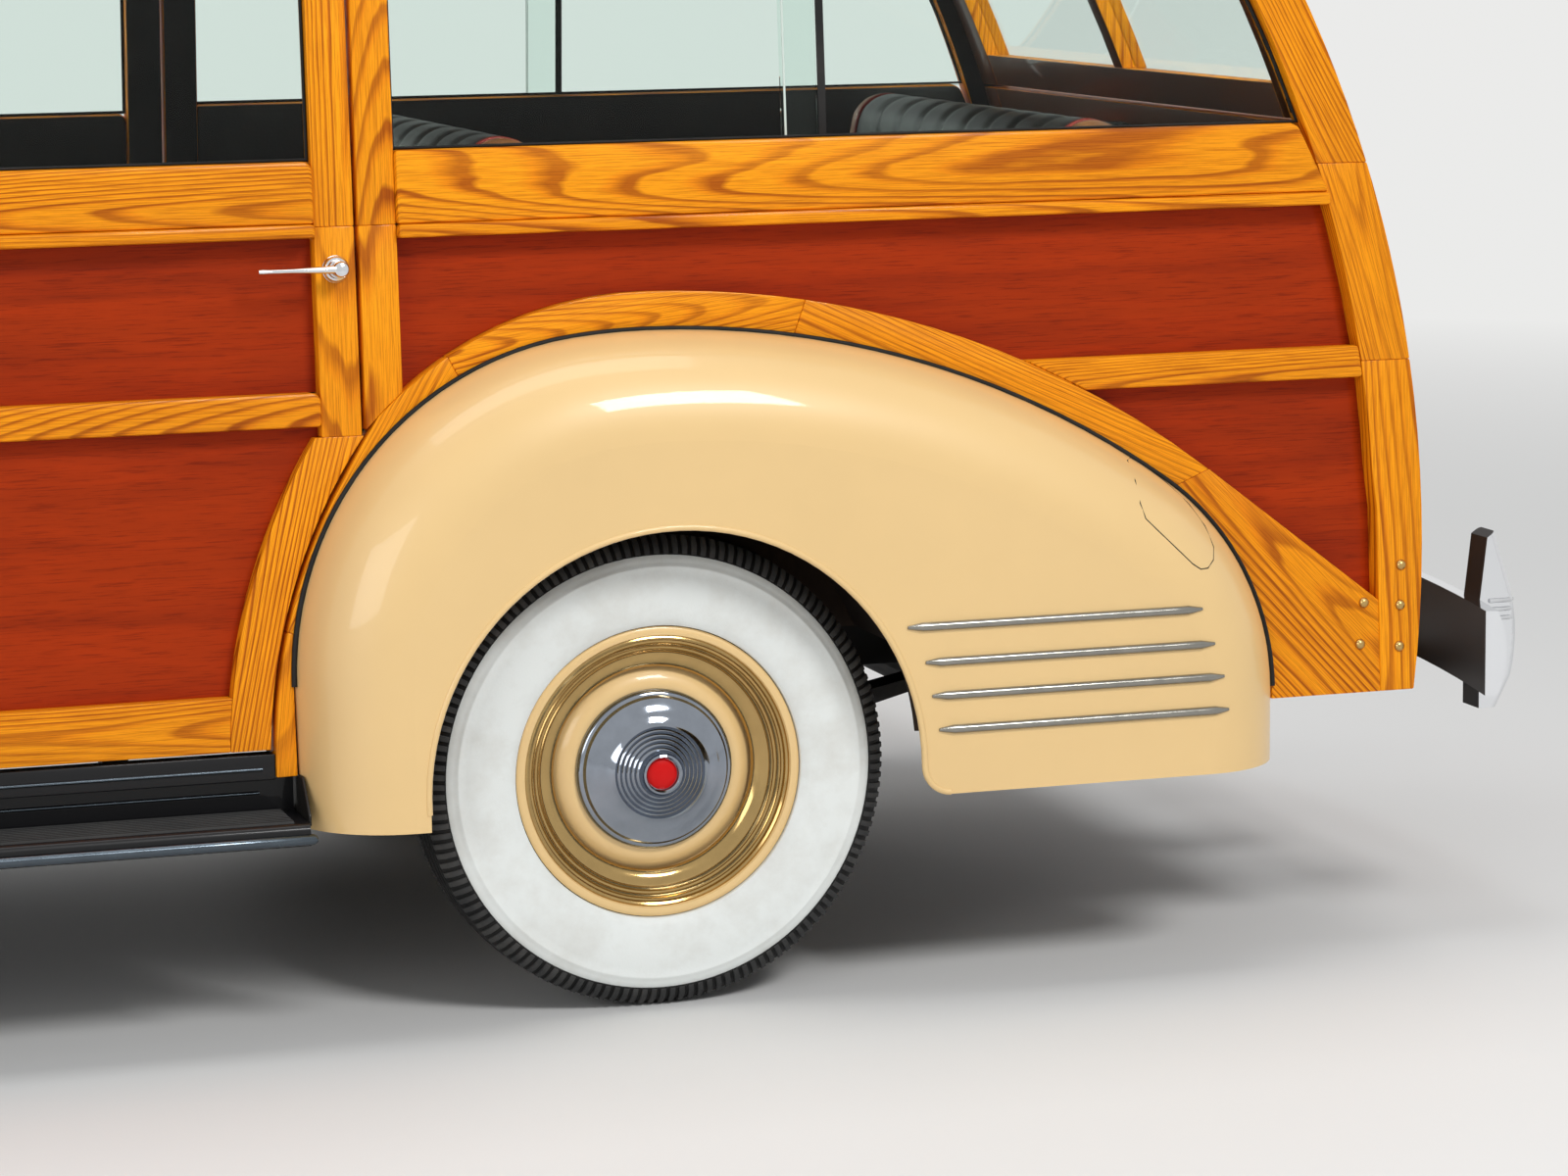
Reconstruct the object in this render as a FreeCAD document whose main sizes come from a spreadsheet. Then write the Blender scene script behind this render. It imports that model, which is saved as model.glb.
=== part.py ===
import FreeCAD, Part

import math
import os
from types import SimpleNamespace

import Sketcher
from FreeCAD import Placement, Rotation, Vector

# A 1940s station wagon with an ash and mahogany body on a steel chassis.
# Lengths are in millimetres and angles in degrees. The front points along -X,
# the left side lies at -Y, +Z is up and the ground is at Z = 0.

# Driving dimensions: name, value, meaning
SIZES = [
    ("wheelbase", 3100, "front axle to rear axle"),
    ("rear_axle_x", 1250, "rear axle behind the middle of the car"),
    ("wheel_plane_y", 770, "centre line to the middle of a tyre"),
    ("tyre_radius", 360, "ground to wheel centre"),
    ("tyre_width", 170, "tyre section width"),
    ("rim_radius", 221, "outer edge of the rim flange"),
    ("rim_seat_radius", 204, "tyre bead seat"),
    ("rim_half_width", 70, "half the rim width over its flanges"),
    ("rim_wall", 5, "thickness of the pressed rim"),
    ("hub_cap_radius", 122, "hub cap"),
    ("hub_cap_height", 58, "hub cap height over the wheel disc"),
    ("stud_circle", 127, "diameter of the wheel stud circle"),
    ("stud_hole", 14, "diameter of a wheel stud hole"),
    ("hub_bore", 82, "centre bore of a wheel"),
    ("belt_half_width", 780, "centre line to the body side at the belt"),
    ("belt_height", 1300, "height of the belt line"),
    ("side_lean", 4.0, "lean of the body side"),
    ("front_taper", 2.4, "angle by which the front doors turn inwards"),
    ("door_gap", 6, "gap round a door"),
    ("wood_depth", 45, "thickness of the wood framing"),
    ("panel_recess", 28, "step from the framing to the panels"),
    ("panel_depth", 7, "thickness of a wood panel"),
    ("glass_recess", 18, "step from the framing to the glass"),
    ("glass_depth", 5, "thickness of the window glass"),
    ("hinge_out", 8, "door hinge lines outside the body side"),
    ("hinge_radius", 6, "radius of a hinge barrel"),
    ("hinge_barrel", 44, "length of a hinge's middle barrel"),
    ("hinge_knuckle", 24, "length of a hinge's outer knuckles"),
    ("hinge_leaf", 36, "hinge line to the end of a leaf"),
    ("hinge_leaf_depth", 4, "thickness of a hinge leaf"),
    ("hinge_play", 0.3, "play between a hinge's knuckles"),
    ("hinge_low", 620, "height of a door's lower hinge"),
    ("hinge_high", 1225, "height of a door's upper hinge"),
    ("gate_hinge_radius", 4.8, "radius of a gate's hinge barrel"),
    ("gate_hinge_y", 430, "centre line to a gate's hinges"),
    ("stile_width", 60, "width of a door stile"),
    ("door_top_rail", 40, "height of the rail above a door window"),
    ("front_door_front", -860, "front edge of the front door"),
    ("b_post_x", -51, "middle of the post between the doors"),
    ("b_post_width", 54, "width of the post between the doors"),
    ("rear_door_rear", 816, "rear edge of the rear door"),
    ("c_post_width", 57, "width of the post behind the rear door"),
    ("a_post_width", 56, "width of the windscreen post"),
    ("screen_slope", 27, "slope of the windscreen from upright"),
    ("sill_bottom", 388, "underside of the sill"),
    ("door_bottom", 432, "bottom edge of a door"),
    ("bottom_rail_top", 512, "top of a door's bottom rail"),
    ("mid_rail_bottom", 900, "underside of the middle rail"),
    ("mid_rail_top", 950, "top of the middle rail"),
    ("door_belt_bottom", 1174, "underside of a door's belt rail"),
    ("door_belt_top", 1285, "top of a door's belt rail"),
    ("quarter_belt_bottom", 1170, "underside of the quarter belt rail"),
    ("quarter_belt_top", 1298, "top of the quarter belt rail"),
    ("roof_rail_bottom", 1660, "underside of the roof rail"),
    ("roof_rail_top", 1715, "top of the roof rail"),
    ("arch_top", 1022, "top of the rear fender at the body side"),
    ("arch_trim", 56, "height of the wood trim over the rear fender"),
    ("trim_front_radius", 585, "front curve of the arch trim"),
    ("trim_rear_radius", 1460, "rear curve of the arch trim"),
    ("door_curve_radius", 822, "curve of the rear door's lower rear edge"),
    ("door_curve_x", 1483, "centre of that curve"),
    ("door_curve_height", 400, "height of the centre of that curve"),
    ("door_curve_top", 884, "height at which that curve starts"),
    ("quarter_bottom", 405, "underside of the body behind the rear fender"),
    ("rear_curve_radius", 1900, "curve of the tail in side view"),
    ("tail_overhang", 1258, "rear axle to the rearmost point of the tail's curve"),
    ("rear_curve_height", 684, "height of the centre of the tail's curve"),
    ("rear_post_width", 83, "width of the rear corner post"),
    ("tailgate_bottom", 700, "bottom edge of the tailgate"),
    ("tailgate_top", 1292, "top edge of the tailgate"),
    ("liftgate_bottom", 1298, "bottom edge of the liftgate"),
    ("liftgate_top", 1648, "top edge of the liftgate"),
    ("gate_gap", 9.5, "gap between a gate and the corner posts"),
    ("gate_hinge_out", 5, "hinge lines of the gates outside their skin"),
    ("gate_recess", 10, "step from the corner posts to the gates"),
    ("gate_stile", 70, "width of a gate's stiles and rails"),
    ("gate_divider", 40, "width of the liftgate's middle bar"),
    ("roof_rise", 110, "rise of the roof's crown over the roof rails"),
    ("roof_corner", 78, "radius of the roof's side corners"),
    ("roof_overhang", 12, "roof edge outside the roof rail"),
    ("roof_front", -790, "front edge of the roof"),
    ("roof_rear", 2300, "rear edge of the roof"),
    ("roof_wall", 22, "thickness of the roof"),
    ("roof_end_wall", 112, "solid part at each end of the roof"),
    ("roof_end_round", 48, "rounding of the roof's front and rear edges"),
    ("fender_reach", 178, "body side at the belt to the outside of a fender"),
    ("fender_wall", 5, "thickness of the fender metal"),
    ("rear_fender_round", 150, "rounding of the rear fender's outer edge"),
    ("arch_lap", 4, "how far the rear fender enters the wood side's arch"),
    ("arch_fit", 0.3, "fit of the rear fender in the wood side's arch"),
    ("wheelhouse_wall", 4, "thickness of the inner wheelhouse"),
    ("bay_bottom", 525, "underside of the engine bay's side walls"),
    ("hub_depth", 40, "depth of the steering wheel's hub"),
    ("screen_pane_half", 640, "centre line to the outer edge of a windscreen pane"),
    ("rear_fender_bottom", 318, "bottom edge of the rear fender"),
    ("rear_arch_radius", 379, "rear wheel opening"),
    ("rear_arch_top", 742, "top of the rear wheel opening"),
    ("front_arch_radius", 396, "front wheel opening"),
    ("front_arch_top", 745, "top of the front wheel opening"),
    ("front_fender_round", 190, "rounding of the front fender's outer edge"),
    ("front_fender_crest", 85, "height of the slope from the front fender down to the hood"),
    ("front_fender_top_x", -1950, "highest place of the front fender"),
    ("front_fender_top", 960, "top of the front fender"),
    ("nose_bottom", 408, "bottom edge of the front fender's nose"),
    ("front_fender_bottom", 340, "bottom edge of the front fender"),
    ("hood_front", -2470, "front of the hood"),
    ("hood_rear", -1110, "rear edge of the hood"),
    ("hood_front_half", 225, "half width of the hood at its nose"),
    ("hood_rear_half", 600, "half width of the hood at the cowl"),
    ("hood_bottom", 880, "bottom edge of the hood"),
    ("hood_front_top", 1075, "top of the hood at its nose"),
    ("hood_rear_top", 1225, "top of the hood at the cowl"),
    ("hood_front_corner", 130, "side corner of the hood at its nose"),
    ("hood_rear_corner", 250, "side corner of the hood at the cowl"),
    ("hood_wall", 4, "thickness of the hood"),
    ("hood_gap", 6, "gap round the hood"),
    ("cowl_wall", 5, "thickness of the cowl metal"),
    ("cowl_gap", 2.3, "gap between the cowl and the windscreen posts"),
    ("hood_hinge_lift", 8, "height of the hood's hinge line over its rear edge"),
    ("hood_sweep", 1359, "hood's hinge line to its front edge"),
    ("cowl_top", 1262, "top of the cowl at the windscreen"),
    ("cowl_corner", 120, "side corner of the cowl at the windscreen"),
    ("screen_nose", 55, "how far the middle of the windscreen stands forward"),
    ("screen_frame", 14, "thickness of the windscreen frame"),
    ("screen_bar", 34, "width of the windscreen frame's bars"),
    ("grille_front", -2560, "front of the grille"),
    ("grille_bottom", 470, "bottom of the grille"),
    ("grille_border", 26, "width of the shell round the grille"),
    ("grille_taper", 22, "how much narrower the grille is at its foot, each side"),
    ("grille_round", 24, "rounding of the grille shell's front edge"),
    ("grille_bar_depth", 26, "depth of a grille bar"),
    ("grille_bar_step", 22, "step from the shell's front to the grille bars"),
    ("grille_bars", 15, "upright bars in the grille"),
    ("grille_bar_width", 9, "width of a grille bar"),
    ("board_top", 338, "top of the running board"),
    ("board_depth", 32, "depth of the running board's edge"),
    ("board_plate", 12, "thickness of the running board"),
    ("board_inner", 770, "centre line to the inner edge of a running board"),
    ("board_width", 160, "running board's width past its inner edge"),
    ("floor_top", 545, "top of the floor"),
    ("floor_depth", 20, "thickness of the floor"),
    ("rail_height", 90, "height of a chassis rail"),
    ("rail_width", 70, "width of a chassis rail"),
    ("rail_y", 400, "centre line to the middle of a chassis rail"),
    ("rail_bottom", 430, "underside of the chassis rails"),
    ("rail_front", -2530, "front end of the chassis rails"),
    ("rail_rear", 2420, "rear end of the chassis rails"),
    ("bumper_front", -2720, "front of the front bumper"),
    ("bumper_rear", 2720, "rear of the rear bumper"),
    ("bumper_bottom", 395, "bottom of a bumper bar"),
    ("bumper_height", 135, "height of a bumper bar"),
    ("bumper_depth", 34, "depth of a bumper bar"),
    ("bumper_radius", 4300, "curve of a bumper bar in plan"),
    ("bumper_half_width", 890, "centre line to the end of a bumper bar"),
    ("guard_y", 750, "centre line to a rear bumper guard"),
    ("front_guard_y", 360, "centre line to a front bumper guard"),
    ("guard_top", 640, "top of a bumper guard"),
    ("guard_width", 58, "width of a bumper guard"),
    ("guard_depth", 46, "how far a guard stands out from the bumper bar"),
    ("lamp_x", -2545, "front edge of a headlamp's glass"),
    ("lamp_length", 260, "length of a headlamp's shell"),
    ("tail_lamp_y", 620, "centre line to a tail lamp"),
    ("tail_lamp_length", 40, "tail lamp's reach behind the body"),
    ("tail_lamp_height", 590, "height of a tail lamp"),
    ("tail_lamp_radius", 40, "radius of a tail lamp"),
    ("lamp_y", 655, "centre line to a headlamp"),
    ("lamp_height", 800, "height of a headlamp"),
    ("lamp_radius", 105, "radius of a headlamp's rim"),
    ("seat_back_top", 1300, "top of the seat backs"),
    ("seat_cushion_top", 850, "top of the seat cushions"),
    ("front_seat_x", 215, "rear of the front seat"),
    ("second_seat_x", 1195, "rear of the second seat"),
    ("third_seat_x", 2165, "rear of the third seat"),
    ("spare_x", 2276, "middle of the spare wheel"),
    ("wheelhouse_inner", 610, "centre line to the inside of a wheelhouse"),
    ("wheelhouse_radius", 425, "radius of a wheelhouse"),
    ("spring_y", 510, "centre line to a rear leaf spring"),
    ("spring_width", 60, "width of a rear leaf spring"),
    ("spring_reach", 640, "axle to the end of a rear leaf spring"),
    ("axle_half", 709.7, "centre line to the end of the rear axle tube"),
    ("kingpin_y", 655, "centre line to the kingpin"),
    ("kingpin_radius", 18, "kingpin"),
    ("axle_tube_radius", 42, "rear axle tube"),
    ("steering_x", -545, "middle of the steering wheel"),
    ("steering_y", 370, "centre line to the steering column"),
    ("steering_height", 1090, "height of the steering wheel"),
    ("steering_rake", 38, "slope of the steering column"),
    ("steering_radius", 215, "steering wheel"),
]

doc = FreeCAD.newDocument("StationWagon")
sheet = doc.addObject("Spreadsheet::Sheet", "Sizes")
for row, (name, value, meaning) in enumerate(SIZES, 1):
    sheet.set("A%d" % row, meaning)
    sheet.set("B%d" % row, str(value))
    sheet.setAlias("B%d" % row, name)
doc.recompute()
S = SimpleNamespace(**{name: float(sheet.get(name)) for name, value, meaning in SIZES})

LEFT, RIGHT = -1, 1
SIDES = ((LEFT, "left"), (RIGHT, "right"))
FRONT_AXLE_X = S.rear_axle_x - S.wheelbase
TAIL_CENTRE_X = S.rear_axle_x + S.tail_overhang - S.rear_curve_radius
FENDER_HALF_WIDTH = S.belt_half_width + S.fender_reach
BOARD_OUTER = S.board_inner + S.board_width
ROOF_CROWN = S.roof_rail_top + S.roof_rise
# Reach of cutters past the car: along it and to each side
CLEAR = 1.2 * S.wheelbase
WIDE = FENDER_HALF_WIDTH + 100
PARTS = []


def keep(obj, label):
    """Name an object after its sub-part and list it for export."""
    obj.Label = label
    PARTS.append(obj)
    return obj


def feature(label, shape):
    """Add a sub-part whose shape is built by functions."""
    obj = doc.addObject("Part::Feature", label)
    obj.Shape = shape
    return keep(obj, label)


def plane(body, role):
    """Find one of a body's own origin planes."""
    return next(item for item in body.Origin.OriginFeatures if item.Role == role)


def arc_between(start, end, radius):
    """Arc between two points; it runs left round its centre where the radius is positive."""
    dx, dy = end[0] - start[0], end[1] - start[1]
    chord = math.hypot(dx, dy)
    reach = math.sqrt(max(radius * radius - chord * chord / 4, 0))
    reach = math.copysign(reach, radius)
    centre_x = (start[0] + end[0]) / 2 - reach * dy / chord
    centre_y = (start[1] + end[1]) / 2 + reach * dx / chord
    first, last = (start, end) if radius > 0 else (end, start)
    from_angle = math.atan2(first[1] - centre_y, first[0] - centre_x)
    to_angle = math.atan2(last[1] - centre_y, last[0] - centre_x)
    if to_angle < from_angle:
        to_angle += 2 * math.pi
    circle = Part.Circle(Vector(centre_x, centre_y, 0), Vector(0, 0, 1), abs(radius))
    return Part.ArcOfCircle(circle, from_angle, to_angle)


def outline_edges(points):
    """Edges of a closed outline of (x, y) or (x, y, radius of the arc to the next point)."""
    edges = []
    for here, there in zip(points, points[1:] + points[:1]):
        if len(here) > 2 and here[2]:
            edges.append(arc_between(here, there, here[2]))
        else:
            start, end = Vector(here[0], here[1], 0), Vector(there[0], there[1], 0)
            edges.append(Part.LineSegment(start, end))
    return edges


def outline_face(points):
    """A flat face inside a closed outline."""
    wire = Part.Wire([edge.toShape() for edge in outline_edges(points)])
    return Part.Face(wire)


def sketch_outline(sketch, points):
    """Draw a closed outline in a sketch and join its corners."""
    first = sketch.GeometryCount
    count = len(points)
    for edge in outline_edges(points):
        sketch.addGeometry(edge, False)
    for index in range(count):
        after = (index + 1) % count
        end_code = 1 if runs_back(points[index]) else 2
        start_code = 2 if runs_back(points[after]) else 1
        sketch.addConstraint(Sketcher.Constraint(
            "Coincident", first + index, end_code, first + after, start_code))


def runs_back(point):
    """True where the arc that leaves a point is stored from its other end."""
    return len(point) > 2 and point[2] < 0


def padded(label, role, outlines, length, back=None, placement=None, midplane=False):
    """A body with one pad of a sketch: its outer outline first, then its openings."""
    body = doc.addObject("PartDesign::Body", label)
    sketch = body.newObject("Sketcher::SketchObject", label + "_sketch")
    sketch.AttachmentSupport = [(plane(body, role), "")]
    sketch.MapMode = "FlatFace"
    for points in outlines:
        sketch_outline(sketch, points)
    if back is not None:
        sketch.setExpression(".AttachmentOffset.Base.z", back)
    pad = body.newObject("PartDesign::Pad", label + "_pad")
    pad.Profile = sketch
    pad.Midplane = midplane
    pad.setExpression("Length", length)
    if placement is not None:
        body.Placement = placement
    return keep(body, label)


def rounded(solid, radius, chosen):
    """Round the edges for which a test holds."""
    return solid.makeFillet(radius, [item for item in solid.Edges if chosen(item)])


def biggest(shape):
    """The largest solid of a shape."""
    return max(shape.Solids, key=lambda item: item.Volume)


# The leaning body side


def side_placement(side, taper=False):
    """Placement that leans a side piece, drawn in X and Z, onto the body side."""
    lean = Rotation(Vector(1, 0, 0), side * S.side_lean)
    foot = Vector(0, side * S.belt_half_width, S.belt_height)
    base = foot - lean.multVec(Vector(0, 0, S.belt_height))
    placed = Placement(base, lean)
    if taper:
        post = Vector(S.b_post_x, side * S.belt_half_width, 0)
        turn = Rotation(Vector(0, 0, 1), side * S.front_taper)
        placed = Placement(Vector(0, 0, 0), turn, post).multiply(placed)
    return placed


def side_depths(side, recess, depth):
    """Expressions for a side piece's pad start and length, from its recess and depth."""
    if side == LEFT:
        return "-(%s + %s)" % (recess, depth), depth
    return recess, depth


def side_piece(label, side, outlines, recess, depth, taper=False):
    """A flat piece of the body side, set in from the skin by its recess."""
    back, length = side_depths(side, recess, depth)
    return padded(label, "XZ_Plane", outlines, length, back, side_placement(side, taper))


def side_solid(side, outlines, recess, depth, taper=False):
    """The same as a bare shape, for pieces that are joined before they are kept."""
    start = side * -recess
    faces = [outline_face(points) for points in outlines]
    face = faces[0]
    for opening in faces[1:]:
        face = face.cut(opening)
    upright = Rotation(Vector(1, 0, 0), 90)
    face.Placement = Placement(Vector(0, start, 0), upright)
    solid = face.extrude(Vector(0, -side * depth, 0))
    if solid.ShapeType == "Compound":
        solid = solid.Solids[0]
    return moved(solid, side_placement(side, taper))


def moved(shape, placement):
    """A copy of a shape carried by a placement."""
    copy = shape.copy()
    copy.Placement = placement.multiply(copy.Placement)
    return copy


def circle_x(centre_x, centre_z, radius, height, side=1):
    """X of a circle at a height, on its rear (1) or front (-1) half."""
    return centre_x + side * math.sqrt(radius * radius - (height - centre_z) ** 2)


def tail_x(height, inset=0.0):
    """X of the tail's curve at a height."""
    return circle_x(TAIL_CENTRE_X, S.rear_curve_height, S.rear_curve_radius - inset, height)


def door_curve(height, gap):
    """X of the curved edge between the rear door and the fender trim."""
    return circle_x(S.door_curve_x, S.door_curve_height, S.door_curve_radius + gap, height, -1)


def slanted(height, at_belt):
    """X of a line that slopes back with the windscreen above the door belt."""
    rise = max(height - S.door_belt_top, 0)
    return at_belt + rise * math.tan(math.radians(S.screen_slope))


def chain(x, height, heading, arcs):
    """Outline points along tangent arcs of (radius, turn); a turn to the left is positive."""
    points = []
    angle = math.radians(heading)
    for radius, turn in arcs:
        bend = math.radians(turn)
        points.append((x, height, math.copysign(radius, turn)))
        centre_x = x + math.copysign(radius, turn) * -math.sin(angle)
        centre_z = height + math.copysign(radius, turn) * math.cos(angle)
        spin = math.copysign(1, turn)
        x = centre_x + spin * radius * math.sin(angle + bend)
        height = centre_z - spin * radius * math.cos(angle + bend)
        angle += bend
    points.append((x, height))
    return points


# Rear fender line on the body side: (radius, turn) from the top down, rearwards and forwards
FENDER_REAR_ARCS = [(1417, -35.6), (408, -54.4)]
FENDER_FRONT_ARCS = [(979, 6.6), (496, 83.4)]


def backwards(points, bottom):
    """A chain that ran down to the left, turned round: from its foot up to its start."""
    foot_x = points[-1][0]
    turned_points = [(foot_x, bottom)]
    for upper, lower in zip(reversed(points[:-1]), reversed(points[1:])):
        turned_points.append((lower[0], lower[1], -upper[2]))
    return turned_points


def rear_fender_line(bottom, inset=0.0):
    """Fender outline from its front foot over the top to its rear foot."""
    top = S.arch_top - inset
    rear_arcs = [(radius - inset, turn) for radius, turn in FENDER_REAR_ARCS]
    front_arcs = [(radius - inset, turn) for radius, turn in FENDER_FRONT_ARCS]
    rear = chain(S.rear_axle_x, top, 0, rear_arcs)
    front = chain(S.rear_axle_x, top, 180, front_arcs)
    return backwards(front, bottom) + rear + [(rear[-1][0], bottom)]


def quarter_trim_points():
    """Top, ends and radii of the wood trim that follows the rear fender."""
    top = S.arch_top + S.arch_trim
    front_low = S.door_curve_top
    front_x = circle_x(S.rear_axle_x, top - S.trim_front_radius,
                       S.trim_front_radius, front_low, -1)
    rear_x = S.rear_axle_x + S.trim_rear_radius * math.sin(math.radians(38))
    rear_z = top - S.trim_rear_radius * (1 - math.cos(math.radians(38)))
    return top, (front_x, front_low), (rear_x, rear_z)


def rear_post_inner(height):
    """X of the corner post's inner edge."""
    if height < 700:
        return tail_x(S.rear_curve_height) - S.rear_post_width + 5
    return tail_x(height) - S.rear_post_width - 0.003 * (height - 700)


def quarter_openings():
    """Panel openings above and below the middle rail, and the window."""
    top, front, rear = quarter_trim_points()
    c_rear = S.rear_door_rear + S.door_gap + S.c_post_width
    belt = S.quarter_belt_bottom
    rail_low, rail_high = S.mid_rail_bottom, S.mid_rail_top
    trim_centre = top - S.trim_rear_radius
    front_z = trim_height(c_rear)
    rail_x = circle_x(S.rear_axle_x, trim_centre, S.trim_rear_radius, rail_high)
    upper = [
        (c_rear, front_z, -S.trim_front_radius),
        (S.rear_axle_x, top, -S.trim_rear_radius),
        (rail_x, rail_high),
        (rear_post_inner(rail_high), rail_high, S.rear_curve_radius),
        (rear_post_inner(belt), belt),
        (c_rear, belt),
    ]
    low_x = circle_x(S.rear_axle_x, trim_centre, S.trim_rear_radius, rail_low)
    slope = math.tan(math.radians(38))
    foot_x = rear_post_inner(600)
    foot_z = rear[1] - slope * (foot_x - rear[0])
    lower = [
        (low_x, rail_low, -S.trim_rear_radius),
        rear,
        (foot_x, foot_z),
        (foot_x, 700, S.rear_curve_radius),
        (rear_post_inner(rail_low), rail_low),
    ]
    glass_top = S.roof_rail_bottom
    window = [
        (c_rear, S.quarter_belt_top),
        (rear_post_inner(S.quarter_belt_top), S.quarter_belt_top, S.rear_curve_radius),
        (rear_post_inner(glass_top), glass_top),
        (c_rear, glass_top),
    ]
    return upper, lower, window


def trim_height(x):
    """Height of the arch trim's front curve at X."""
    top = S.arch_top + S.arch_trim
    reach = x - S.rear_axle_x
    return top - S.trim_front_radius + math.sqrt(S.trim_front_radius ** 2 - reach ** 2)


def rear_door_edge(gap):
    """Rear edge of the rear door's outline, bottom to top, moved back by a gap."""
    bottom = S.door_bottom - gap
    straight = S.rear_door_rear + gap
    return bottom, straight


def rear_door_outline(gap):
    """Outline of the rear door, or of its opening when the gap is not 0."""
    front = S.b_post_x + S.b_post_width / 2 + S.door_gap - gap
    bottom, rear = rear_door_edge(gap)
    top = S.roof_rail_bottom - S.door_gap + gap
    return [
        (front, bottom),
        (door_curve(bottom, -gap), bottom, -(S.door_curve_radius - gap)),
        (rear, S.door_curve_top),
        (rear, top),
        (front, top),
    ]


def front_door_outline(gap):
    """Outline of the front door, or of its opening when the gap is not 0."""
    front = S.front_door_front - gap
    rear = S.b_post_x - S.b_post_width / 2 - S.door_gap + gap
    bottom = S.door_bottom - gap
    top = S.roof_rail_bottom - S.door_gap + gap
    return [
        (front, bottom),
        (rear, bottom),
        (rear, top),
        (slanted(top, front), top),
        (front, S.door_belt_top),
    ]


def door_openings(front, rear, slope, curved):
    """Window opening and the two panel openings of a door."""
    left = front + S.stile_width
    right = rear - S.stile_width
    top = S.roof_rail_bottom - S.door_gap - S.door_top_rail
    belt = S.door_belt_top
    if slope:
        window = [(left, belt), (right, belt), (right, top), (slanted(top, left), top)]
    else:
        window = [(left, belt), (right, belt), (right, top), (left, top)]
    upper = [(left, S.mid_rail_top), (right, S.mid_rail_top),
             (right, S.door_belt_bottom), (left, S.door_belt_bottom)]
    low, high = S.bottom_rail_top, S.mid_rail_bottom
    if curved:
        inset = S.stile_width
        radius = S.door_curve_radius + inset
        low_x = circle_x(S.door_curve_x, S.door_curve_height, radius, low, -1)
        bend = S.door_curve_top
        lower = [(left, low), (low_x, low, -radius), (right, bend), (right, high), (left, high)]
    else:
        lower = [(left, low), (right, low), (right, high), (left, high)]
    return window, upper, lower


def hinge(out, radius):
    """Two hinge halves about Z on the plane Y = 0, with the hinge line outside it.

    The moving leaf points to +X; the fixed one has two knuckles and points to -X.
    """
    half = S.hinge_barrel / 2
    start = half + S.hinge_play
    depth, leaf = S.hinge_leaf_depth, S.hinge_leaf
    barrel = Part.makeCylinder(radius, S.hinge_barrel, Vector(0, out, -half))
    moving = barrel.fuse(Part.makeBox(leaf, depth, S.hinge_barrel, Vector(0, 0, -half)))
    whole = start + S.hinge_knuckle
    side_gap = radius + S.hinge_play
    pieces = [Part.makeBox(leaf - side_gap, depth, 2 * whole, Vector(-leaf, 0, -whole))]
    for low in (start, -whole):
        pieces.append(Part.makeCylinder(radius, S.hinge_knuckle, Vector(0, out, low)))
        pieces.append(Part.makeBox(leaf, depth, S.hinge_knuckle, Vector(-leaf, 0, low)))
    fixed = pieces[0].fuse(pieces[1:])
    skin = Part.makeBox(2 * leaf, radius, 2 * whole, Vector(-leaf, -radius, -whole))
    return moving.cut(skin).removeSplitter(), fixed.cut(skin).removeSplitter()


FIXED_HINGES = []


def door_hinges(side, x, taper):
    """Moving halves of a door's two hinges; the fixed halves are kept for the body."""
    moving = []
    for height in (S.hinge_low, S.hinge_high):
        facing = Placement(Vector(x, 0, height), Rotation(Vector(1, 0, 0), 90 - 90 * side))
        placed = side_placement(side, taper).multiply(facing)
        halves = hinge(S.hinge_out, S.hinge_radius)
        moving.append(moved(halves[0], placed))
        FIXED_HINGES.append(moved(halves[1], placed))
    return moving


def add_side(side, name):
    """Wood side frame, quarter panels and quarter windows of one side."""
    upper, lower, window = quarter_openings()
    seam = S.b_post_x
    low = S.sill_bottom
    rail_top = S.roof_rail_top
    gap = S.door_gap
    fender = rear_fender_line(S.quarter_bottom)
    fender[0] = (fender[0][0], low)
    rear_outline = [(seam, low)] + fender + [
        (tail_x(S.quarter_bottom), S.quarter_bottom, S.rear_curve_radius),
        (tail_x(rail_top), rail_top),
        (seam, rail_top),
    ]
    rear_half = side_solid(side, [rear_outline, rear_door_outline(gap), upper, lower, window],
                           0, S.wood_depth)
    post = S.a_post_width
    front = S.front_door_front - gap
    front_outline = [
        (front - post, low),
        (seam, low),
        (seam, rail_top),
        (slanted(rail_top, front - post), rail_top),
        (front - post, S.door_belt_top),
    ]
    front_half = side_solid(side, [front_outline, front_door_outline(gap)],
                            0, S.wood_depth, taper=True)
    frame = rear_half.fuse(front_half).removeSplitter()
    feature("side_frame_" + name, frame)
    return upper, lower, window


def door(side, name, which):
    """Frame, panels, glass and handle of one door."""
    taper = which == "front"
    if taper:
        outline = front_door_outline(0)
        front = S.front_door_front
        rear = S.b_post_x - S.b_post_width / 2 - S.door_gap
    else:
        outline = rear_door_outline(0)
        front = S.b_post_x + S.b_post_width / 2 + S.door_gap
        rear = S.rear_door_rear
    window, upper, lower = door_openings(front, rear, taper, not taper)
    stem = "%s_door_%s" % (which, name)
    side_piece(stem + "_frame", side, [outline, window, upper, lower],
               "0 mm", "Sizes.wood_depth * 1 mm", taper)
    side_piece(stem + "_glass", side, [window],
               "Sizes.glass_recess * 1 mm", "Sizes.glass_depth * 1 mm", taper)
    panels = [side_solid(side, [points], S.panel_recess, S.panel_depth, taper)
              for points in (upper, lower)]
    feature(stem + "_panels", Part.makeCompound(panels))
    handle_x = rear - S.stile_width / 2
    hinge_line = front - S.door_gap / 2
    hardware = [handle(side, handle_x, taper)] + door_hinges(side, hinge_line, taper)
    feature(stem + "_hardware", Part.makeCompound(hardware))


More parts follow.
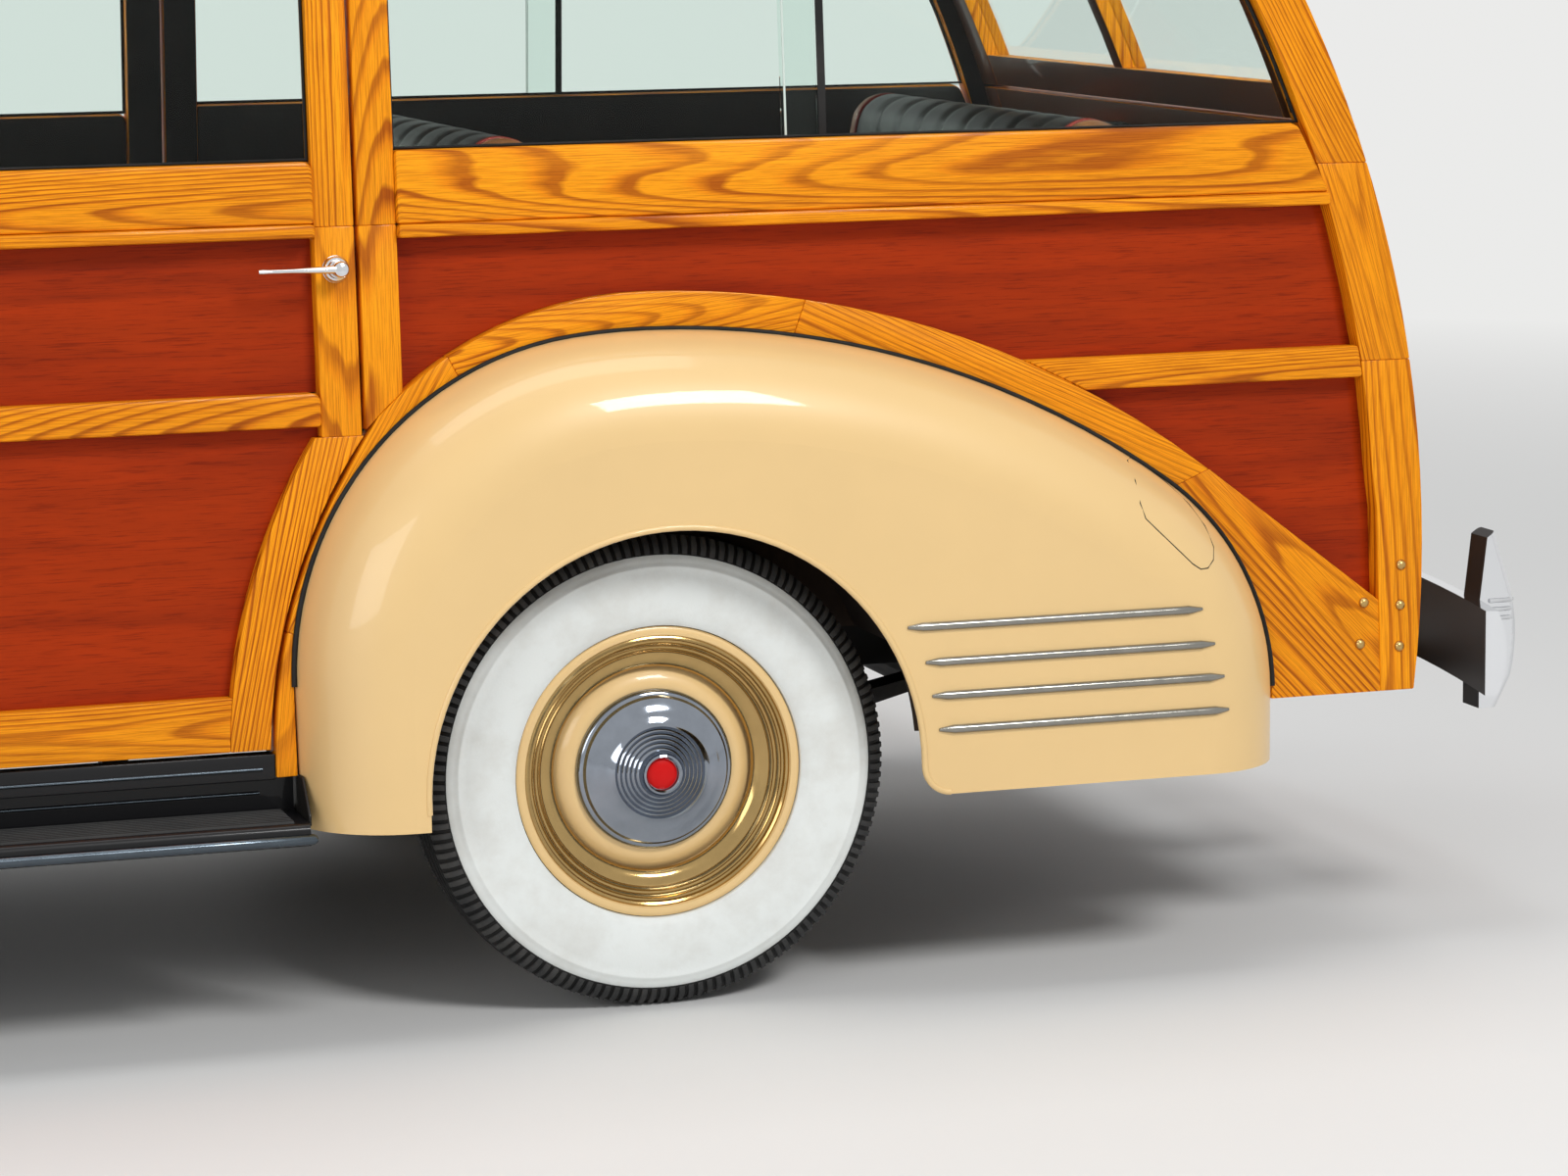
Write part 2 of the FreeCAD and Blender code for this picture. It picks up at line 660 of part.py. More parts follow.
HANDLE_HEIGHT = 1128
HANDLE_REACH = 46
HANDLE_LENGTH = 118
HANDLE_STEM = 9
LEVER_TIP = 6


def handle(side, x, taper):
    """Lever handle: a round stem from the stile and a lever that points forwards."""
    out = Vector(0, side, 0)
    stem = Part.makeCylinder(HANDLE_STEM, HANDLE_REACH, Vector(x, 0, HANDLE_HEIGHT), out)
    rose = Part.makeCone(20, 14, 10, Vector(x, 0, HANDLE_HEIGHT), out)
    lever_y = side * (HANDLE_REACH - HANDLE_STEM)
    lever = Part.makeCone(HANDLE_STEM, LEVER_TIP, HANDLE_LENGTH,
                          Vector(x, lever_y, HANDLE_HEIGHT), Vector(-1, 0, 0))
    tip = Part.makeSphere(LEVER_TIP, Vector(x - HANDLE_LENGTH, lever_y, HANDLE_HEIGHT))
    shape = stem.fuse([rose, lever, tip]).removeSplitter()
    return moved(shape, side_placement(side, taper))


def quarter(side, upper, lower, window):
    """Mahogany panels and the two sliding windows behind the rear door."""
    panels = [side_solid(side, [points], S.panel_recess, S.panel_depth)
              for points in (upper, lower)]
    split = S.rear_axle_x + 260
    low, high = window[0][1], window[2][1]
    front_pane = [(window[0][0], low), (split + 27, low), (split + 27, high),
                  (window[3][0], high)]
    rear_pane = [(split - 27, low)] + window[1:3] + [(split - 27, high)]
    gap = 4
    panes = [
        side_solid(side, [front_pane], S.glass_recess, S.glass_depth),
        side_solid(side, [rear_pane], S.glass_recess + S.glass_depth + gap, S.glass_depth),
    ]
    return panels, panes


quarter_panels, quarter_panes = [], []
for side, name in SIDES:
    panels, panes = quarter(side, *add_side(side, name))
    quarter_panels += panels
    quarter_panes += panes
    door(side, name, "front")
    door(side, name, "rear")
feature("quarter_panels", Part.makeCompound(quarter_panels))
feature("quarter_glass", Part.makeCompound(quarter_panes))


# The tail: gates, header and lower sill


def tail_band(inset, depth, low, high, half_width):
    """A curved sheet across the tail, between two heights."""
    outer, inner = S.rear_curve_radius - inset, S.rear_curve_radius - inset - depth
    points = [
        (tail_x(low, inset), low, outer),
        (tail_x(high, inset), high),
        (tail_x(high, inset + depth), high, -inner),
        (tail_x(low, inset + depth), low),
    ]
    face = outline_face(points)
    face.Placement = Placement(Vector(0, half_width, 0), Rotation(Vector(1, 0, 0), 90))
    return face.extrude(Vector(0, -2 * half_width, 0))


def between_sides(clearance, low, high):
    """The space between the leaning side frames, less a clearance."""
    lean = math.tan(math.radians(S.side_lean))
    thick = S.wood_depth / math.cos(math.radians(S.side_lean)) + clearance

    def half(height):
        return S.belt_half_width + lean * (S.belt_height - height) - thick
    corners = [(-half(low), low), (half(low), low), (half(high), high), (-half(high), high)]
    wire = Part.makePolygon([Vector(0, y, z) for y, z in corners + corners[:1]])
    return Part.Face(wire).extrude(Vector(S.wheelbase, 0, 0))


def across(low, high, near, far):
    """A box behind the tail between two heights and two widths."""
    return Part.makeBox(S.wheelbase, far - near, high - low, Vector(0, near, low))


HALF = S.belt_half_width + 100
gate = tail_band(S.gate_recess, S.wood_depth, S.tailgate_bottom, S.tailgate_top, HALF)
gate = gate.common(between_sides(S.gate_gap, 0, ROOF_CROWN))
hinge_x = tail_x(S.tailgate_bottom, S.gate_recess) + S.gate_hinge_out
hinge_z = S.tailgate_bottom - S.door_gap / 2
sweep = math.hypot(hinge_x - tail_x(S.tailgate_top, S.gate_recess), S.tailgate_top - hinge_z)
gate = gate.common(Part.makeCylinder(sweep, 2 * HALF, Vector(hinge_x, -HALF, hinge_z),
                                     Vector(0, 1, 0)))
edge = S.gate_stile
half_low = S.belt_half_width - S.wood_depth - edge
panel_low, panel_high = S.tailgate_bottom + edge, S.tailgate_top - edge
for near, far in ((-half_low, -edge / 2), (edge / 2, half_low)):
    gate = gate.cut(across(panel_low, panel_high, near, far))
feature("tailgate_frame", gate)
panels = []
for near, far in ((-half_low, -edge / 2), (edge / 2, half_low)):
    sheet_band = tail_band(S.gate_recess + S.panel_recess, S.panel_depth,
                           panel_low, panel_high, HALF)
    panels.append(sheet_band.common(across(panel_low, panel_high, near, far)))
feature("tailgate_panels", Part.makeCompound([panel.Solids[0] for panel in panels]))

lift = tail_band(S.gate_recess, S.wood_depth, S.liftgate_bottom, S.liftgate_top, HALF)
lift = lift.common(between_sides(S.gate_gap, 0, ROOF_CROWN))
bar = S.gate_divider
half_lift = S.belt_half_width - S.wood_depth - edge - 18
glass_low, glass_high = S.liftgate_bottom + edge - 14, S.liftgate_top - edge + 14
panes = []
for near, far in ((-half_lift, -bar / 2), (bar / 2, half_lift)):
    lift = lift.cut(across(glass_low, glass_high, near, far))
    pane = tail_band(S.gate_recess + S.glass_recess, S.glass_depth,
                     glass_low, glass_high, HALF)
    panes.append(pane.common(across(glass_low, glass_high, near, far)).Solids[0])
feature("liftgate_frame", lift)
feature("liftgate_glass", Part.makeCompound(panes))



def gate_hinges(x, z, upwards):
    """Moving halves of a gate's two hinges; upwards is 1 where the gate rises from them."""
    reach = math.hypot(x - TAIL_CENTRE_X, z - S.rear_curve_height)
    tilt = math.atan2(z - S.rear_curve_height, x - TAIL_CENTRE_X)
    skin = S.rear_curve_radius - S.gate_recess
    outward = Vector(math.cos(tilt), 0, math.sin(tilt))
    along = Vector(-math.sin(tilt), 0, math.cos(tilt)) * upwards
    turned = Rotation(along, outward, Vector(0, upwards, 0), "XYZ")
    moving = []
    for y in (-S.gate_hinge_y, S.gate_hinge_y):
        foot = Vector(x, y, z) - outward * (reach - skin)
        halves = hinge(reach - skin, S.gate_hinge_radius)
        moving.append(moved(halves[0], Placement(foot, turned)))
        FIXED_HINGES.append(moved(halves[1], Placement(foot, turned)))
    return moving


GRIP_LENGTH = 120
GRIP_REACH = 30


def gate_handle(height):
    """A T-shaped handle in the middle of a gate, on its skin."""
    skin = S.rear_curve_radius - S.gate_recess
    tilt = math.asin((height - S.rear_curve_height) / skin)
    outward = Vector(math.cos(tilt), 0, math.sin(tilt))
    foot = Vector(tail_x(height, S.gate_recess) + 0.3, 0, height)
    stem = Part.makeCylinder(8, GRIP_REACH + 4, foot, outward)
    rose = Part.makeCone(19, 13, 8, foot, outward)
    end = foot + outward * GRIP_REACH - Vector(0, GRIP_LENGTH / 2, 0)
    grip = Part.makeCylinder(7, GRIP_LENGTH, end, Vector(0, 1, 0))
    return stem.fuse([rose, grip]).removeSplitter()


lift_x = tail_x(S.liftgate_top, S.gate_recess) + S.gate_hinge_out
tail_hardware = gate_hinges(hinge_x, hinge_z, 1)
tail_hardware.append(gate_handle(S.tailgate_top - edge / 2))
lift_hardware = gate_hinges(lift_x, S.liftgate_top + S.door_gap / 2, -1)
lift_hardware.append(gate_handle(S.liftgate_bottom + (edge - 14) / 2))
feature("tailgate_hardware", Part.makeCompound(tail_hardware))
feature("liftgate_hardware", Part.makeCompound(lift_hardware))
feature("fixed_hinges", Part.makeCompound(FIXED_HINGES))

header = tail_band(S.gate_recess, S.wood_depth, S.liftgate_top + S.door_gap,
                   S.roof_rail_top, HALF)
lower_sill = tail_band(S.gate_recess, S.wood_depth, S.quarter_bottom,
                       S.tailgate_bottom - S.door_gap, HALF)
tail_pieces = [piece.common(between_sides(0, 0, ROOF_CROWN)).Solids[0]
               for piece in (header, lower_sill)]
LOWER_SILL = tail_pieces[1]
feature("rear_crossbars", Part.makeCompound(tail_pieces))


def arch_section(x, half, skirt, low, top, corner, flare=0.0):
    """Closed section in Y-Z: upright sides, two corner arcs and a crown arc tangent to them."""
    rise = top - low
    reach = half - corner
    crown = (reach ** 2 + rise ** 2 - corner ** 2) / (2 * (rise - corner))
    drop = crown - rise
    spread = math.hypot(reach, drop)
    meet = (reach + corner * reach / spread, low + corner * drop / spread)
    angle = math.atan2(drop, reach) / 2
    mid = (reach + corner * math.cos(angle), low + corner * math.sin(angle))
    edges = []

    def at(y, z):
        return Vector(x, y, z)
    if skirt < low:
        edges.append(Part.makeLine(at(half + flare, skirt), at(half, low)))
    edges.append(Part.Arc(at(half, low), at(*mid), at(*meet)).toShape())
    edges.append(Part.Arc(at(*meet), at(0, top), at(-meet[0], meet[1])).toShape())
    edges.append(Part.Arc(at(-meet[0], meet[1]), at(-mid[0], mid[1]), at(-half, low)).toShape())
    if skirt < low:
        edges.append(Part.makeLine(at(-half, low), at(-half - flare, skirt)))
        edges.append(Part.makeLine(at(-half - flare, skirt), at(half + flare, skirt)))
    else:
        edges.append(Part.makeLine(at(-half, low), at(half, low)))
    return Part.Wire(edges)


# Roof


def roof_block(inset, front, rear):
    """The roof as a full block between two X values, smaller by an inset."""
    lean = math.tan(math.radians(S.side_lean))
    half = S.belt_half_width - lean * (S.roof_rail_top - S.belt_height) + S.roof_overhang
    low = S.roof_rail_top
    wire = arch_section(front, half - inset, low, low, ROOF_CROWN - inset,
                        S.roof_corner - inset)
    return Part.Face(wire).extrude(Vector(rear - front, 0, 0))


roof = roof_block(0, S.roof_front, S.roof_rear)
roof = rounded(roof, S.roof_end_round, lambda item: item.BoundBox.XLength < 1
               and item.BoundBox.ZMax > S.roof_rail_top + 10)
roof = roof.cut(roof_block(S.roof_wall, S.roof_front + S.roof_end_wall,
                           S.roof_rear - S.roof_end_wall))
feature("roof", biggest(roof))


# Fenders


def upright(face, y):
    """Stand a face that was drawn in X and Y up in X and Z, at a width."""
    face.Placement = Placement(Vector(0, y, 0), Rotation(Vector(1, 0, 0), 90))
    return face


def big_sheet(side, recess, depth, taper=False):
    """A slab much larger than the car, parallel to a body side."""
    corners = [(-CLEAR, -CLEAR), (CLEAR, -CLEAR), (CLEAR, CLEAR), (-CLEAR, CLEAR)]
    return side_solid(side, [corners], recess, depth, taper)


def mirrored(shape, side):
    """The shape itself on the left, its mirror image on the right."""
    if side == LEFT:
        return shape
    return shape.mirror(Vector(0, 0, 0), Vector(0, 1, 0))


def wheel_opening(axle_x, top, radius, corner=0.0):
    """Cutter for the wheel opening in a left fender; corner rounds its rear foot."""
    centre = top - radius
    foot = [(axle_x + radius, 0)]
    if corner:
        foot = [(axle_x + radius + corner, 0),
                (axle_x + radius + corner, centre - corner, -corner)]
    points = [(axle_x - radius, 0)] + foot + [
        (axle_x + radius, centre, radius), (axle_x, top, radius), (axle_x - radius, centre)]
    face = upright(outline_face(points), -S.belt_half_width - 60)
    return face.extrude(Vector(0, -300, 0))


def rear_fender():
    """Bulged left rear fender over the wheel, open inside."""
    shells = []
    for inset, extra in ((S.arch_fit, 0), (S.fender_wall, 60)):
        start = S.belt_half_width - 40 - extra
        low = S.rear_fender_bottom - extra
        face = upright(outline_face(rear_fender_line(low, inset)), -start)
        outer = FENDER_HALF_WIDTH - inset
        solid = face.extrude(Vector(0, start - outer, 0))
        shells.append(rounded(solid, S.rear_fender_round - inset,
                              lambda item: item.BoundBox.YMax < 1 - outer
                              and item.BoundBox.ZMax > low + 1))
    shell = shells[0].cut(shells[1])
    corner = S.rear_arch_top - S.rear_arch_radius - S.rear_fender_bottom
    shell = shell.cut(wheel_opening(S.rear_axle_x, S.rear_arch_top, S.rear_arch_radius, corner))
    return biggest(shell.cut(big_sheet(LEFT, S.arch_lap, 1800)))


# Front fender in side view: (radius, turn) from the top down, forwards and rearwards
FRONT_FENDER_NOSE_ARCS = [(720, 30), (480, 60)]
FRONT_FENDER_TAIL_ARCS = [(1150, -39), (9000, -1.3), (300, -49.7)]


def front_fender_line(bottom, inset):
    """Front fender outline from its rear foot, under it and over the top."""
    top = S.front_fender_top - inset
    nose_arcs = [(radius - inset, turn) for radius, turn in FRONT_FENDER_NOSE_ARCS]
    tail_arcs = [(radius - inset, turn) for radius, turn in FRONT_FENDER_TAIL_ARCS]
    nose = chain(S.front_fender_top_x, top, 180, nose_arcs)
    tail = chain(S.front_fender_top_x, top, 0, tail_arcs)
    return backwards(nose, bottom) + tail + [(tail[-1][0], bottom)]


def hood_half(x):
    """Half width of the hood at X."""
    share = (x - S.hood_front) / (S.hood_rear - S.hood_front)
    return S.hood_front_half + share * (S.hood_rear_half - S.hood_front_half)


def hood_line(offset, near, far, outer):
    """Plan outline between the hood's side line and another width, on the left."""
    nose = max(near, S.hood_front)
    points = [Vector(x, -hood_half(x) - offset, 0) for x in (nose, far)]
    if near < nose:
        points.insert(0, Vector(near, -hood_half(nose) - offset, 0))
    points += [Vector(far, -outer, 0), Vector(near, -outer, 0)]
    return Part.Face(Part.makePolygon(points + points[:1]))


def catwalk(offset, low):
    """Cutter that slopes a left front fender down towards the hood's side line."""
    rise, reach = S.front_fender_crest, 1.2 * S.front_fender_crest
    sections = []
    for x in (S.hood_front - 200, S.hood_rear):
        y = -hood_half(x) - offset
        points = [Vector(x, y + 200, low), Vector(x, y, low), Vector(x, y - reach, low + rise),
                  Vector(x, y - reach, low + 300), Vector(x, y + 200, low + 300)]
        sections.append(Part.makePolygon(points + points[:1]))
    return Part.makeLoft(sections, True, True)


def front_fender():
    """Left front fender with its wheel opening, closed towards the hood."""
    shells = []
    for inset in (0, S.fender_wall):
        low = S.front_fender_bottom - 10 * inset
        face = upright(outline_face(front_fender_line(low, inset)), 0)
        outer = FENDER_HALF_WIDTH - inset
        solid = face.extrude(Vector(0, -outer, 0))
        offset = S.hood_gap + 0.3 + inset
        plan = hood_line(offset, -S.wheelbase, 0, outer + 100)
        solid = solid.common(plan.extrude(Vector(0, 0, CLEAR)))
        solid = rounded(solid, S.front_fender_round - inset,
                        lambda item: item.BoundBox.YMax < 1 - outer
                        and item.BoundBox.ZMax > low + 1)
        shells.append(solid.cut(catwalk(offset, S.hood_bottom - S.hood_gap - 1.4 * inset)))
    shell = shells[0].cut(shells[1])
    shell = shell.cut(wheel_opening(FRONT_AXLE_X, S.front_arch_top, S.front_arch_radius))
    nose_x = front_fender_line(0, 0)[0][0]
    inner = hood_line(S.hood_gap + S.fender_wall + 1, nose_x + 3 * S.fender_wall, S.hood_rear, 0)
    shell = shell.cut(inner.extrude(Vector(0, 0, S.bay_bottom)))
    shell = shell.cut(Part.makeBox(400, WIDE, S.nose_bottom, Vector(nose_x - 100, -WIDE, 0)))
    cowl_space = cowl_block(-0.4, S.hood_rear - 1, POST_X - S.cowl_gap)
    return biggest(shell.cut(cowl_space)), shells[0]


def hood_block(inset, near, far):
    """The hood as a full block between two X values, smaller by an inset."""
    sections = []
    for x in (near, far):
        share = (x - S.hood_front) / (S.hood_rear - S.hood_front)
        top = S.hood_front_top + share * (S.hood_rear_top - S.hood_front_top)
        corner = S.hood_front_corner + share * (S.hood_rear_corner - S.hood_front_corner)
        sections.append(arch_section(x, hood_half(x) - inset, S.hood_bottom, S.hood_bottom,
                                     top - inset, corner - inset))
    return Part.makeLoft(sections, True, True)


def hood_reach(radius):
    """A cylinder about the hood's hinge line."""
    hinge = Vector(S.hood_rear - S.hood_gap, -WIDE, S.hood_rear_top + S.hood_hinge_lift)
    return Part.makeCylinder(radius, 2 * WIDE, hinge, Vector(0, 1, 0))


hood = hood_block(0, S.hood_front, S.hood_rear - S.hood_gap).common(hood_reach(S.hood_sweep))
hood = hood.cut(hood_block(S.hood_wall, S.hood_front - 50, S.hood_rear + 50))


def hood_hinge(rise, run, skin_x):
    """Placement and reach of a hinge half on a skin that rises towards the hood's rear edge."""
    slope = math.atan2(rise, run)
    outward = Vector(-math.sin(slope), 0, math.cos(slope))
    line = Vector(S.hood_rear - S.hood_gap, 0, S.hood_rear_top + S.hood_hinge_lift)
    above = (line - Vector(skin_x, 0, S.hood_rear_top)).dot(outward)
    along = Vector(-math.cos(slope), 0, -math.sin(slope))
    turned = Rotation(along, outward, along.cross(outward), "XYZ")
    return Placement(line - outward * above, turned), above


placed, above = hood_hinge(S.hood_rear_top - S.hood_front_top, S.hood_rear - S.hood_front,
                           S.hood_rear)
hood_leaf = moved(hinge(above, S.gate_hinge_radius)[0], placed)
feature("hood", biggest(hood.fuse(hood_leaf)))


def cowl_block(inset, front, rear):
    """The cowl as a full block from the hood's rear edge to the windscreen posts."""
    post_x = S.front_door_front - S.door_gap - S.a_post_width
    taper = math.tan(math.radians(S.front_taper)) * (S.b_post_x - post_x)
    lean = math.tan(math.radians(S.side_lean))
    low = S.hood_bottom
    skirt = S.sill_bottom - (100 if inset else 0)
    half = S.belt_half_width - taper + lean * (S.belt_height - low)
    sections = [
        arch_section(front, S.hood_rear_half - inset, skirt, low, S.hood_rear_top - inset,
                     S.hood_rear_corner - inset),
        arch_section(rear, half - inset, skirt, low, S.cowl_top - inset,
                     S.cowl_corner - inset, lean * (low - skirt)),
    ]
    return Part.makeLoft(sections, True, True)


POST_X = S.front_door_front - S.door_gap - S.a_post_width
COWL_BLOCK = cowl_block(0, S.hood_rear, POST_X - S.cowl_gap)
cowl = COWL_BLOCK.cut(cowl_block(S.cowl_wall, S.hood_rear + S.cowl_wall, POST_X + 1))
bay_sides = []
for side, name in SIDES:
    outer = hood_line(-S.cowl_wall / 2, S.hood_front, S.hood_rear, 900)
    strip = outer.cut(hood_line(S.hood_gap, S.hood_front, S.hood_rear, 950))
    wall = strip.extrude(Vector(0, 0, S.hood_bottom - S.hood_gap - S.bay_bottom))
    wall.translate(Vector(0, 0, S.bay_bottom))
    bay_sides.append(mirrored(wall, side))
COLUMN_RADIUS, COLUMN_END = 19, 42
RAKE = math.radians(S.steering_rake)
DOWN_COLUMN = Vector(-math.cos(RAKE), 0, -math.sin(RAKE))
STEERING = Vector(S.steering_x, -S.steering_y, S.steering_height)
column_length = (S.steering_x - S.hood_rear) / math.cos(RAKE) - COLUMN_END
column = Part.makeCylinder(COLUMN_RADIUS, column_length, STEERING, DOWN_COLUMN)
column.translate(DOWN_COLUMN * S.hub_depth - Vector(0.3, 0, 0))
under = Part.makeBox(400, 2 * S.hood_rear_half - 60, S.floor_top - S.floor_depth,
                     Vector(S.hood_rear - 100, 30 - S.hood_rear_half, 0))
placed, above = hood_hinge(S.cowl_top - S.hood_rear_top, POST_X - S.cowl_gap - S.hood_rear,
                           S.hood_rear)
cowl_leaf = moved(hinge(above, S.gate_hinge_radius)[1], placed)
feature("cowl", biggest(cowl.fuse(bay_sides + [column, cowl_leaf]).cut(under)))
front_shell, front_block = front_fender()
fenders = [rear_fender(), front_shell]
FENDER_FILL = {side: mirrored(front_block, side) for side, name in SIDES}
feature("fenders", Part.makeCompound([mirrored(shape, side) for side, name in SIDES
                                      for shape in fenders]))


# Windscreen


INSIDE = big_sheet(LEFT, S.wood_depth, 2500).common(big_sheet(RIGHT, S.wood_depth, 2500))
INSIDE_FRONT = big_sheet(LEFT, S.wood_depth, 2500, True).common(
    big_sheet(RIGHT, S.wood_depth, 2500, True))


def screen_sheet(ahead, depth, low, high, near, far):
    """A sheet of the folded windscreen between two heights and two widths."""
    slope = math.tan(math.radians(S.screen_slope))
    side_x = POST_X + 22 - ahead + slope * (low - S.door_belt_top)
    half = S.belt_half_width
    fold = S.screen_nose

    def front_x(y):
        return side_x - fold * (1 - abs(y) / half)
    points = [Vector(front_x(y), y, low) for y in (near, far)]
    points += [Vector(front_x(y) + depth, y, low) for y in (far, near)]
    face = Part.Face(Part.makePolygon(points + points[:1]))
    return face.extrude(Vector(slope * (high - low), 0, high - low))


screen_low, screen_high = S.door_belt_top - 50, S.roof_rail_top
bar = S.screen_bar
pane_low, pane_high = S.cowl_top + bar - 6, S.roof_rail_bottom - 4
frames, panes = [], []
for side, name in SIDES:
    half = screen_sheet(0, S.screen_frame, screen_low, screen_high, 0, -S.belt_half_width)
    gap = screen_sheet(20, S.screen_frame + 40, pane_low, pane_high, -bar / 2,
                       -S.screen_pane_half)
    pane = screen_sheet(-4, S.glass_depth, pane_low, pane_high, -bar / 2, -S.screen_pane_half)
    frames.append(mirrored(half.common(INSIDE_FRONT).cut(gap), side))
    panes.append(mirrored(pane, side))
screen_frame = frames[0].fuse(frames[1]).cut(COWL_BLOCK)
feature("windscreen_frame", biggest(screen_frame))
feature("windscreen_glass", Part.makeCompound([pane.Solids[0] for pane in panes]))


# Grille and lamps


def grille_outline(x, inset, low):
    """Outline of the grille shell: an arch as wide as the hood's nose."""
    return arch_section(x, S.hood_front_half - inset, low, S.hood_bottom,
                        S.hood_front_top - inset, S.hood_front_corner - inset,
                        -S.grille_taper)


depth = S.hood_front - S.grille_front
shell = Part.Face(grille_outline(S.grille_front, 0, S.grille_bottom))
shell = shell.extrude(Vector(depth, 0, 0))
shell = rounded(shell, S.grille_round, lambda item: item.BoundBox.XMax < S.grille_front + 1
                and item.BoundBox.ZMax > S.grille_bottom + 5)
collar = hood_block(0, S.hood_front, S.hood_front + 100)
shell = shell.fuse(collar.cut(hood_reach(S.hood_sweep + S.hood_gap)))
opening = Part.Face(grille_outline(S.grille_front, S.grille_border,
                                   S.grille_bottom + S.grille_border))
shell = shell.cut(opening.extrude(Vector(depth + 100, 0, 0)))
bars = []
count = int(S.grille_bars)
pitch = 2 * (S.hood_front_half - S.grille_border - S.grille_taper) / (count + 1)
for index in range(count):
    y = (index - (count - 1) / 2) * pitch
    slat = Part.makeBox(S.grille_bar_depth, S.grille_bar_width, 1000,
                        Vector(S.grille_front + S.grille_bar_step, y - S.grille_bar_width / 2,
                               S.grille_bottom))
    bars.append(slat.common(opening.extrude(Vector(depth, 0, 0))))
tie = Part.makeBox(S.grille_bar_width, 2 * S.hood_front_half, S.grille_bar_width,
                   Vector(S.grille_front + S.grille_bar_step + S.grille_bar_depth,
                          -S.hood_front_half, (S.grille_bottom + S.hood_bottom) / 2))
bars.append(tie.common(opening.extrude(Vector(depth, 0, 0))))
feature("grille_shell", biggest(shell))
feature("grille_bars", biggest(bars[0].fuse(bars[1:])))


def lamp(x, y, height, radius, length, axis):
    """A bullet lamp: a rim, a bulged glass and a tapered shell, turned about its axis."""
    nose, lens = radius * 0.28, radius * 0.9
    curve = (lens ** 2 + nose ** 2) / (2 * nose)
    face = outline_face([(0, -nose, curve), (lens, 0), (radius, 6), (radius, 26),
                         (radius * 0.94, 30), (radius * 0.5, length), (0, length)])
    bullet = face.revolve(Vector(0, 0, 0), Vector(0, 1, 0), 360)
    bullet.Placement = Placement(Vector(x, y, height), Rotation(Vector(0, 1, 0), axis))
    return bullet


lamps = []
for side, name in SIDES:
    head = lamp(S.lamp_x, side * S.lamp_y, S.lamp_height, S.lamp_radius, S.lamp_length,
                Vector(1, 0, 0))
    lamps.append(biggest(head.cut(FENDER_FILL[side])))
    tail_skin = tail_x(S.tail_lamp_height, S.gate_recess)
    tail = lamp(tail_skin + S.tail_lamp_length, side * S.tail_lamp_y, S.tail_lamp_height,
                S.tail_lamp_radius, S.tail_lamp_length + S.wood_depth, Vector(-1, 0, 0))
    lamps.append(biggest(tail.cut(LOWER_SILL)))
feature("lamps", Part.makeCompound(lamps))


# Running boards and bumpers


def board_section():
    """Left running board in Y-Z: tread, rolled outer edge and riser up to the sill."""
    lean = math.tan(math.radians(S.side_lean))
    riser = S.belt_half_width + lean * (S.belt_height - S.sill_bottom) - S.wood_depth + 8
    plate, top = S.board_plate, S.board_top
    points = [
        (-riser, S.sill_bottom - 1), (-riser - S.wheelhouse_wall, S.sill_bottom - 1),
        (-riser - S.wheelhouse_wall, top), (12 - BOARD_OUTER, top, 12),
        (-BOARD_OUTER, top - 12), (-BOARD_OUTER, top - S.board_depth),
        (6 - BOARD_OUTER, top - S.board_depth), (6 - BOARD_OUTER, top - plate),
        (-S.board_inner, top - plate), (-S.board_inner, top), (-riser, top),
    ]
    face = outline_face(points)
    face.Placement = Placement(Vector(0, 0, 0), Rotation(Vector(1, 1, 1), 120))
    return face


BOARD_FRONT = front_fender_line(0, 0)[-1][0]
BOARD_REAR = rear_fender_line(0)[0][0]
boards = []
for side, name in SIDES:
    face = board_section()
    face.translate(Vector(BOARD_FRONT, 0, 0))
    boards.append(mirrored(face.extrude(Vector(BOARD_REAR - BOARD_FRONT, 0, 0)), side))
feature("running_boards", Part.makeCompound(boards))


def bumper_curve(end, guard_y):
    """Radius of a bumper bar's face in plan, and X of its centre, for a rear bumper."""
    reach = S.bumper_rear if end > 0 else -S.bumper_front
    radius = S.bumper_radius
    fall = radius - math.sqrt(radius ** 2 - guard_y ** 2)
    return radius, reach - max(S.guard_depth - fall, 0) - radius


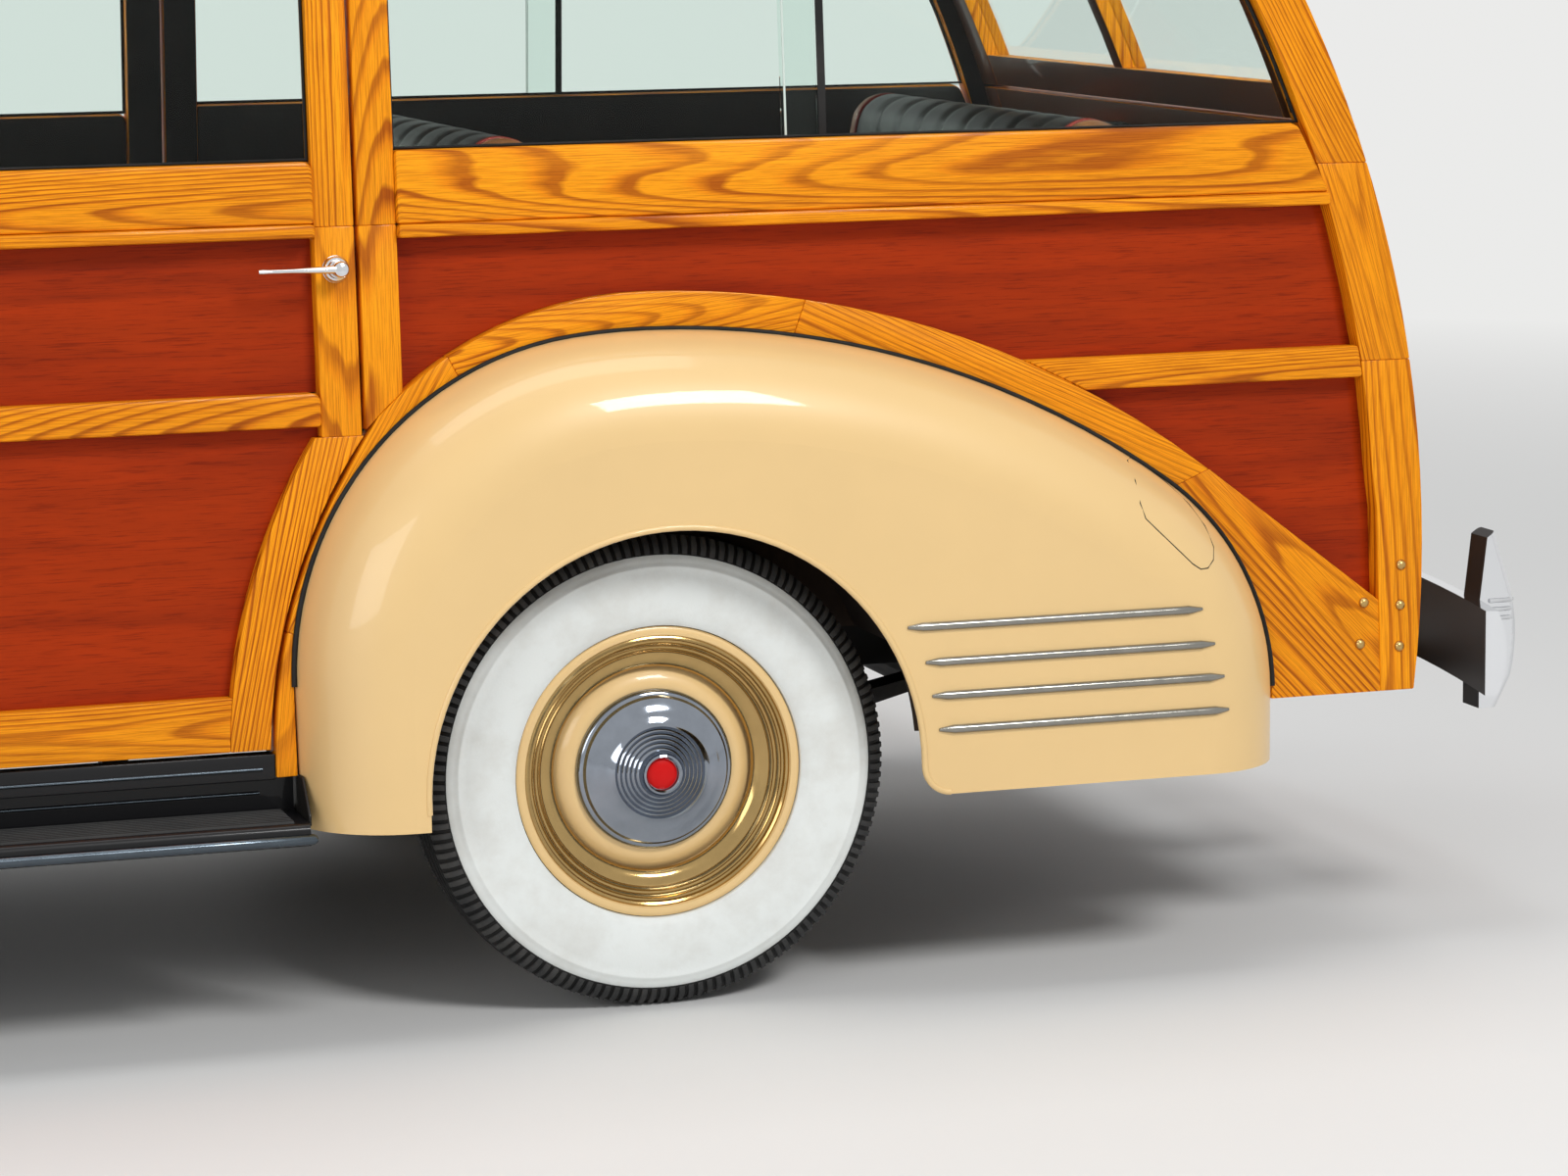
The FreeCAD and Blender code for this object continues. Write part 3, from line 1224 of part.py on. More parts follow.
def bumper(end, guard_y):
    """A curved bumper bar with two upright guards; end is 1 at the rear."""
    outer, centre = bumper_curve(end, guard_y)
    low, high = S.bumper_bottom, S.bumper_bottom + S.bumper_height
    bow = 14
    belly = (S.bumper_height ** 2 / 4 + bow ** 2) / (2 * bow)
    depth = S.guard_depth
    face = upright(outline_face([
        (outer - S.bumper_depth, low), (outer - bow, low, belly),
        (outer - bow, high), (outer - S.bumper_depth, high)]), 0)
    spread = math.degrees(math.asin(S.bumper_half_width / outer))
    face.rotate(Vector(0, 0, 0), Vector(0, 0, 1), -spread)
    bar = face.revolve(Vector(0, 0, 0), Vector(0, 0, 1), 2 * spread)
    bar.translate(Vector(centre, 0, 0))
    pieces = [bar]
    for side in (LEFT, RIGHT):
        back = centre + math.sqrt(outer ** 2 - guard_y ** 2)
        top, foot, swell = S.guard_top, low - 40, 8
        chord = S.bumper_height
        blade = upright(outline_face([
            (back - 20, foot), (back + 12, foot),
            (back + depth - swell, low + 10, (chord ** 2 / 4 + swell ** 2) / (2 * swell)),
            (back + depth - swell, high + 10), (back + 6, top), (back - 8, top - 10),
            (back - 20, high)]), side * guard_y + S.guard_width / 2)
        blade = blade.extrude(Vector(0, -S.guard_width, 0))
        pieces.append(rounded(blade, 9, lambda item: item.BoundBox.XMin > back + 8
                              and item.BoundBox.YLength < 1))
    whole = pieces[0].fuse(pieces[1:])
    if end < 0:
        whole.rotate(Vector(0, 0, 0), Vector(0, 0, 1), 180)
    return biggest(whole)


feature("bumpers", Part.makeCompound([bumper(1, S.guard_y), bumper(-1, S.front_guard_y)]))


# Chassis, engine, axle and floor


# X of the chassis cross-members
CROSS_MEMBERS = (-2410, -640, 100, 700, 1700, 2370)
CROSS_WIDTH, CROSS_STEP = 80, 10
# Arms that carry the bumpers: depth, length of their feet, thickness of their end plates
ARM_DEPTH, ARM_FOOT, ARM_PLATE = 42, 120, 14
# Hangers of the rear springs: length, depth and height over the rail's underside
HANGER_LENGTH, HANGER_DEPTH, HANGER_LIFT = 60, 50, 20
# Arms under the running boards: places, width, depth and reach past the board's inner edge
BOARD_ARMS = (-700, -100, 500)
BOARD_ARM_WIDTH, BOARD_ARM_DEPTH, BOARD_ARM_REACH = 40, 30, 80
# Fuel tank: place, length, depth, drop below the rails, side gap and rounding
TANK_X, TANK_LENGTH, TANK_DEPTH, TANK_DROP, TANK_GAP, TANK_ROUND = 1850, 430, 170, 90, 20, 35
STRAPS = (1950, 2180)
STRAP_WIDTH, STRAP_DEPTH, STRAP_LIFT = 30, 12, 40
# Exhaust pipe and silencer: place, length, radius
PIPE_X, PIPE_LENGTH, PIPE_RADIUS, PIPE_Y, PIPE_DROP = -1330, 2350, 24, 240, 42
MUFFLER_X, MUFFLER_LENGTH, MUFFLER_RADIUS = -150, 620, 75


def bumper_back(end, guard_y, y):
    """Distance from the car's middle to a bumper bar's inner face, at a width."""
    radius, centre = bumper_curve(end, guard_y)
    return centre + math.sqrt((radius - S.bumper_depth) ** 2 - y ** 2)


def cross_box(x, width, low, height, half):
    """A cross-member: a box centred on X and on the car's middle line."""
    return Part.makeBox(width, 2 * half, height, Vector(x - width / 2, -half, low))


rail_in, rail_out = S.rail_y - S.rail_width / 2, S.rail_y + S.rail_width / 2
front_end = 0.3 - bumper_back(-1, S.front_guard_y, rail_out)
rear_end = bumper_back(1, S.guard_y, rail_out) - 0.3
arm_low = S.quarter_bottom - 50
frame_pieces = []
for side, name in SIDES:
    near = min(side * rail_in, side * rail_out)
    frame_pieces.append(Part.makeBox(S.rail_rear - S.rail_front, S.rail_width, S.rail_height,
                                     Vector(S.rail_front, near, S.rail_bottom)))
    for start, stop, foot in ((front_end, S.rail_front + ARM_FOOT, S.rail_front),
                              (S.rail_rear - ARM_FOOT, rear_end, S.rail_rear - ARM_FOOT)):
        frame_pieces.append(Part.makeBox(stop - start, S.rail_width, ARM_DEPTH,
                                         Vector(start, near, arm_low)))
        frame_pieces.append(Part.makeBox(ARM_FOOT, S.rail_width, S.rail_bottom + 1 - arm_low,
                                         Vector(foot, near, arm_low)))
    for x in (front_end, rear_end - ARM_PLATE):
        frame_pieces.append(Part.makeBox(ARM_PLATE, S.rail_width,
                                         S.bumper_bottom + 95 - arm_low,
                                         Vector(x, near, arm_low)))
for x in CROSS_MEMBERS:
    frame_pieces.append(cross_box(x, CROSS_WIDTH, S.rail_bottom + CROSS_STEP,
                                  S.rail_height - 2 * CROSS_STEP, rail_in + 1))
spring_ends = (S.rear_axle_x - S.spring_reach, S.rear_axle_x + S.spring_reach)
for side, name in SIDES:
    spring_out = S.spring_y + S.spring_width / 2
    for x in spring_ends:
        near = min(side * (rail_out - 1), side * spring_out)
        frame_pieces.append(Part.makeBox(HANGER_LENGTH, spring_out - rail_out + 1,
                                         HANGER_DEPTH, Vector(x - HANGER_LENGTH / 2, near,
                                                              S.rail_bottom + HANGER_LIFT)))
    board_out = S.board_inner + BOARD_ARM_REACH
    for x in BOARD_ARMS:
        near = min(side * (rail_out - 1), side * board_out)
        low = S.board_top - S.board_plate - BOARD_ARM_DEPTH
        left = x - BOARD_ARM_WIDTH / 2
        frame_pieces.append(Part.makeBox(BOARD_ARM_WIDTH, board_out - rail_out + 1,
                                         BOARD_ARM_DEPTH, Vector(left, near, low)))
        inner = side * (rail_out - BOARD_ARM_WIDTH / 2) - BOARD_ARM_WIDTH / 2
        frame_pieces.append(Part.makeBox(BOARD_ARM_WIDTH, BOARD_ARM_WIDTH,
                                         S.rail_bottom + CROSS_STEP - low,
                                         Vector(left, inner, low)))
tank = Part.makeBox(TANK_LENGTH, 2 * (rail_in - TANK_GAP), TANK_DEPTH,
                    Vector(TANK_X, TANK_GAP - rail_in, S.rail_bottom - TANK_DROP))
tank = rounded(tank, TANK_ROUND, lambda item: item.BoundBox.YLength > 100)
straps = [cross_box(x, STRAP_WIDTH, S.rail_bottom + STRAP_LIFT, STRAP_DEPTH, rail_in + 1)
          for x in STRAPS]
pipe_z = S.rail_bottom - PIPE_DROP
pipe = Part.makeCylinder(PIPE_RADIUS, PIPE_LENGTH, Vector(PIPE_X, PIPE_Y, pipe_z),
                         Vector(1, 0, 0))
muffler = Part.makeCylinder(MUFFLER_RADIUS, MUFFLER_LENGTH,
                            Vector(MUFFLER_X, PIPE_Y, pipe_z), Vector(1, 0, 0))
hangers = [Part.makeBox(30, 40, S.rail_bottom + 20 - pipe_z, Vector(x, PIPE_Y - 20, pipe_z))
           for x in (CROSS_MEMBERS[1] - 15, CROSS_MEMBERS[3] - 15)]
chassis = frame_pieces[0].fuse(frame_pieces[1:] + straps + [tank, pipe, muffler] + hangers)
feature("chassis", biggest(chassis))

# Engine block: place, length, half width, depth and height of its underside
ENGINE_X, ENGINE_LENGTH, ENGINE_HALF, ENGINE_DEPTH, ENGINE_LOW = -2180, 820, 210, 460, 440
ENGINE_MOUNT_X, ENGINE_MOUNT_Z = -1900, 480
# Gearbox: length, radii, drop over its length, and its rear end in X and Z
GEARBOX_LENGTH, GEARBOX_FRONT, GEARBOX_REAR, GEARBOX_DROP = 520, 108, 70, 40
GEARBOX_END = (-841, S.tyre_radius + GEARBOX_DROP)
BOWL_RADIUS, SHAFT_RADIUS = 140, 36
engine = Part.makeBox(ENGINE_LENGTH, 2 * ENGINE_HALF, ENGINE_DEPTH,
                      Vector(ENGINE_X, -ENGINE_HALF, ENGINE_LOW))
drop = math.atan2(GEARBOX_DROP, GEARBOX_LENGTH)
along = Vector(math.cos(drop), 0, -math.sin(drop))
gearbox_start = Vector(GEARBOX_END[0], 0, GEARBOX_END[1]) - along * GEARBOX_LENGTH
gearbox = Part.makeCone(GEARBOX_FRONT, GEARBOX_REAR, GEARBOX_LENGTH, gearbox_start, along)
mount = cross_box(ENGINE_MOUNT_X, CROSS_WIDTH, ENGINE_MOUNT_Z, 30, rail_in)
feature("engine", biggest(engine.fuse([gearbox, mount])))

axle = Part.makeCylinder(S.axle_tube_radius, 2 * S.axle_half,
                         Vector(S.rear_axle_x, -S.axle_half, S.tyre_radius), Vector(0, 1, 0))
bowl = Part.makeSphere(BOWL_RADIUS, Vector(S.rear_axle_x, 0, S.tyre_radius))
shaft_start = GEARBOX_END[0] + 4
shaft_drop = math.atan2(GEARBOX_END[1] - S.tyre_radius, S.rear_axle_x - shaft_start)
shaft = Part.makeCylinder(SHAFT_RADIUS, (S.rear_axle_x - shaft_start) / math.cos(shaft_drop),
                          Vector(shaft_start, 0, GEARBOX_END[1]),
                          Vector(math.cos(shaft_drop), 0, -math.sin(shaft_drop)))
spring_pieces = []
SPRING_DEPTH, SPRING_EYE = 34, 14
spring_low = S.tyre_radius - S.axle_tube_radius - SPRING_DEPTH
for side, name in SIDES:
    low_x, high_x = spring_ends
    top = S.rail_bottom + HANGER_LIFT
    leaf = upright(outline_face([
        (low_x, top - SPRING_EYE), (S.rear_axle_x, spring_low - SPRING_EYE),
        (high_x, top - SPRING_EYE), (high_x, top),
        (S.rear_axle_x, spring_low + SPRING_DEPTH), (low_x, top)]),
        side * S.spring_y + S.spring_width / 2)
    spring_pieces.append(leaf.extrude(Vector(0, -S.spring_width, 0)))
feature("rear_axle", biggest(axle.fuse([bowl, shaft] + spring_pieces)))

housings = []
for side, name in SIDES:
    near = S.wheelhouse_inner
    tub = [Part.makeCylinder(S.wheelhouse_radius - grow, 400, Vector(
        S.rear_axle_x, side * (near + grow), S.tyre_radius), Vector(0, side, 0))
        for grow in (0, S.wheelhouse_wall)]
    arch = side_solid(side, [rear_fender_line(S.sill_bottom)],
                      S.wood_depth - S.wheelhouse_wall, S.wheelhouse_wall)
    tub_outer = tub[0].common(INSIDE)
    housing = tub_outer.fuse(arch).cut(tub[1])
    low = Part.makeBox(CLEAR, WIDE, S.floor_top - S.floor_depth,
                       Vector(0, min(0, side * WIDE), 0))
    arch_low = arch.cut(tub[1])
    housings.append((housing.cut(low).fuse(arch_low), tub[0]))
floor_low = S.floor_top - S.floor_depth
FLOOR_REAR = tail_x(floor_low, S.gate_recess + S.wood_depth)
pan_rear = Part.makeBox(FLOOR_REAR - S.b_post_x, 2 * WIDE, S.floor_depth,
                        Vector(S.b_post_x, -WIDE, floor_low)).common(INSIDE)
pan_front = Part.makeBox(S.b_post_x - POST_X, 2 * WIDE, S.floor_depth,
                         Vector(POST_X, -WIDE, floor_low)).common(INSIDE_FRONT)
toe = Part.makeBox(POST_X - S.hood_rear - S.cowl_wall, 2 * (S.hood_rear_half - S.cowl_wall),
                   S.floor_depth, Vector(S.hood_rear + S.cowl_wall,
                                         S.cowl_wall - S.hood_rear_half, floor_low))
floor = pan_rear.fuse([pan_front, toe])
for housing, tub in housings:
    floor = floor.cut(tub)
floor = floor.fuse([housing for housing, tub in housings])
feature("floor", biggest(floor))


# Seats


def seat(label, rear, half, cushion_length):
    """A bench seat: a cushion on a riser and a raked back, as one side outline."""
    top, back_top = S.seat_cushion_top, S.seat_back_top
    front = rear - cushion_length - 190
    points = [
        (front + 60, S.floor_top), (rear - 120, S.floor_top), (rear - 20, back_top - 60, 60),
        (rear - 90, back_top), (rear - 160, back_top - 50), (rear - 230, top + 10),
        (rear - 260, top), (front + 40, top, 40), (front, top - 60), (front + 20, top - 170),
        (front + 60, top - 190)]
    return padded(label, "XZ_Plane", [points], "%s * 1 mm" % (2 * half), midplane=True)


# Rear, half width and cushion length of each bench
for label, rear, half, cushion_length in (("front_seat", S.front_seat_x, 650, 480),
                                          ("second_seat", S.second_seat_x, 570, 440),
                                          ("third_seat", S.third_seat_x, 560, 400)):
    seat(label, rear, half, cushion_length)


# Wheels, hubs and tyres


def wheel_shape(capped):
    """A pressed steel wheel turned about Z, with its hub cap and drum or bare."""
    rim, seat_radius, half, wall = S.rim_radius, S.rim_seat_radius, S.rim_half_width, S.rim_wall
    well = seat_radius - 26
    cap, cap_top, face = S.hub_cap_radius, S.hub_cap_height, 40
    bore = S.hub_bore / 2
    outer = [
        (rim - 8, half), (rim, half - 3), (rim - 3, half - 7), (seat_radius, half - 12),
        (seat_radius, 34), (well, 22), (well, -22), (seat_radius, -34),
        (seat_radius, 12 - half), (rim - 3, 7 - half), (rim, 3 - half), (rim - 8, -half),
        (seat_radius - wall, 8 - half), (seat_radius - wall, -37), (well - wall, -25),
        (well - wall, 12), (well - 34, face - 6), (cap - 6, face - 6)]
    if capped:
        inner = [(138, -8), (138, -52), (30, -52), (30, -60), (0, -60), (0, face + cap_top),
                 (26, face + cap_top), (30, face + cap_top - 10),
                 (46, face + cap_top - 16), (cap - 34, face + 26), (cap - 8, face + 14),
                 (cap, face + 2), (cap, face)]
        points = outer + [(cap - 12, 0), (cap - 12, -8)] + inner
    else:
        points = outer + [(88, 22), (bore, 22), (bore, 27), (86, 27), (cap - 8, face)]
    points += [(well - 32, face), (well - wall + 3, 20), (seat_radius - wall, 36),
               (seat_radius - wall, half - 10)]
    face_shape = outline_face(points)
    wheel = face_shape.revolve(Vector(0, 0, 0), Vector(0, 1, 0), 360)
    if not capped:
        for index in range(5):
            angle = math.radians(90 + 72 * index)
            hole = Part.makeCylinder(S.stud_hole / 2, 60,
                                     Vector(S.stud_circle / 2 * math.cos(angle), 0,
                                            S.stud_circle / 2 * math.sin(angle)),
                                     Vector(0, 1, 0))
            wheel = wheel.cut(hole)
    return wheel


def tyre_shape():
    """A tyre turned about Y: tread, shoulders, sidewalls and beads that seat on the rim."""
    outer, half = S.tyre_radius, S.tyre_width / 2
    bead, rim_half = S.rim_seat_radius, S.rim_half_width - 12.3
    tread = half - 24
    middle = (outer + bead) / 2 + 6
    points = [
        (bead, rim_half), (bead, rim_half - 16), (bead + 24, half - 30),
        (outer - 38, half - 30, 0), (outer - 26, 0), (outer - 38, 30 - half),
        (bead + 24, 30 - half), (bead, 16 - rim_half), (bead, -rim_half),
        (bead + 14, -rim_half - 4.9), (bead + 17.4, -rim_half - 9.1),
        (bead + 21, -rim_half - 16), (middle, -half), (outer - 30, 8 - half),
        (outer - 8, -tread), (outer, 0), (outer - 8, tread), (outer - 30, half - 8),
        (middle, half), (bead + 21, rim_half + 16), (bead + 17.4, rim_half + 9.1),
        (bead + 14, rim_half + 4.9)]
    return outline_face(points).revolve(Vector(0, 0, 0), Vector(0, 1, 0), 360)


def wheel_place(shape, x, side):
    """A turned shape carried to a wheel's place, its face outwards."""
    placed = shape.copy()
    if side == LEFT:
        placed.rotate(Vector(0, 0, 0), Vector(0, 0, 1), 180)
    placed.translate(Vector(x, side * S.wheel_plane_y, S.tyre_radius))
    return placed


WHEEL = wheel_shape(True)
TYRE = tyre_shape()
for x, end in ((FRONT_AXLE_X, "front"), (S.rear_axle_x, "rear")):
    for side, name in SIDES:
        feature("%s_wheel_%s" % (end, name), wheel_place(WHEEL, x, side))
        feature("%s_tyre_%s" % (end, name), wheel_place(TYRE, x, side))

spare = wheel_shape(False).fuse(TYRE)
spare.rotate(Vector(0, 0, 0), Vector(0, 0, 1), 90)
spare.translate(Vector(S.spare_x, 0, S.floor_top + S.tyre_radius + 0.3))
feature("spare_wheel", spare)


# Front suspension, knuckles and steering


KINGPIN_LENGTH, STUB_RADIUS, PLATE_RADIUS, PLATE_DEPTH, PLATE_STEP = 200, 26, 132, 5, 60
STEERING_ARM_LENGTH, STEERING_ARM_WIDTH, STEERING_ARM_DROP = 150, 20, 60
# Control arms: inner end, width, thickness, and the foot of each over the wheel's centre
ARM_INNER, ARM_WIDTH, ARM_THICK, ARM_FEET = 340, 44, 27.7, (-128, 100.3)
BEAM_WIDTH, POST_WIDTH, POST_THICK, POST_HEIGHT, POST_DROP = 150, 60, 29.7, 240, 110


def knuckle(side):
    """Kingpin, stub axle and backing plate that carry a front wheel."""
    y, x, z = side * S.kingpin_y, FRONT_AXLE_X, S.tyre_radius
    outward = Vector(0, side, 0)
    pin = Part.makeCylinder(S.kingpin_radius, KINGPIN_LENGTH,
                            Vector(x, y, z - KINGPIN_LENGTH / 2), Vector(0, 0, 1))
    plate_y = S.wheel_plane_y - PLATE_STEP
    stub = Part.makeCylinder(STUB_RADIUS, plate_y - S.kingpin_y - 0.4, Vector(x, y, z), outward)
    plate = Part.makeCylinder(PLATE_RADIUS, PLATE_DEPTH,
                              Vector(x, side * (plate_y - PLATE_DEPTH - 0.4), z), outward)
    arm = Part.makeBox(STEERING_ARM_LENGTH, STEERING_ARM_WIDTH, STEERING_ARM_WIDTH,
                       Vector(x, y - STEERING_ARM_WIDTH / 2, z - STEERING_ARM_DROP))
    return pin.fuse([stub, plate, arm]).removeSplitter()


for side, name in SIDES:
    feature("front_knuckle_" + name, knuckle(side))

beam = cross_box(FRONT_AXLE_X, BEAM_WIDTH, S.rail_bottom - BEAM_WIDTH, BEAM_WIDTH, rail_out)
arms = []
for side, name in SIDES:
    near = min(side * ARM_INNER, side * S.kingpin_y)
    for foot in ARM_FEET:
        low = S.tyre_radius + foot
        arms.append(Part.makeBox(ARM_WIDTH, S.kingpin_y - ARM_INNER, ARM_THICK,
                                 Vector(FRONT_AXLE_X - ARM_WIDTH / 2, near, low)))
        arms.append(Part.makeCylinder(24, ARM_THICK,
                                      Vector(FRONT_AXLE_X, side * S.kingpin_y, low)))
    near = min(side * (rail_out + 0.3), side * (rail_out + 0.3 + POST_THICK))
    arms.append(Part.makeBox(POST_WIDTH, POST_THICK, POST_HEIGHT,
                             Vector(FRONT_AXLE_X - POST_WIDTH / 2, near,
                                    S.tyre_radius - POST_DROP)))
rail_space = Part.makeBox(200, 2 * rail_out, 400,
                          Vector(FRONT_AXLE_X - 100, -rail_out, S.rail_bottom))
feature("front_suspension", biggest(beam.fuse(arms).cut(rail_space)))


def steering_wheel():
    """Rim, hub and three spokes of the steering wheel, turned about Z."""
    grip, hub_radius, spoke_drop = 11, 32, 12
    rim = Part.makeTorus(S.steering_radius - grip, grip)
    hub = Part.makeCylinder(hub_radius, S.hub_depth, Vector(0, 0, -S.hub_depth))
    spokes = []
    for angle in (90, 210, 330):
        spoke = Part.makeCylinder(7, S.steering_radius - grip, Vector(0, 0, -spoke_drop),
                                  Vector(1, 0, 0))
        spoke.rotate(Vector(0, 0, 0), Vector(0, 0, 1), angle)
        spokes.append(spoke)
    wheel = hub.fuse(spokes + [rim]).removeSplitter()
    wheel.Placement = Placement(STEERING, Rotation(Vector(0, 0, 1), -DOWN_COLUMN))
    return wheel


feature("steering_wheel", steering_wheel())


def write_parts():
    """Check every object and write each sub-part to its file."""
    doc.recompute()
    for obj in doc.Objects:
        bad = [state for state in obj.State if state in ("Invalid", "Error")]
        if bad:
            raise RuntimeError("%s failed: %s" % (obj.Name, bad))
    for obj in PARTS:
        if obj.Shape.isNull() or not obj.Shape.isValid():
            raise RuntimeError("%s has no valid shape" % obj.Label)
    os.makedirs("parts", exist_ok=True)
    for obj in PARTS:
        obj.Shape.exportStep("parts/%s.step" % obj.Label)
        print("%-28s %2d solids %10.0f mm3"
              % (obj.Label, len(obj.Shape.Solids), obj.Shape.Volume))


write_parts()
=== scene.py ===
"""Looks of a 1940s wood-bodied station wagon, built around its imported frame.

Lengths are in metres in the frame's axes: +X to the rear, -Y to the left, +Z up.
"""

import logging
import math
import random
from dataclasses import dataclass
from enum import Enum
from typing import Iterable, Optional, Sequence

import bpy
from mathutils import Matrix, Vector


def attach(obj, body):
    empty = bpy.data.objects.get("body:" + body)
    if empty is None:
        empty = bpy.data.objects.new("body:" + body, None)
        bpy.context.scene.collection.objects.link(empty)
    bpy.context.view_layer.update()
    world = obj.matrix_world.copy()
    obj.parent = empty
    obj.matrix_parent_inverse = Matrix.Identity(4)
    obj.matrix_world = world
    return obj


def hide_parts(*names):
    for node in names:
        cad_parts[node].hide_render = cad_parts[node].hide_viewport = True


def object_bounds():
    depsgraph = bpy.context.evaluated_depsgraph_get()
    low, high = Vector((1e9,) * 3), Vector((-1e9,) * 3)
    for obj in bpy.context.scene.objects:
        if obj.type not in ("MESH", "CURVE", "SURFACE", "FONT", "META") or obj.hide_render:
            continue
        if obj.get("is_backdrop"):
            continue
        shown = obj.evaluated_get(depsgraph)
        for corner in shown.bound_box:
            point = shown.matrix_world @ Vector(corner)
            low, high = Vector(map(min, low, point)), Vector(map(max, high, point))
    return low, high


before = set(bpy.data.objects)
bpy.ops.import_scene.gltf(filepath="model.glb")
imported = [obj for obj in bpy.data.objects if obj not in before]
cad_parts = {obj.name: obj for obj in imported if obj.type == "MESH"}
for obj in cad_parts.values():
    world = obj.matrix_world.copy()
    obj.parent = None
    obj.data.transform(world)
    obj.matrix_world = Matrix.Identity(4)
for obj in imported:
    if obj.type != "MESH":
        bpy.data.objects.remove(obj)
LOG = logging.getLogger("wagon")
EASE = 0.0025
WELD = 1e-6
Flat = tuple[float, float]
Spot = tuple[float, float, float]
Colour = Spot
Piece = bpy.types.Object
Finish = bpy.types.Material
Socket = bpy.types.NodeSocket


class Side(Enum):
    """The two sides of the car; the value is the sign of Y."""

    LEFT = -1
    RIGHT = 1

    @property
    def word(self) -> str:
        """The side's name as the frame spells it."""
        return self.name.lower()


class Row(Enum):
    """Front or rear, for doors, wheels and fenders."""

    FRONT = "front"
    REAR = "rear"


@dataclass(frozen=True)
class Body:
    """Driving sizes that the pieces share."""

    rear_axle_x: float = 1.250
    front_axle_x: float = -1.850
    wheel_y: float = 0.770
    wheel_z: float = 0.360
    belt_half: float = 0.780
    belt_z: float = 1.300
    lean: float = 4.0
    taper: float = 2.4
    b_post_x: float = -0.051
    b_post_width: float = 0.054
    gap: float = 0.006
    wood: float = 0.045
    stile: float = 0.060
    sill_z: float = 0.388
    door_z: float = 0.432
    bottom_rail_z: float = 0.512
    mid_low: float = 0.900
    mid_high: float = 0.950
    belt_low: float = 1.174
    belt_high: float = 1.285
    door_top: float = 1.654
    top_rail: float = 0.040
    front_door_x: float = -0.860
    rear_door_x: float = 0.816
    a_post: float = 0.056
    c_post: float = 0.057
    roof_rail_low: float = 1.660
    roof_rail_high: float = 1.715
    screen_slope: float = 27.0
    door_curve: Flat = (1.483, 0.400)
    door_curve_radius: float = 0.822
    door_curve_top: float = 0.884
    tail_centre: Flat = (0.608, 0.684)
    tail_radius: float = 1.900
    rear_post: float = 0.083
    arch_top: float = 1.022
    arch_trim: float = 0.056
    trim_front: float = 0.585
    trim_rear: float = 1.460
    quarter_low: float = 0.405
    quarter_belt: float = 1.298
    rail_foot: float = 1.660
    butt: float = 1.190
    door_edge: float = 0.033
    fender_foot: float = 0.318
    fender_front: Spot = (0.979, 0.496, 96.6)
    fender_rear: Spot = (1.417, 0.408, 54.4)
    ray_centre: Flat = (1.250, 0.40)

    def door_span(self, row: Row) -> Flat:
        """Both ends of a door in X."""
        if row is Row.FRONT:
            return self.front_door_x, self.b_post_x - self.door_edge
        return self.b_post_x + self.door_edge, self.rear_door_x


CAR = Body()


# Shop work: the operators that every piece is made with


def deselect() -> None:
    """Leave edit mode and deselect every object."""
    if bpy.context.object is not None and bpy.context.object.mode != "OBJECT":
        bpy.ops.object.mode_set(mode="OBJECT")
    bpy.ops.object.select_all(action="DESELECT")


def activate(piece: Piece) -> None:
    """Make a piece the only selected and the active object."""
    deselect()
    piece.select_set(True)
    bpy.context.view_layer.objects.active = piece


def ring(name: str, points: Sequence[Sequence[float]], filled: bool = True) -> Piece:
    """Start a piece as a circle whose corners are moved to the corners of its drawing.

    Args:
        name: Name of the piece.
        points: Corners in metres, in order round the outline.
        filled: Whether the outline is a face or a bare ring.

    Returns:
        The new object, selected and active.
    """
    deselect()
    bpy.ops.mesh.primitive_circle_add(vertices=len(points), radius=1,
                                      fill_type="NGON" if filled else "NOTHING")
    piece = bpy.context.object
    piece.name = name
    for vertex, point in zip(piece.data.vertices, points):
        vertex.co = point
    return piece


def pulled(piece: Piece, way: Sequence[float]) -> Piece:
    """Extrude a flat outline into a solid.

    Args:
        piece: The flat outline.
        way: How far it is pulled along each axis.

    Returns:
        The solid.
    """
    edit(piece)
    bpy.ops.mesh.extrude_region_move(TRANSFORM_OT_translate={"value": tuple(way)})
    close_edit()
    return piece


def edit(piece: Piece) -> None:
    """Open a piece in edit mode with everything selected."""
    activate(piece)
    bpy.ops.object.mode_set(mode="EDIT")
    bpy.ops.mesh.select_all(action="SELECT")


def close_edit(outwards: bool = True) -> None:
    """Merge doubles, point the faces outwards and leave edit mode."""
    bpy.ops.mesh.select_all(action="SELECT")
    bpy.ops.mesh.remove_doubles(threshold=WELD)
    if outwards:
        bpy.ops.mesh.normals_make_consistent(inside=False)
    bpy.ops.object.mode_set(mode="OBJECT")


def applied(piece: Piece, kind: str, **settings: object) -> None:
    """Add a modifier to a piece and apply it.

    Args:
        piece: The piece.
        kind: Type of the modifier.
        settings: Its attributes.
    """
    activate(piece)
    modifier = piece.modifiers.new("shop", kind)
    for key, value in settings.items():
        setattr(modifier, key, value)
    bpy.ops.object.modifier_apply(modifier=modifier.name)


def rounded(piece: Piece, width: float, segments: int = 2, angle: float = 40) -> None:
    """Round a piece's sharp edges with an applied bevel.

    Args:
        piece: The piece.
        width: Width of the rounding.
        segments: Facets across it.
        angle: Edges sharper than this are rounded, in degrees.
    """
    applied(piece, "BEVEL", width=width, segments=segments, limit_method="ANGLE",
            angle_limit=math.radians(angle), use_clamp_overlap=True)


def smooth(piece: Piece, angle: float = 35) -> None:
    """Shade a piece smooth up to an edge angle in degrees."""
    activate(piece)
    bpy.ops.object.shade_smooth_by_angle(angle=math.radians(angle))


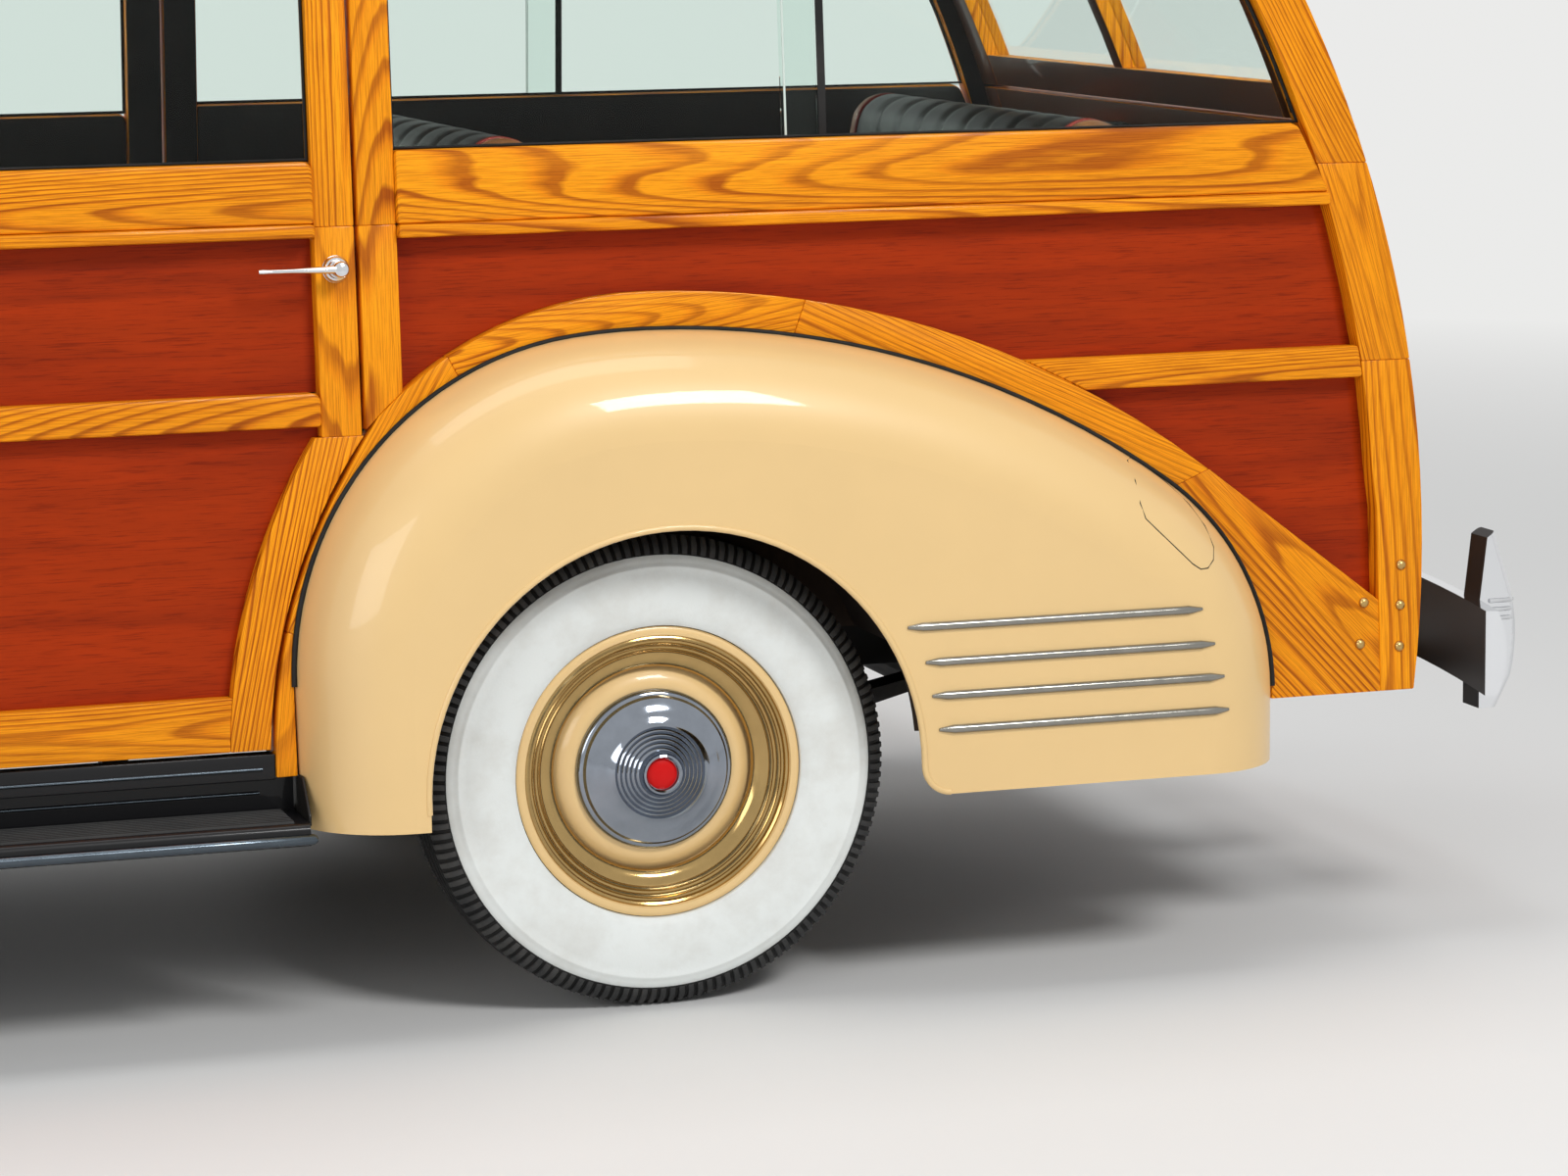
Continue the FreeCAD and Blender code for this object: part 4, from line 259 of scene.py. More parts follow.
def joined(name: str, pieces: Sequence[Piece]) -> Piece:
    """Join pieces of one finish into one object.

    Args:
        name: Name of the whole.
        pieces: The pieces; the first one stays.

    Returns:
        The whole.
    """
    deselect()
    for piece in pieces:
        piece.select_set(True)
    bpy.context.view_layer.objects.active = pieces[0]
    if len(pieces) > 1:
        bpy.ops.object.join()
    pieces[0].name = name
    pieces[0].data.name = name
    return pieces[0]


def spun(name: str, profile: Sequence[Flat], steps: int) -> Piece:
    """Spin a closed profile of (radius, height) once round the Y axis.

    Args:
        name: Name of the piece.
        profile: Corners of the section, in order.
        steps: Segments round the turn.

    Returns:
        The turned piece, its height along +Y.
    """
    piece = ring(name, [(radius, height, 0.0) for radius, height in profile], False)
    edit(piece)
    bpy.ops.mesh.spin(steps=steps, angle=2 * math.pi, center=(0, 0, 0), axis=(0, 1, 0))
    close_edit()
    return piece


def tube(name: str, path: Sequence[Sequence[float]], radius: float, sides: int = 2,
         closed: bool = False, flat: float = 1.0) -> Piece:
    """A round bar along a path.

    Args:
        name: Name of the piece.
        path: Points of its middle line.
        radius: Radius of the bar.
        sides: Resolution of its round section.
        closed: Whether the path is a ring.
        flat: Share of the radius that is left at both ends.

    Returns:
        The bar as a mesh.
    """
    curve = bpy.data.curves.new(name, "CURVE")
    curve.dimensions = "3D"
    curve.bevel_depth = radius
    curve.bevel_resolution = sides
    curve.use_fill_caps = not closed
    spline = curve.splines.new("POLY")
    spline.points.add(len(path) - 1)
    for point, place in zip(spline.points, path):
        point.co = (*place, 1.0)
    spline.use_cyclic_u = closed
    if not closed:
        spline.points[0].radius = flat
        spline.points[-1].radius = flat
    piece = bpy.data.objects.new(name, curve)
    bpy.context.scene.collection.objects.link(piece)
    activate(piece)
    bpy.ops.object.convert(target="MESH")
    edit(piece)
    close_edit()
    return piece


def turned(angle: float, axis: str) -> Matrix:
    """Matrix of a turn about an axis, in degrees."""
    return Matrix.Rotation(math.radians(angle), 4, axis)


def door_name(row: Row, side: Side) -> str:
    """Name of a door's body, and the stem of its nodes."""
    return "%s_door_%s" % (row.value, side.word)


def slab(outline: Sequence[Spot], way: Spot, ease: float, segments: int = 2,
         angle: float = 40) -> Piece:
    """Pull a flat outline into a solid and ease its edges.

    Args:
        outline: Its corners.
        way: How far it is pulled along each axis.
        ease: Rounding of its edges.
        segments: Facets across the rounding.
        angle: Edges sharper than this are rounded, in degrees.

    Returns:
        The solid.
    """
    piece = pulled(ring("slab", outline), way)
    rounded(piece, ease, segments, angle)
    return piece


def shifted(piece: Piece, matrix: Matrix) -> Piece:
    """Carry a piece's mesh to its place; its object stays at the origin."""
    piece.data.transform(matrix)
    if matrix.determinant() < 0:
        piece.data.flip_normals()
    return piece


def copied(piece: Piece, name: str) -> Piece:
    """A copy of a piece with its own mesh."""
    twin = bpy.data.objects.new(name, piece.data.copy())
    bpy.context.scene.collection.objects.link(twin)
    return twin


def fitted(piece: Piece, finish: Optional[Finish], body: str, slot: str,
           replaces: Iterable[str] = ()) -> Piece:
    """Dress a piece, set it on its body and report it.

    Args:
        piece: The finished piece in its place.
        finish: Its material, or None where its faces are dressed already.
        body: The body that it rides on.
        slot: Material slot of the record; not used.
        replaces: Nodes that it stands for.

    Returns:
        The piece.
    """
    if finish is not None:
        piece.data.materials.clear()
        piece.data.materials.append(finish)
    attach(piece, body)
    if replaces:
        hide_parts(*replaces)
    LOG.info("%s on %s", piece.name, body)
    return piece


def finished(name: str, pieces: Sequence[Piece], finish: Optional[Finish], slot: str,
             angle: float = 35, body: str = "car_body", replaces: Iterable[str] = ()) -> None:
    """Join pieces into one, smooth it, dress it and set it on its body.

    Args:
        name: Name of the whole.
        pieces: Its pieces in their places.
        finish: Its material, or None where its faces are dressed already.
        slot: Material slot of the record.
        angle: Edges flatter than this are shaded smooth, in degrees.
        body: The body that it rides on.
        replaces: Nodes that it stands for.
    """
    piece = joined(name, pieces)
    smooth(piece, angle)
    fitted(piece, finish, body, slot, replaces)


def arc_points(centre: Flat, radius: float, start: float, end: float, count: int) -> list[Flat]:
    """Points on a circle from one angle to another, in degrees.

    Args:
        centre: Centre of the circle.
        radius: Its radius.
        start: First angle.
        end: Last angle.
        count: Steps between them.

    Returns:
        The points, both ends included.
    """
    points = []
    for index in range(count + 1):
        angle = math.radians(start + (end - start) * index / count)
        points.append((centre[0] + radius * math.cos(angle), centre[1] + radius * math.sin(angle)))
    return points


# Finishes


class Graph:
    """The node tree of one material, or of the world."""

    def __init__(self, name: str, world: bool = False) -> None:
        """Start an empty tree with its output."""
        self.owner = (bpy.data.worlds if world else bpy.data.materials).new(name)
        self.owner.use_nodes = True
        self.tree = self.owner.node_tree
        self.tree.nodes.clear()
        self.output = self.node("OutputWorld" if world else "OutputMaterial")

    def node(self, kind: str, inputs: Optional[dict] = None, **settings: object) -> bpy.types.Node:
        """Add a node.

        Args:
            kind: Node type without its Shader prefix.
            inputs: Socket name or index to a value or an output socket.
            settings: Attributes of the node.

        Returns:
            The node.
        """
        made = self.tree.nodes.new("ShaderNode" + kind)
        for key, value in settings.items():
            setattr(made, key, value)
        for key, value in (inputs or {}).items():
            if isinstance(value, Socket):
                self.tree.links.new(value, made.inputs[key])
            else:
                made.inputs[key].default_value = value
        return made

    def coords(self, source: str = "Object", scale: Sequence[float] = (1, 1, 1)) -> Socket:
        """Object or UV coordinates at a scale."""
        place = self.node("TexCoord").outputs[source]
        return self.node("Mapping", {"Vector": place, "Scale": scale}).outputs["Vector"]

    def noise(self, vector: Socket, scale: float, detail: float = 3,
              roughness: float = 0.5, distortion: float = 0) -> Socket:
        """Noise from 0 to 1.

        Args:
            vector: Where it is read.
            scale: Cells in a metre.
            detail: Octaves.
            roughness: Weight of the finer octaves.
            distortion: How far the cells are pulled about.

        Returns:
            The noise.
        """
        made = self.node("TexNoise", {"Vector": vector, "Scale": scale, "Detail": detail,
                                      "Roughness": roughness, "Distortion": distortion})
        return made.outputs["Fac"]

    def math(self, operation: str, first: object, second: object = 0.0) -> Socket:
        """One sum on two values."""
        return self.node("Math", {0: first, 1: second}, operation=operation).outputs[0]

    def ramp(self, value: Socket,
             stops: Sequence[tuple[float, Sequence[float]]]) -> Socket:
        """Colours along a value.

        Args:
            value: What the colours follow.
            stops: Places from 0 to 1 with their colours.

        Returns:
            The colour.
        """
        made = self.node("ValToRGB", {"Fac": value})
        elements = made.color_ramp.elements
        while len(elements) < len(stops):
            elements.new(0.5)
        for element, (place, colour) in zip(elements, stops):
            element.position = place
            element.color = (*colour, 1) if len(colour) == 3 else colour
        return made.outputs["Color"]

    def mix(self, share: object, first: object, second: object,
            blend: str = "MIX") -> Socket:
        """Mix two colours."""
        made = self.node("Mix", {0: share, 6: first, 7: second}, data_type="RGBA",
                         blend_type=blend)
        return made.outputs[2]

    def bump(self, height: Socket, strength: float,
             distance: float) -> Socket:
        """A normal from a height."""
        return self.node("Bump", {"Height": height, "Strength": strength,
                                  "Distance": distance}).outputs[0]

    def eye_rays(self) -> Socket:
        """One for rays that the eye, a mirror or a pane sends, nought for the rest."""
        rays = self.node("LightPath").outputs
        total = rays["Is Camera Ray"]
        for kind in ("Is Glossy Ray", "Is Transmission Ray"):
            total = self.math("MAXIMUM", total, rays[kind])
        return total

    def blend(self, share: Socket, first: bpy.types.Node, second: bpy.types.Node) -> Finish:
        """Close the tree with a share of two shaders."""
        return self.close(self.node("MixShader", {0: share, 1: first.outputs[0],
                                                  2: second.outputs[0]}))

    def close(self, shader: bpy.types.Node) -> Finish:
        """Close the tree with a shader."""
        self.tree.links.new(shader.outputs[0], self.output.inputs["Surface"])
        return self.owner

    def surface(self, inputs: dict) -> Finish:
        """Close the tree with a principled surface."""
        return self.close(self.node("BsdfPrincipled", inputs))


@dataclass(frozen=True)
class VarnishedAsh:
    """Pale ring-porous wood under clear varnish; its pattern follows each board's UV map."""

    name: str = "varnished_ash"
    pale: Colour = (1.0, 0.375, 0.008)
    mid: Colour = (0.90, 0.285, 0.005)
    ring: Colour = (0.46, 0.105, 0.002)
    rings: float = 62.0

    def material(self) -> Finish:
        """Growth rings that break up along the board, pores and a varnish coat."""
        graph = Graph(self.name)
        broad = graph.noise(graph.coords("UV", (0.42, 4.4, 1)), 1.0, 0.6, 0.4, 0.1)
        wander = graph.noise(graph.coords("UV", (3.2, 30, 1)), 1.0, 2, 0.5)
        field = graph.math("ADD", graph.math("MULTIPLY", broad, self.rings),
                           graph.math("MULTIPLY", wander, 0.9))
        saw = graph.math("FRACT", field)
        figure = graph.ramp(saw, [(0.0, self.ring), (0.12, self.ring), (0.30, self.mid),
                                  (0.46, self.pale), (0.90, self.pale), (1.0, self.ring)])
        fade = graph.noise(graph.coords("UV", (1.1, 9, 1)), 1.0, 2, 0.5)
        share = graph.node("MapRange", {0: fade, 1: 0.35, 2: 0.60, 3: 0.45, 4: 1.0})
        figure = graph.mix(share.outputs[0], (*self.pale, 1), figure)
        pores = graph.noise(graph.coords("UV", (10, 560, 1)), 1.0, 4, 0.7)
        pore_lines = graph.ramp(pores, [(0.40, (0.50, 0.34, 0.20)), (0.55, (1, 1, 1))])
        wood = graph.mix(0.62, figure, pore_lines, "MULTIPLY")
        tone = graph.noise(graph.coords("UV", (0.7, 1.6, 1)), 1.3, 2)
        shade = graph.ramp(tone, [(0.32, (0.82, 0.74, 0.62)), (0.68, (1.0, 1.0, 1.0))])
        colour = graph.mix(0.9, wood, shade, "MULTIPLY")
        normal = graph.bump(pores, 0.12, 0.0006)
        return graph.surface({"Base Color": colour, "Roughness": 0.5, "Normal": normal,
                              "Specular IOR Level": 0.10, "Coat Weight": 0.10,
                              "Coat Roughness": 0.12})


@dataclass(frozen=True)
class VarnishedMahogany:
    """Red-brown panels with a fine straight grain along the car."""

    name: str = "varnished_mahogany"
    red: Colour = (0.345, 0.030, 0.0015)
    brown: Colour = (0.190, 0.014, 0.0010)

    def material(self) -> Finish:
        """Ribbon figure and short pores."""
        graph = Graph(self.name)
        ribbon = graph.noise(graph.coords("Object", (1.3, 6, 16)), 1.0, 4, 0.62, 0.4)
        base = graph.ramp(ribbon, [(0.20, self.brown), (0.56, self.red)])
        flame = graph.noise(graph.coords("Object", (2.5, 9, 34)), 1.0, 2, 0.5, 0.8)
        glow = graph.ramp(flame, [(0.45, (1, 1, 1)), (0.72, (1.30, 1.22, 1.1))])
        base = graph.mix(0.45, base, glow, "MULTIPLY")
        pores = graph.noise(graph.coords("Object", (16, 90, 460)), 1.0, 3, 0.65)
        lines = graph.ramp(pores, [(0.34, (0.45, 0.35, 0.30)), (0.48, (1, 1, 1))])
        colour = graph.mix(0.6, base, lines, "MULTIPLY")
        return graph.surface({"Base Color": colour, "Roughness": 0.5,
                              "Specular IOR Level": 0.08,
                              "Normal": graph.bump(pores, 0.10, 0.0005),
                              "Coat Weight": 0.08, "Coat Roughness": 0.14})


@dataclass(frozen=True)
class GlossPaint:
    """Polished body paint with faint orange peel and road film."""

    name: str
    colour: Colour
    roughness: float = 0.28
    coat: float = 1.0
    peel: float = 0.02
    film: float = 0.10
    shine: float = 0.5

    def material(self) -> Finish:
        """Colour with faint clouding under a clear coat."""
        graph = Graph(self.name)
        cloud = graph.noise(graph.coords(), 2.2, 4, 0.6)
        dull = tuple(value * (1 - self.film) for value in self.colour)
        tone = graph.ramp(cloud, [(0.3, dull), (0.7, self.colour)])
        peel = graph.noise(graph.coords(), 420, 2)
        return graph.surface({"Base Color": tone, "Roughness": self.roughness,
                              "Specular IOR Level": self.shine,
                              "Normal": graph.bump(peel, self.peel, 0.0004),
                              "Coat Weight": self.coat, "Coat Roughness": 0.05})


@dataclass(frozen=True)
class BrightMetal:
    """Chrome, brass or bare metal with faint polishing marks."""

    name: str
    colour: Colour = (0.74, 0.75, 0.77)
    roughness: float = 0.08
    marks: float = 0.10

    def material(self) -> Finish:
        """Metal whose gloss varies a little."""
        graph = Graph(self.name)
        haze = graph.noise(graph.coords(), 26, 4, 0.6)
        gloss = graph.node("MapRange", {0: haze, 1: 0.3, 2: 0.7, 3: self.roughness,
                                        4: self.roughness + self.marks})
        dark = tuple(value * 0.86 for value in self.colour)
        tint = graph.ramp(haze, [(0.3, dark), (0.7, self.colour)])
        return graph.surface({"Base Color": tint, "Metallic": 1.0,
                              "Roughness": gloss.outputs[0]})


@dataclass(frozen=True)
class BumperPlate:
    """Bright plate on the faces that look away from the car; the faces behind are black, a painted
    shade of the bar's shadowed back.
    """

    name: str = "bumper_plate"
    bright: Colour = (0.74, 0.75, 0.77)
    # back: black painted shade for the faces that turn towards the car.
    back: Colour = (0.012, 0.012, 0.013)

    def material(self) -> Finish:
        """Plate on the outer faces and black painted shade on the faces behind, chosen by the
        direction of each face.
        """
        graph = Graph(self.name)
        place = graph.node("TexCoord")
        spot = graph.node("SeparateXYZ", {0: place.outputs["Object"]})
        facing = graph.node("SeparateXYZ", {0: place.outputs["Normal"]})
        end = graph.math("SIGN", spot.outputs[0])
        outwards = graph.math("MULTIPLY", end, facing.outputs[0])
        # Faces that turn towards the car get the black painted shade instead of plate.
        plated = graph.math("GREATER_THAN", outwards, -0.45)
        haze = graph.noise(place.outputs["Object"], 22, 4, 0.6)
        gloss = graph.node("MapRange", {0: haze, 1: 0.3, 2: 0.7, 3: 0.06, 4: 0.14})
        rough = graph.mix(plated, (0.5, 0.5, 0.5, 1), gloss.outputs[0])
        tint = graph.mix(plated, (*self.back, 1), (*self.bright, 1))
        return graph.surface({"Base Color": tint, "Metallic": plated, "Roughness": rough})


@dataclass(frozen=True)
class Rubber:
    """Moulded rubber with dust in random patches."""

    name: str
    colour: Colour = (0.018, 0.018, 0.018)
    dust: Colour = (0.065, 0.060, 0.054)
    roughness: float = 0.62
    grain: float = 160.0

    def material(self) -> Finish:
        """Rubber with a fine skin."""
        graph = Graph(self.name)
        patches = graph.noise(graph.coords(), 11, 5, 0.65)
        tone = graph.ramp(patches, [(0.42, self.colour), (0.85, self.dust)])
        skin = graph.noise(graph.coords(), self.grain, 3)
        return graph.surface({"Base Color": tone, "Roughness": self.roughness,
                              "Specular IOR Level": 0.2,
                              "Normal": graph.bump(skin, 0.25, 0.0006)})


@dataclass(frozen=True)
class Leather:
    """Hide with a pebbled grain and rubbed patches at random."""

    name: str
    colour: Colour
    worn: Colour
    cell: float = 240.0

    def material(self) -> Finish:
        """Pebble grain and soft sheen."""
        graph = Graph(self.name)
        cells = graph.node("TexVoronoi", {"Vector": graph.coords(),
                                          "Scale": self.cell})
        wear = graph.noise(graph.coords(), 7, 5, 0.6)
        tone = graph.ramp(wear, [(0.42, self.colour), (0.78, self.worn)])
        return graph.surface({"Base Color": tone, "Roughness": 0.46,
                              "Specular IOR Level": 0.25,
                              "Normal": graph.bump(cells.outputs["Distance"], 0.22, 0.0006)})


@dataclass(frozen=True)
class Cloth:
    """Woven or coated cloth with a fine thread pattern."""

    name: str
    colour: Colour
    light: Colour
    threads: float = 900.0
    roughness: float = 0.85

    def material(self) -> Finish:
        """Two crossed thread waves over a clouded colour."""
        graph = Graph(self.name)
        place = graph.coords()
        warp = graph.node("TexWave", {"Vector": place, "Scale": self.threads / 6.2},
                          bands_direction="X")
        weft = graph.node("TexWave", {"Vector": place, "Scale": self.threads / 6.2},
                          bands_direction="Y")
        weave = graph.math("MULTIPLY", warp.outputs["Fac"], weft.outputs["Fac"])
        cloud = graph.noise(place, 5, 4)
        tone = graph.ramp(cloud, [(0.3, self.colour), (0.75, self.light)])
        return graph.surface({"Base Color": tone, "Roughness": self.roughness,
                              "Normal": graph.bump(weave, 0.2, 0.0005)})


@dataclass(frozen=True)
class WindowGlass:
    """Clear sheet glass with a faint green edge tint."""

    name: str = "window_glass"
    tint: Colour = (0.88, 0.95, 0.92)

    def material(self) -> Finish:
        """Glass that lets shadow rays through."""
        graph = Graph(self.name)
        smear = graph.noise(graph.coords(), 6, 3)
        gloss = graph.node("MapRange", {0: smear, 3: 0.0, 4: 0.03})
        shader = graph.node("BsdfPrincipled", {
            "Base Color": (*self.tint, 1), "Roughness": gloss.outputs[0],
            "Transmission Weight": 1.0, "IOR": 1.18})
        clear = graph.node("BsdfTransparent", {"Color": (*self.tint, 1)})
        shadow = graph.node("LightPath").outputs["Is Shadow Ray"]
        return graph.blend(shadow, shader, clear)


@dataclass(frozen=True)
class LampLens:
    """Ribbed lamp glass, clear or red."""

    name: str
    colour: Colour
    ribs: float = 95.0

    def material(self) -> Finish:
        """Glass with upright ribs."""
        graph = Graph(self.name)
        wave = graph.node("TexWave", {"Vector": graph.coords(),
                                      "Scale": self.ribs}, bands_direction="Y")
        return graph.surface({"Base Color": (*self.colour, 1), "Roughness": 0.12,
                              "Transmission Weight": 0.55, "IOR": 1.45,
                              "Normal": graph.bump(wave.outputs["Fac"], 0.4, 0.002)})


class Finishes:
    """Every finish of the car, made once."""

    def __init__(self) -> None:
        """Make the materials."""
        self.ash = VarnishedAsh().material()
        self.mahogany = VarnishedMahogany().material()
        self.cream = GlossPaint("cream_paint", (0.82, 0.565, 0.250), 0.40, 0.45,
                                0.012, 0.06).material()
        self.pane_edge = GlossPaint("pane_edge", (0.62, 0.72, 0.66), 0.3).material()
        self.bumper = BumperPlate().material()
        # Gold-brown darkened well below real plate: painted reflection of the dark ground in the
        # trim ring.
        self.trim_ring = BrightMetal("trim_ring", (0.46, 0.31, 0.125), 0.09, 0.08).material()
        # Darkened below real chrome: painted reflection of dark surroundings in the hub cap.
        self.cap_metal = BrightMetal("cap_metal", (0.30, 0.33, 0.38), 0.05, 0.05).material()
        # Near-black metal: painted dark reflection on the running board's bright edge and ridges.
        self.step_metal = BrightMetal("step_metal", (0.09, 0.11, 0.13), 0.16, 0.12).material()
        # Darkened chrome: painted reflection of the dark ground in the fender strips.
        self.strip_metal = BrightMetal("strip_metal", (0.30, 0.29, 0.26), 0.12, 0.10).material()
        self.lug_rubber = Rubber("lug_rubber", (0.036, 0.036, 0.036), (0.10, 0.096, 0.09),
                                 0.6).material()
        # Near-black trim on the boards' inward faces; its darkness also paints the shade inside
        # the cabin.
        self.dark_trim = Leather("cabin_trim_and_shade", (0.010, 0.009, 0.009),
                                 (0.024, 0.021, 0.019), 180).material()
        # Dark brown stain on the tail boards' inward faces; its darkness also paints the shade
        # inside the cabin.
        self.stained = GlossPaint("stained_wood", (0.105, 0.030, 0.010), 0.42, 0.4, 0.03,
                                  0.45).material()
        self.red = GlossPaint("red_paint", (0.64, 0.004, 0.004), 0.4, 0.1, film=0.15,
                              shine=0.15).material()
        self.black = GlossPaint("gloss_black", (0.007, 0.007, 0.008), 0.35, 0.25,
                                shine=0.15).material()
        self.frame_black = GlossPaint("frame_black", (0.012, 0.011, 0.010), 0.55, 0.1,
                                      0.10, 0.35, 0.2).material()
        self.iron = GlossPaint("engine_grey", (0.10, 0.11, 0.12), 0.55, 0.2, 0.12,
                               0.4).material()
        self.chrome = BrightMetal("polished_chrome").material()
        self.brass = BrightMetal("brass_bolts", (0.55, 0.36, 0.13), 0.22, 0.14).material()
        self.rubber = Rubber("moulded_rubber", (0.010, 0.010, 0.010),
                             (0.030, 0.028, 0.026)).material()
        self.tread = Rubber("step_rubber", (0.012, 0.012, 0.012), (0.03, 0.028, 0.026),
                            0.5, 300).material()
        self.whitewall = Rubber("whitewall", (0.80, 0.83, 0.81), (0.66, 0.66, 0.62), 0.42,
                                300).material()
        self.black_hide = Leather("black_leather", (0.012, 0.012, 0.013),
                                  (0.045, 0.043, 0.042)).material()
        self.tan_hide = Leather("tan_leather", (0.20, 0.072, 0.024),
                                (0.30, 0.125, 0.050)).material()
        self.red_hide = Leather("red_piping", (0.20, 0.014, 0.008), (0.30, 0.03, 0.02)).material()
        self.roof_cloth = Cloth("roof_cloth", (0.020, 0.019, 0.018), (0.042, 0.040, 0.037),
                                500).material()
        self.carpet = Cloth("carpet", (0.030, 0.018, 0.012), (0.055, 0.034, 0.022), 300,
                            0.95).material()
        self.glass = WindowGlass().material()
        self.head_lens = LampLens("head_lens", (0.92, 0.95, 0.95)).material()
        self.tail_lens = LampLens("tail_lens", (0.55, 0.010, 0.008)).material()
        self.bakelite = GlossPaint("steering_rim", (0.16, 0.085, 0.035), 0.22).material()


# Lines of the wooden body


def tail_x(height: float, inset: float = 0.0) -> float:
    """X of the tail's curve at a height."""
    drop = height - CAR.tail_centre[1]
    return CAR.tail_centre[0] + math.sqrt((CAR.tail_radius - inset) ** 2 - drop ** 2)


def rear_post_x(height: float) -> float:
    """X of the corner post's inner edge at a height."""
    if height < 0.7:
        return tail_x(CAR.tail_centre[1]) - CAR.rear_post + 0.005
    return tail_x(height) - CAR.rear_post - 0.003 * (height - 0.7)


def door_curve_x(height: float, gap: float = 0.0) -> float:
    """X of the rear door's curved edge at a height."""
    drop = height - CAR.door_curve[1]
    return CAR.door_curve[0] - math.sqrt((CAR.door_curve_radius + gap) ** 2 - drop ** 2)


def sloped_x(height: float, at_belt: float) -> float:
    """X of a line that slopes back with the windscreen above the belt."""
    rise = max(height - CAR.belt_high, 0)
    return at_belt + rise * math.tan(math.radians(CAR.screen_slope))


def bend_centre(large: float, small: float, angle: float) -> Flat:
    """Centre of the small arc that runs on from a fender's large one at an angle.

    Args:
        large: Radius of the large arc.
        small: Radius of the small arc.
        angle: Where they meet, in degrees.

    Returns:
        The centre in X and Z.
    """
    bend = math.radians(angle)
    return (CAR.rear_axle_x + (large - small) * math.cos(bend),
            CAR.arch_top - large + (large - small) * math.sin(bend))


def fender_line() -> list[Flat]:
    """Rear fender's outline on the body side, from its front foot to its rear foot."""
    axle, top = CAR.rear_axle_x, CAR.arch_top
    large, small, bend = CAR.fender_front
    front = arc_points(bend_centre(*CAR.fender_front), small, 180, bend, 26)[:-1]
    front += arc_points((axle, top - large), large, bend, 90, 4)
    large, small, bend = CAR.fender_rear
    rear = arc_points((axle, top - large), large, 90, bend, 22)[:-1]
    rear += arc_points(bend_centre(*CAR.fender_rear), small, bend, 0, 18)
    line = front[:-1] + rear
    return [(line[0][0], CAR.fender_foot)] + line + [(line[-1][0], CAR.fender_foot)]


def trim_line() -> list[Flat]:
    """Outer edge of the wood round the rear fender, from the sill over the top to the block."""
    axle = CAR.rear_axle_x
    top = CAR.arch_top + CAR.arch_trim
    door = [(door_curve_x(z, -CAR.gap), z)
            for z in (CAR.sill_z + 0.031 * i for i in range(16))]
    door.append((CAR.rear_door_x + CAR.gap, CAR.door_curve_top))
    meet = math.degrees(math.acos((CAR.rear_door_x + CAR.gap - axle) / CAR.trim_front))
    front = arc_points((axle, top - CAR.trim_front), CAR.trim_front, meet, 90, 20)
    rear = arc_points((axle, top - CAR.trim_rear), CAR.trim_rear, 90, 52, 22)
    return door + front[:-1] + rear


def crossing(line: Sequence[Flat], centre: Flat, angle: float) -> Flat:
    """Where a ray from a centre meets a line of points.

    Args:
        line: Points of the line.
        centre: Start of the ray.
        angle: Direction of the ray in degrees.

    Returns:
        The crossing, or the line's nearer end where the ray misses it.
    """
    ray = (math.cos(math.radians(angle)), math.sin(math.radians(angle)))
    for here, there in zip(line, line[1:]):
        step = (there[0] - here[0], there[1] - here[1])
        area = ray[0] * step[1] - ray[1] * step[0]
        if abs(area) < 1e-12:
            continue
        gap = (here[0] - centre[0], here[1] - centre[1])
        along = (gap[0] * step[1] - gap[1] * step[0]) / area
        share = (gap[0] * ray[1] - gap[1] * ray[0]) / area
        if along > 0 and -1e-9 <= share <= 1 + 1e-9:
            return (here[0] + step[0] * share, here[1] + step[1] * share)
    ends = (line[0], line[-1])
    return min(ends, key=lambda end: abs(math.degrees(math.atan2(
        end[1] - centre[1], end[0] - centre[0])) - (angle if angle <= 180 else angle - 360)))


def side_matrix(side: Side, taper: bool = False) -> Matrix:
    """Matrix that leans a side piece, drawn in X and Z, onto the body side.

    Args:
        side: Side of the car.
        taper: Whether the piece lies on the narrowing front half.

    Returns:
        The matrix.
    """
    lean = turned(side.value * CAR.lean, "X")
    foot = Vector((0, side.value * CAR.belt_half, CAR.belt_z))
    base = foot - lean @ Vector((0, 0, CAR.belt_z))
    placed = Matrix.Translation(base) @ lean
    if taper:
        post = Vector((CAR.b_post_x, side.value * CAR.belt_half, 0))
        turn = turned(side.value * CAR.taper, "Z")
        placed = Matrix.Translation(post) @ turn @ Matrix.Translation(-post) @ placed
    return placed


def skin_y(node: str, x: float, z: float, side: Side) -> Optional[float]:
    """Where a level line from outside meets a node's skin.

    Args:
        node: Node of the frame.
        x: Distance along the car.
        z: Height.
        side: Side that the line comes from.

    Returns:
        The Y of the skin, or None where the line misses it.
    """
    hit, place, _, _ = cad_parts[node].ray_cast(
        (x, side.value * 2.0, z), (0, -side.value, 0))
    return place.y if hit else None


def soft_box(span: Flat, heights: Flat, radii: Sequence[float]) -> list[Flat]:
    """Rectangle with rounded corners.

    Args:
        span: Its two ends in X.
        heights: Its lower and upper edge.
        radii: Rounding of the low near, low far, high far and high near corner.

    Returns:
        Its outline, anticlockwise.
    """
    (near, far), (low, high) = span, heights
    corners = ((near, low, 1, 1, 180), (far, low, -1, 1, 270), (far, high, -1, -1, 0),
               (near, high, 1, -1, 90))
    points = []
    for (x, z, way_x, way_z, start), radius in zip(corners, radii):
        if radius:
            centre = (x + way_x * radius, z + way_z * radius)
            points += arc_points(centre, radius, start, start + 90, 4)
        else:
            points.append((x, z))
    return points


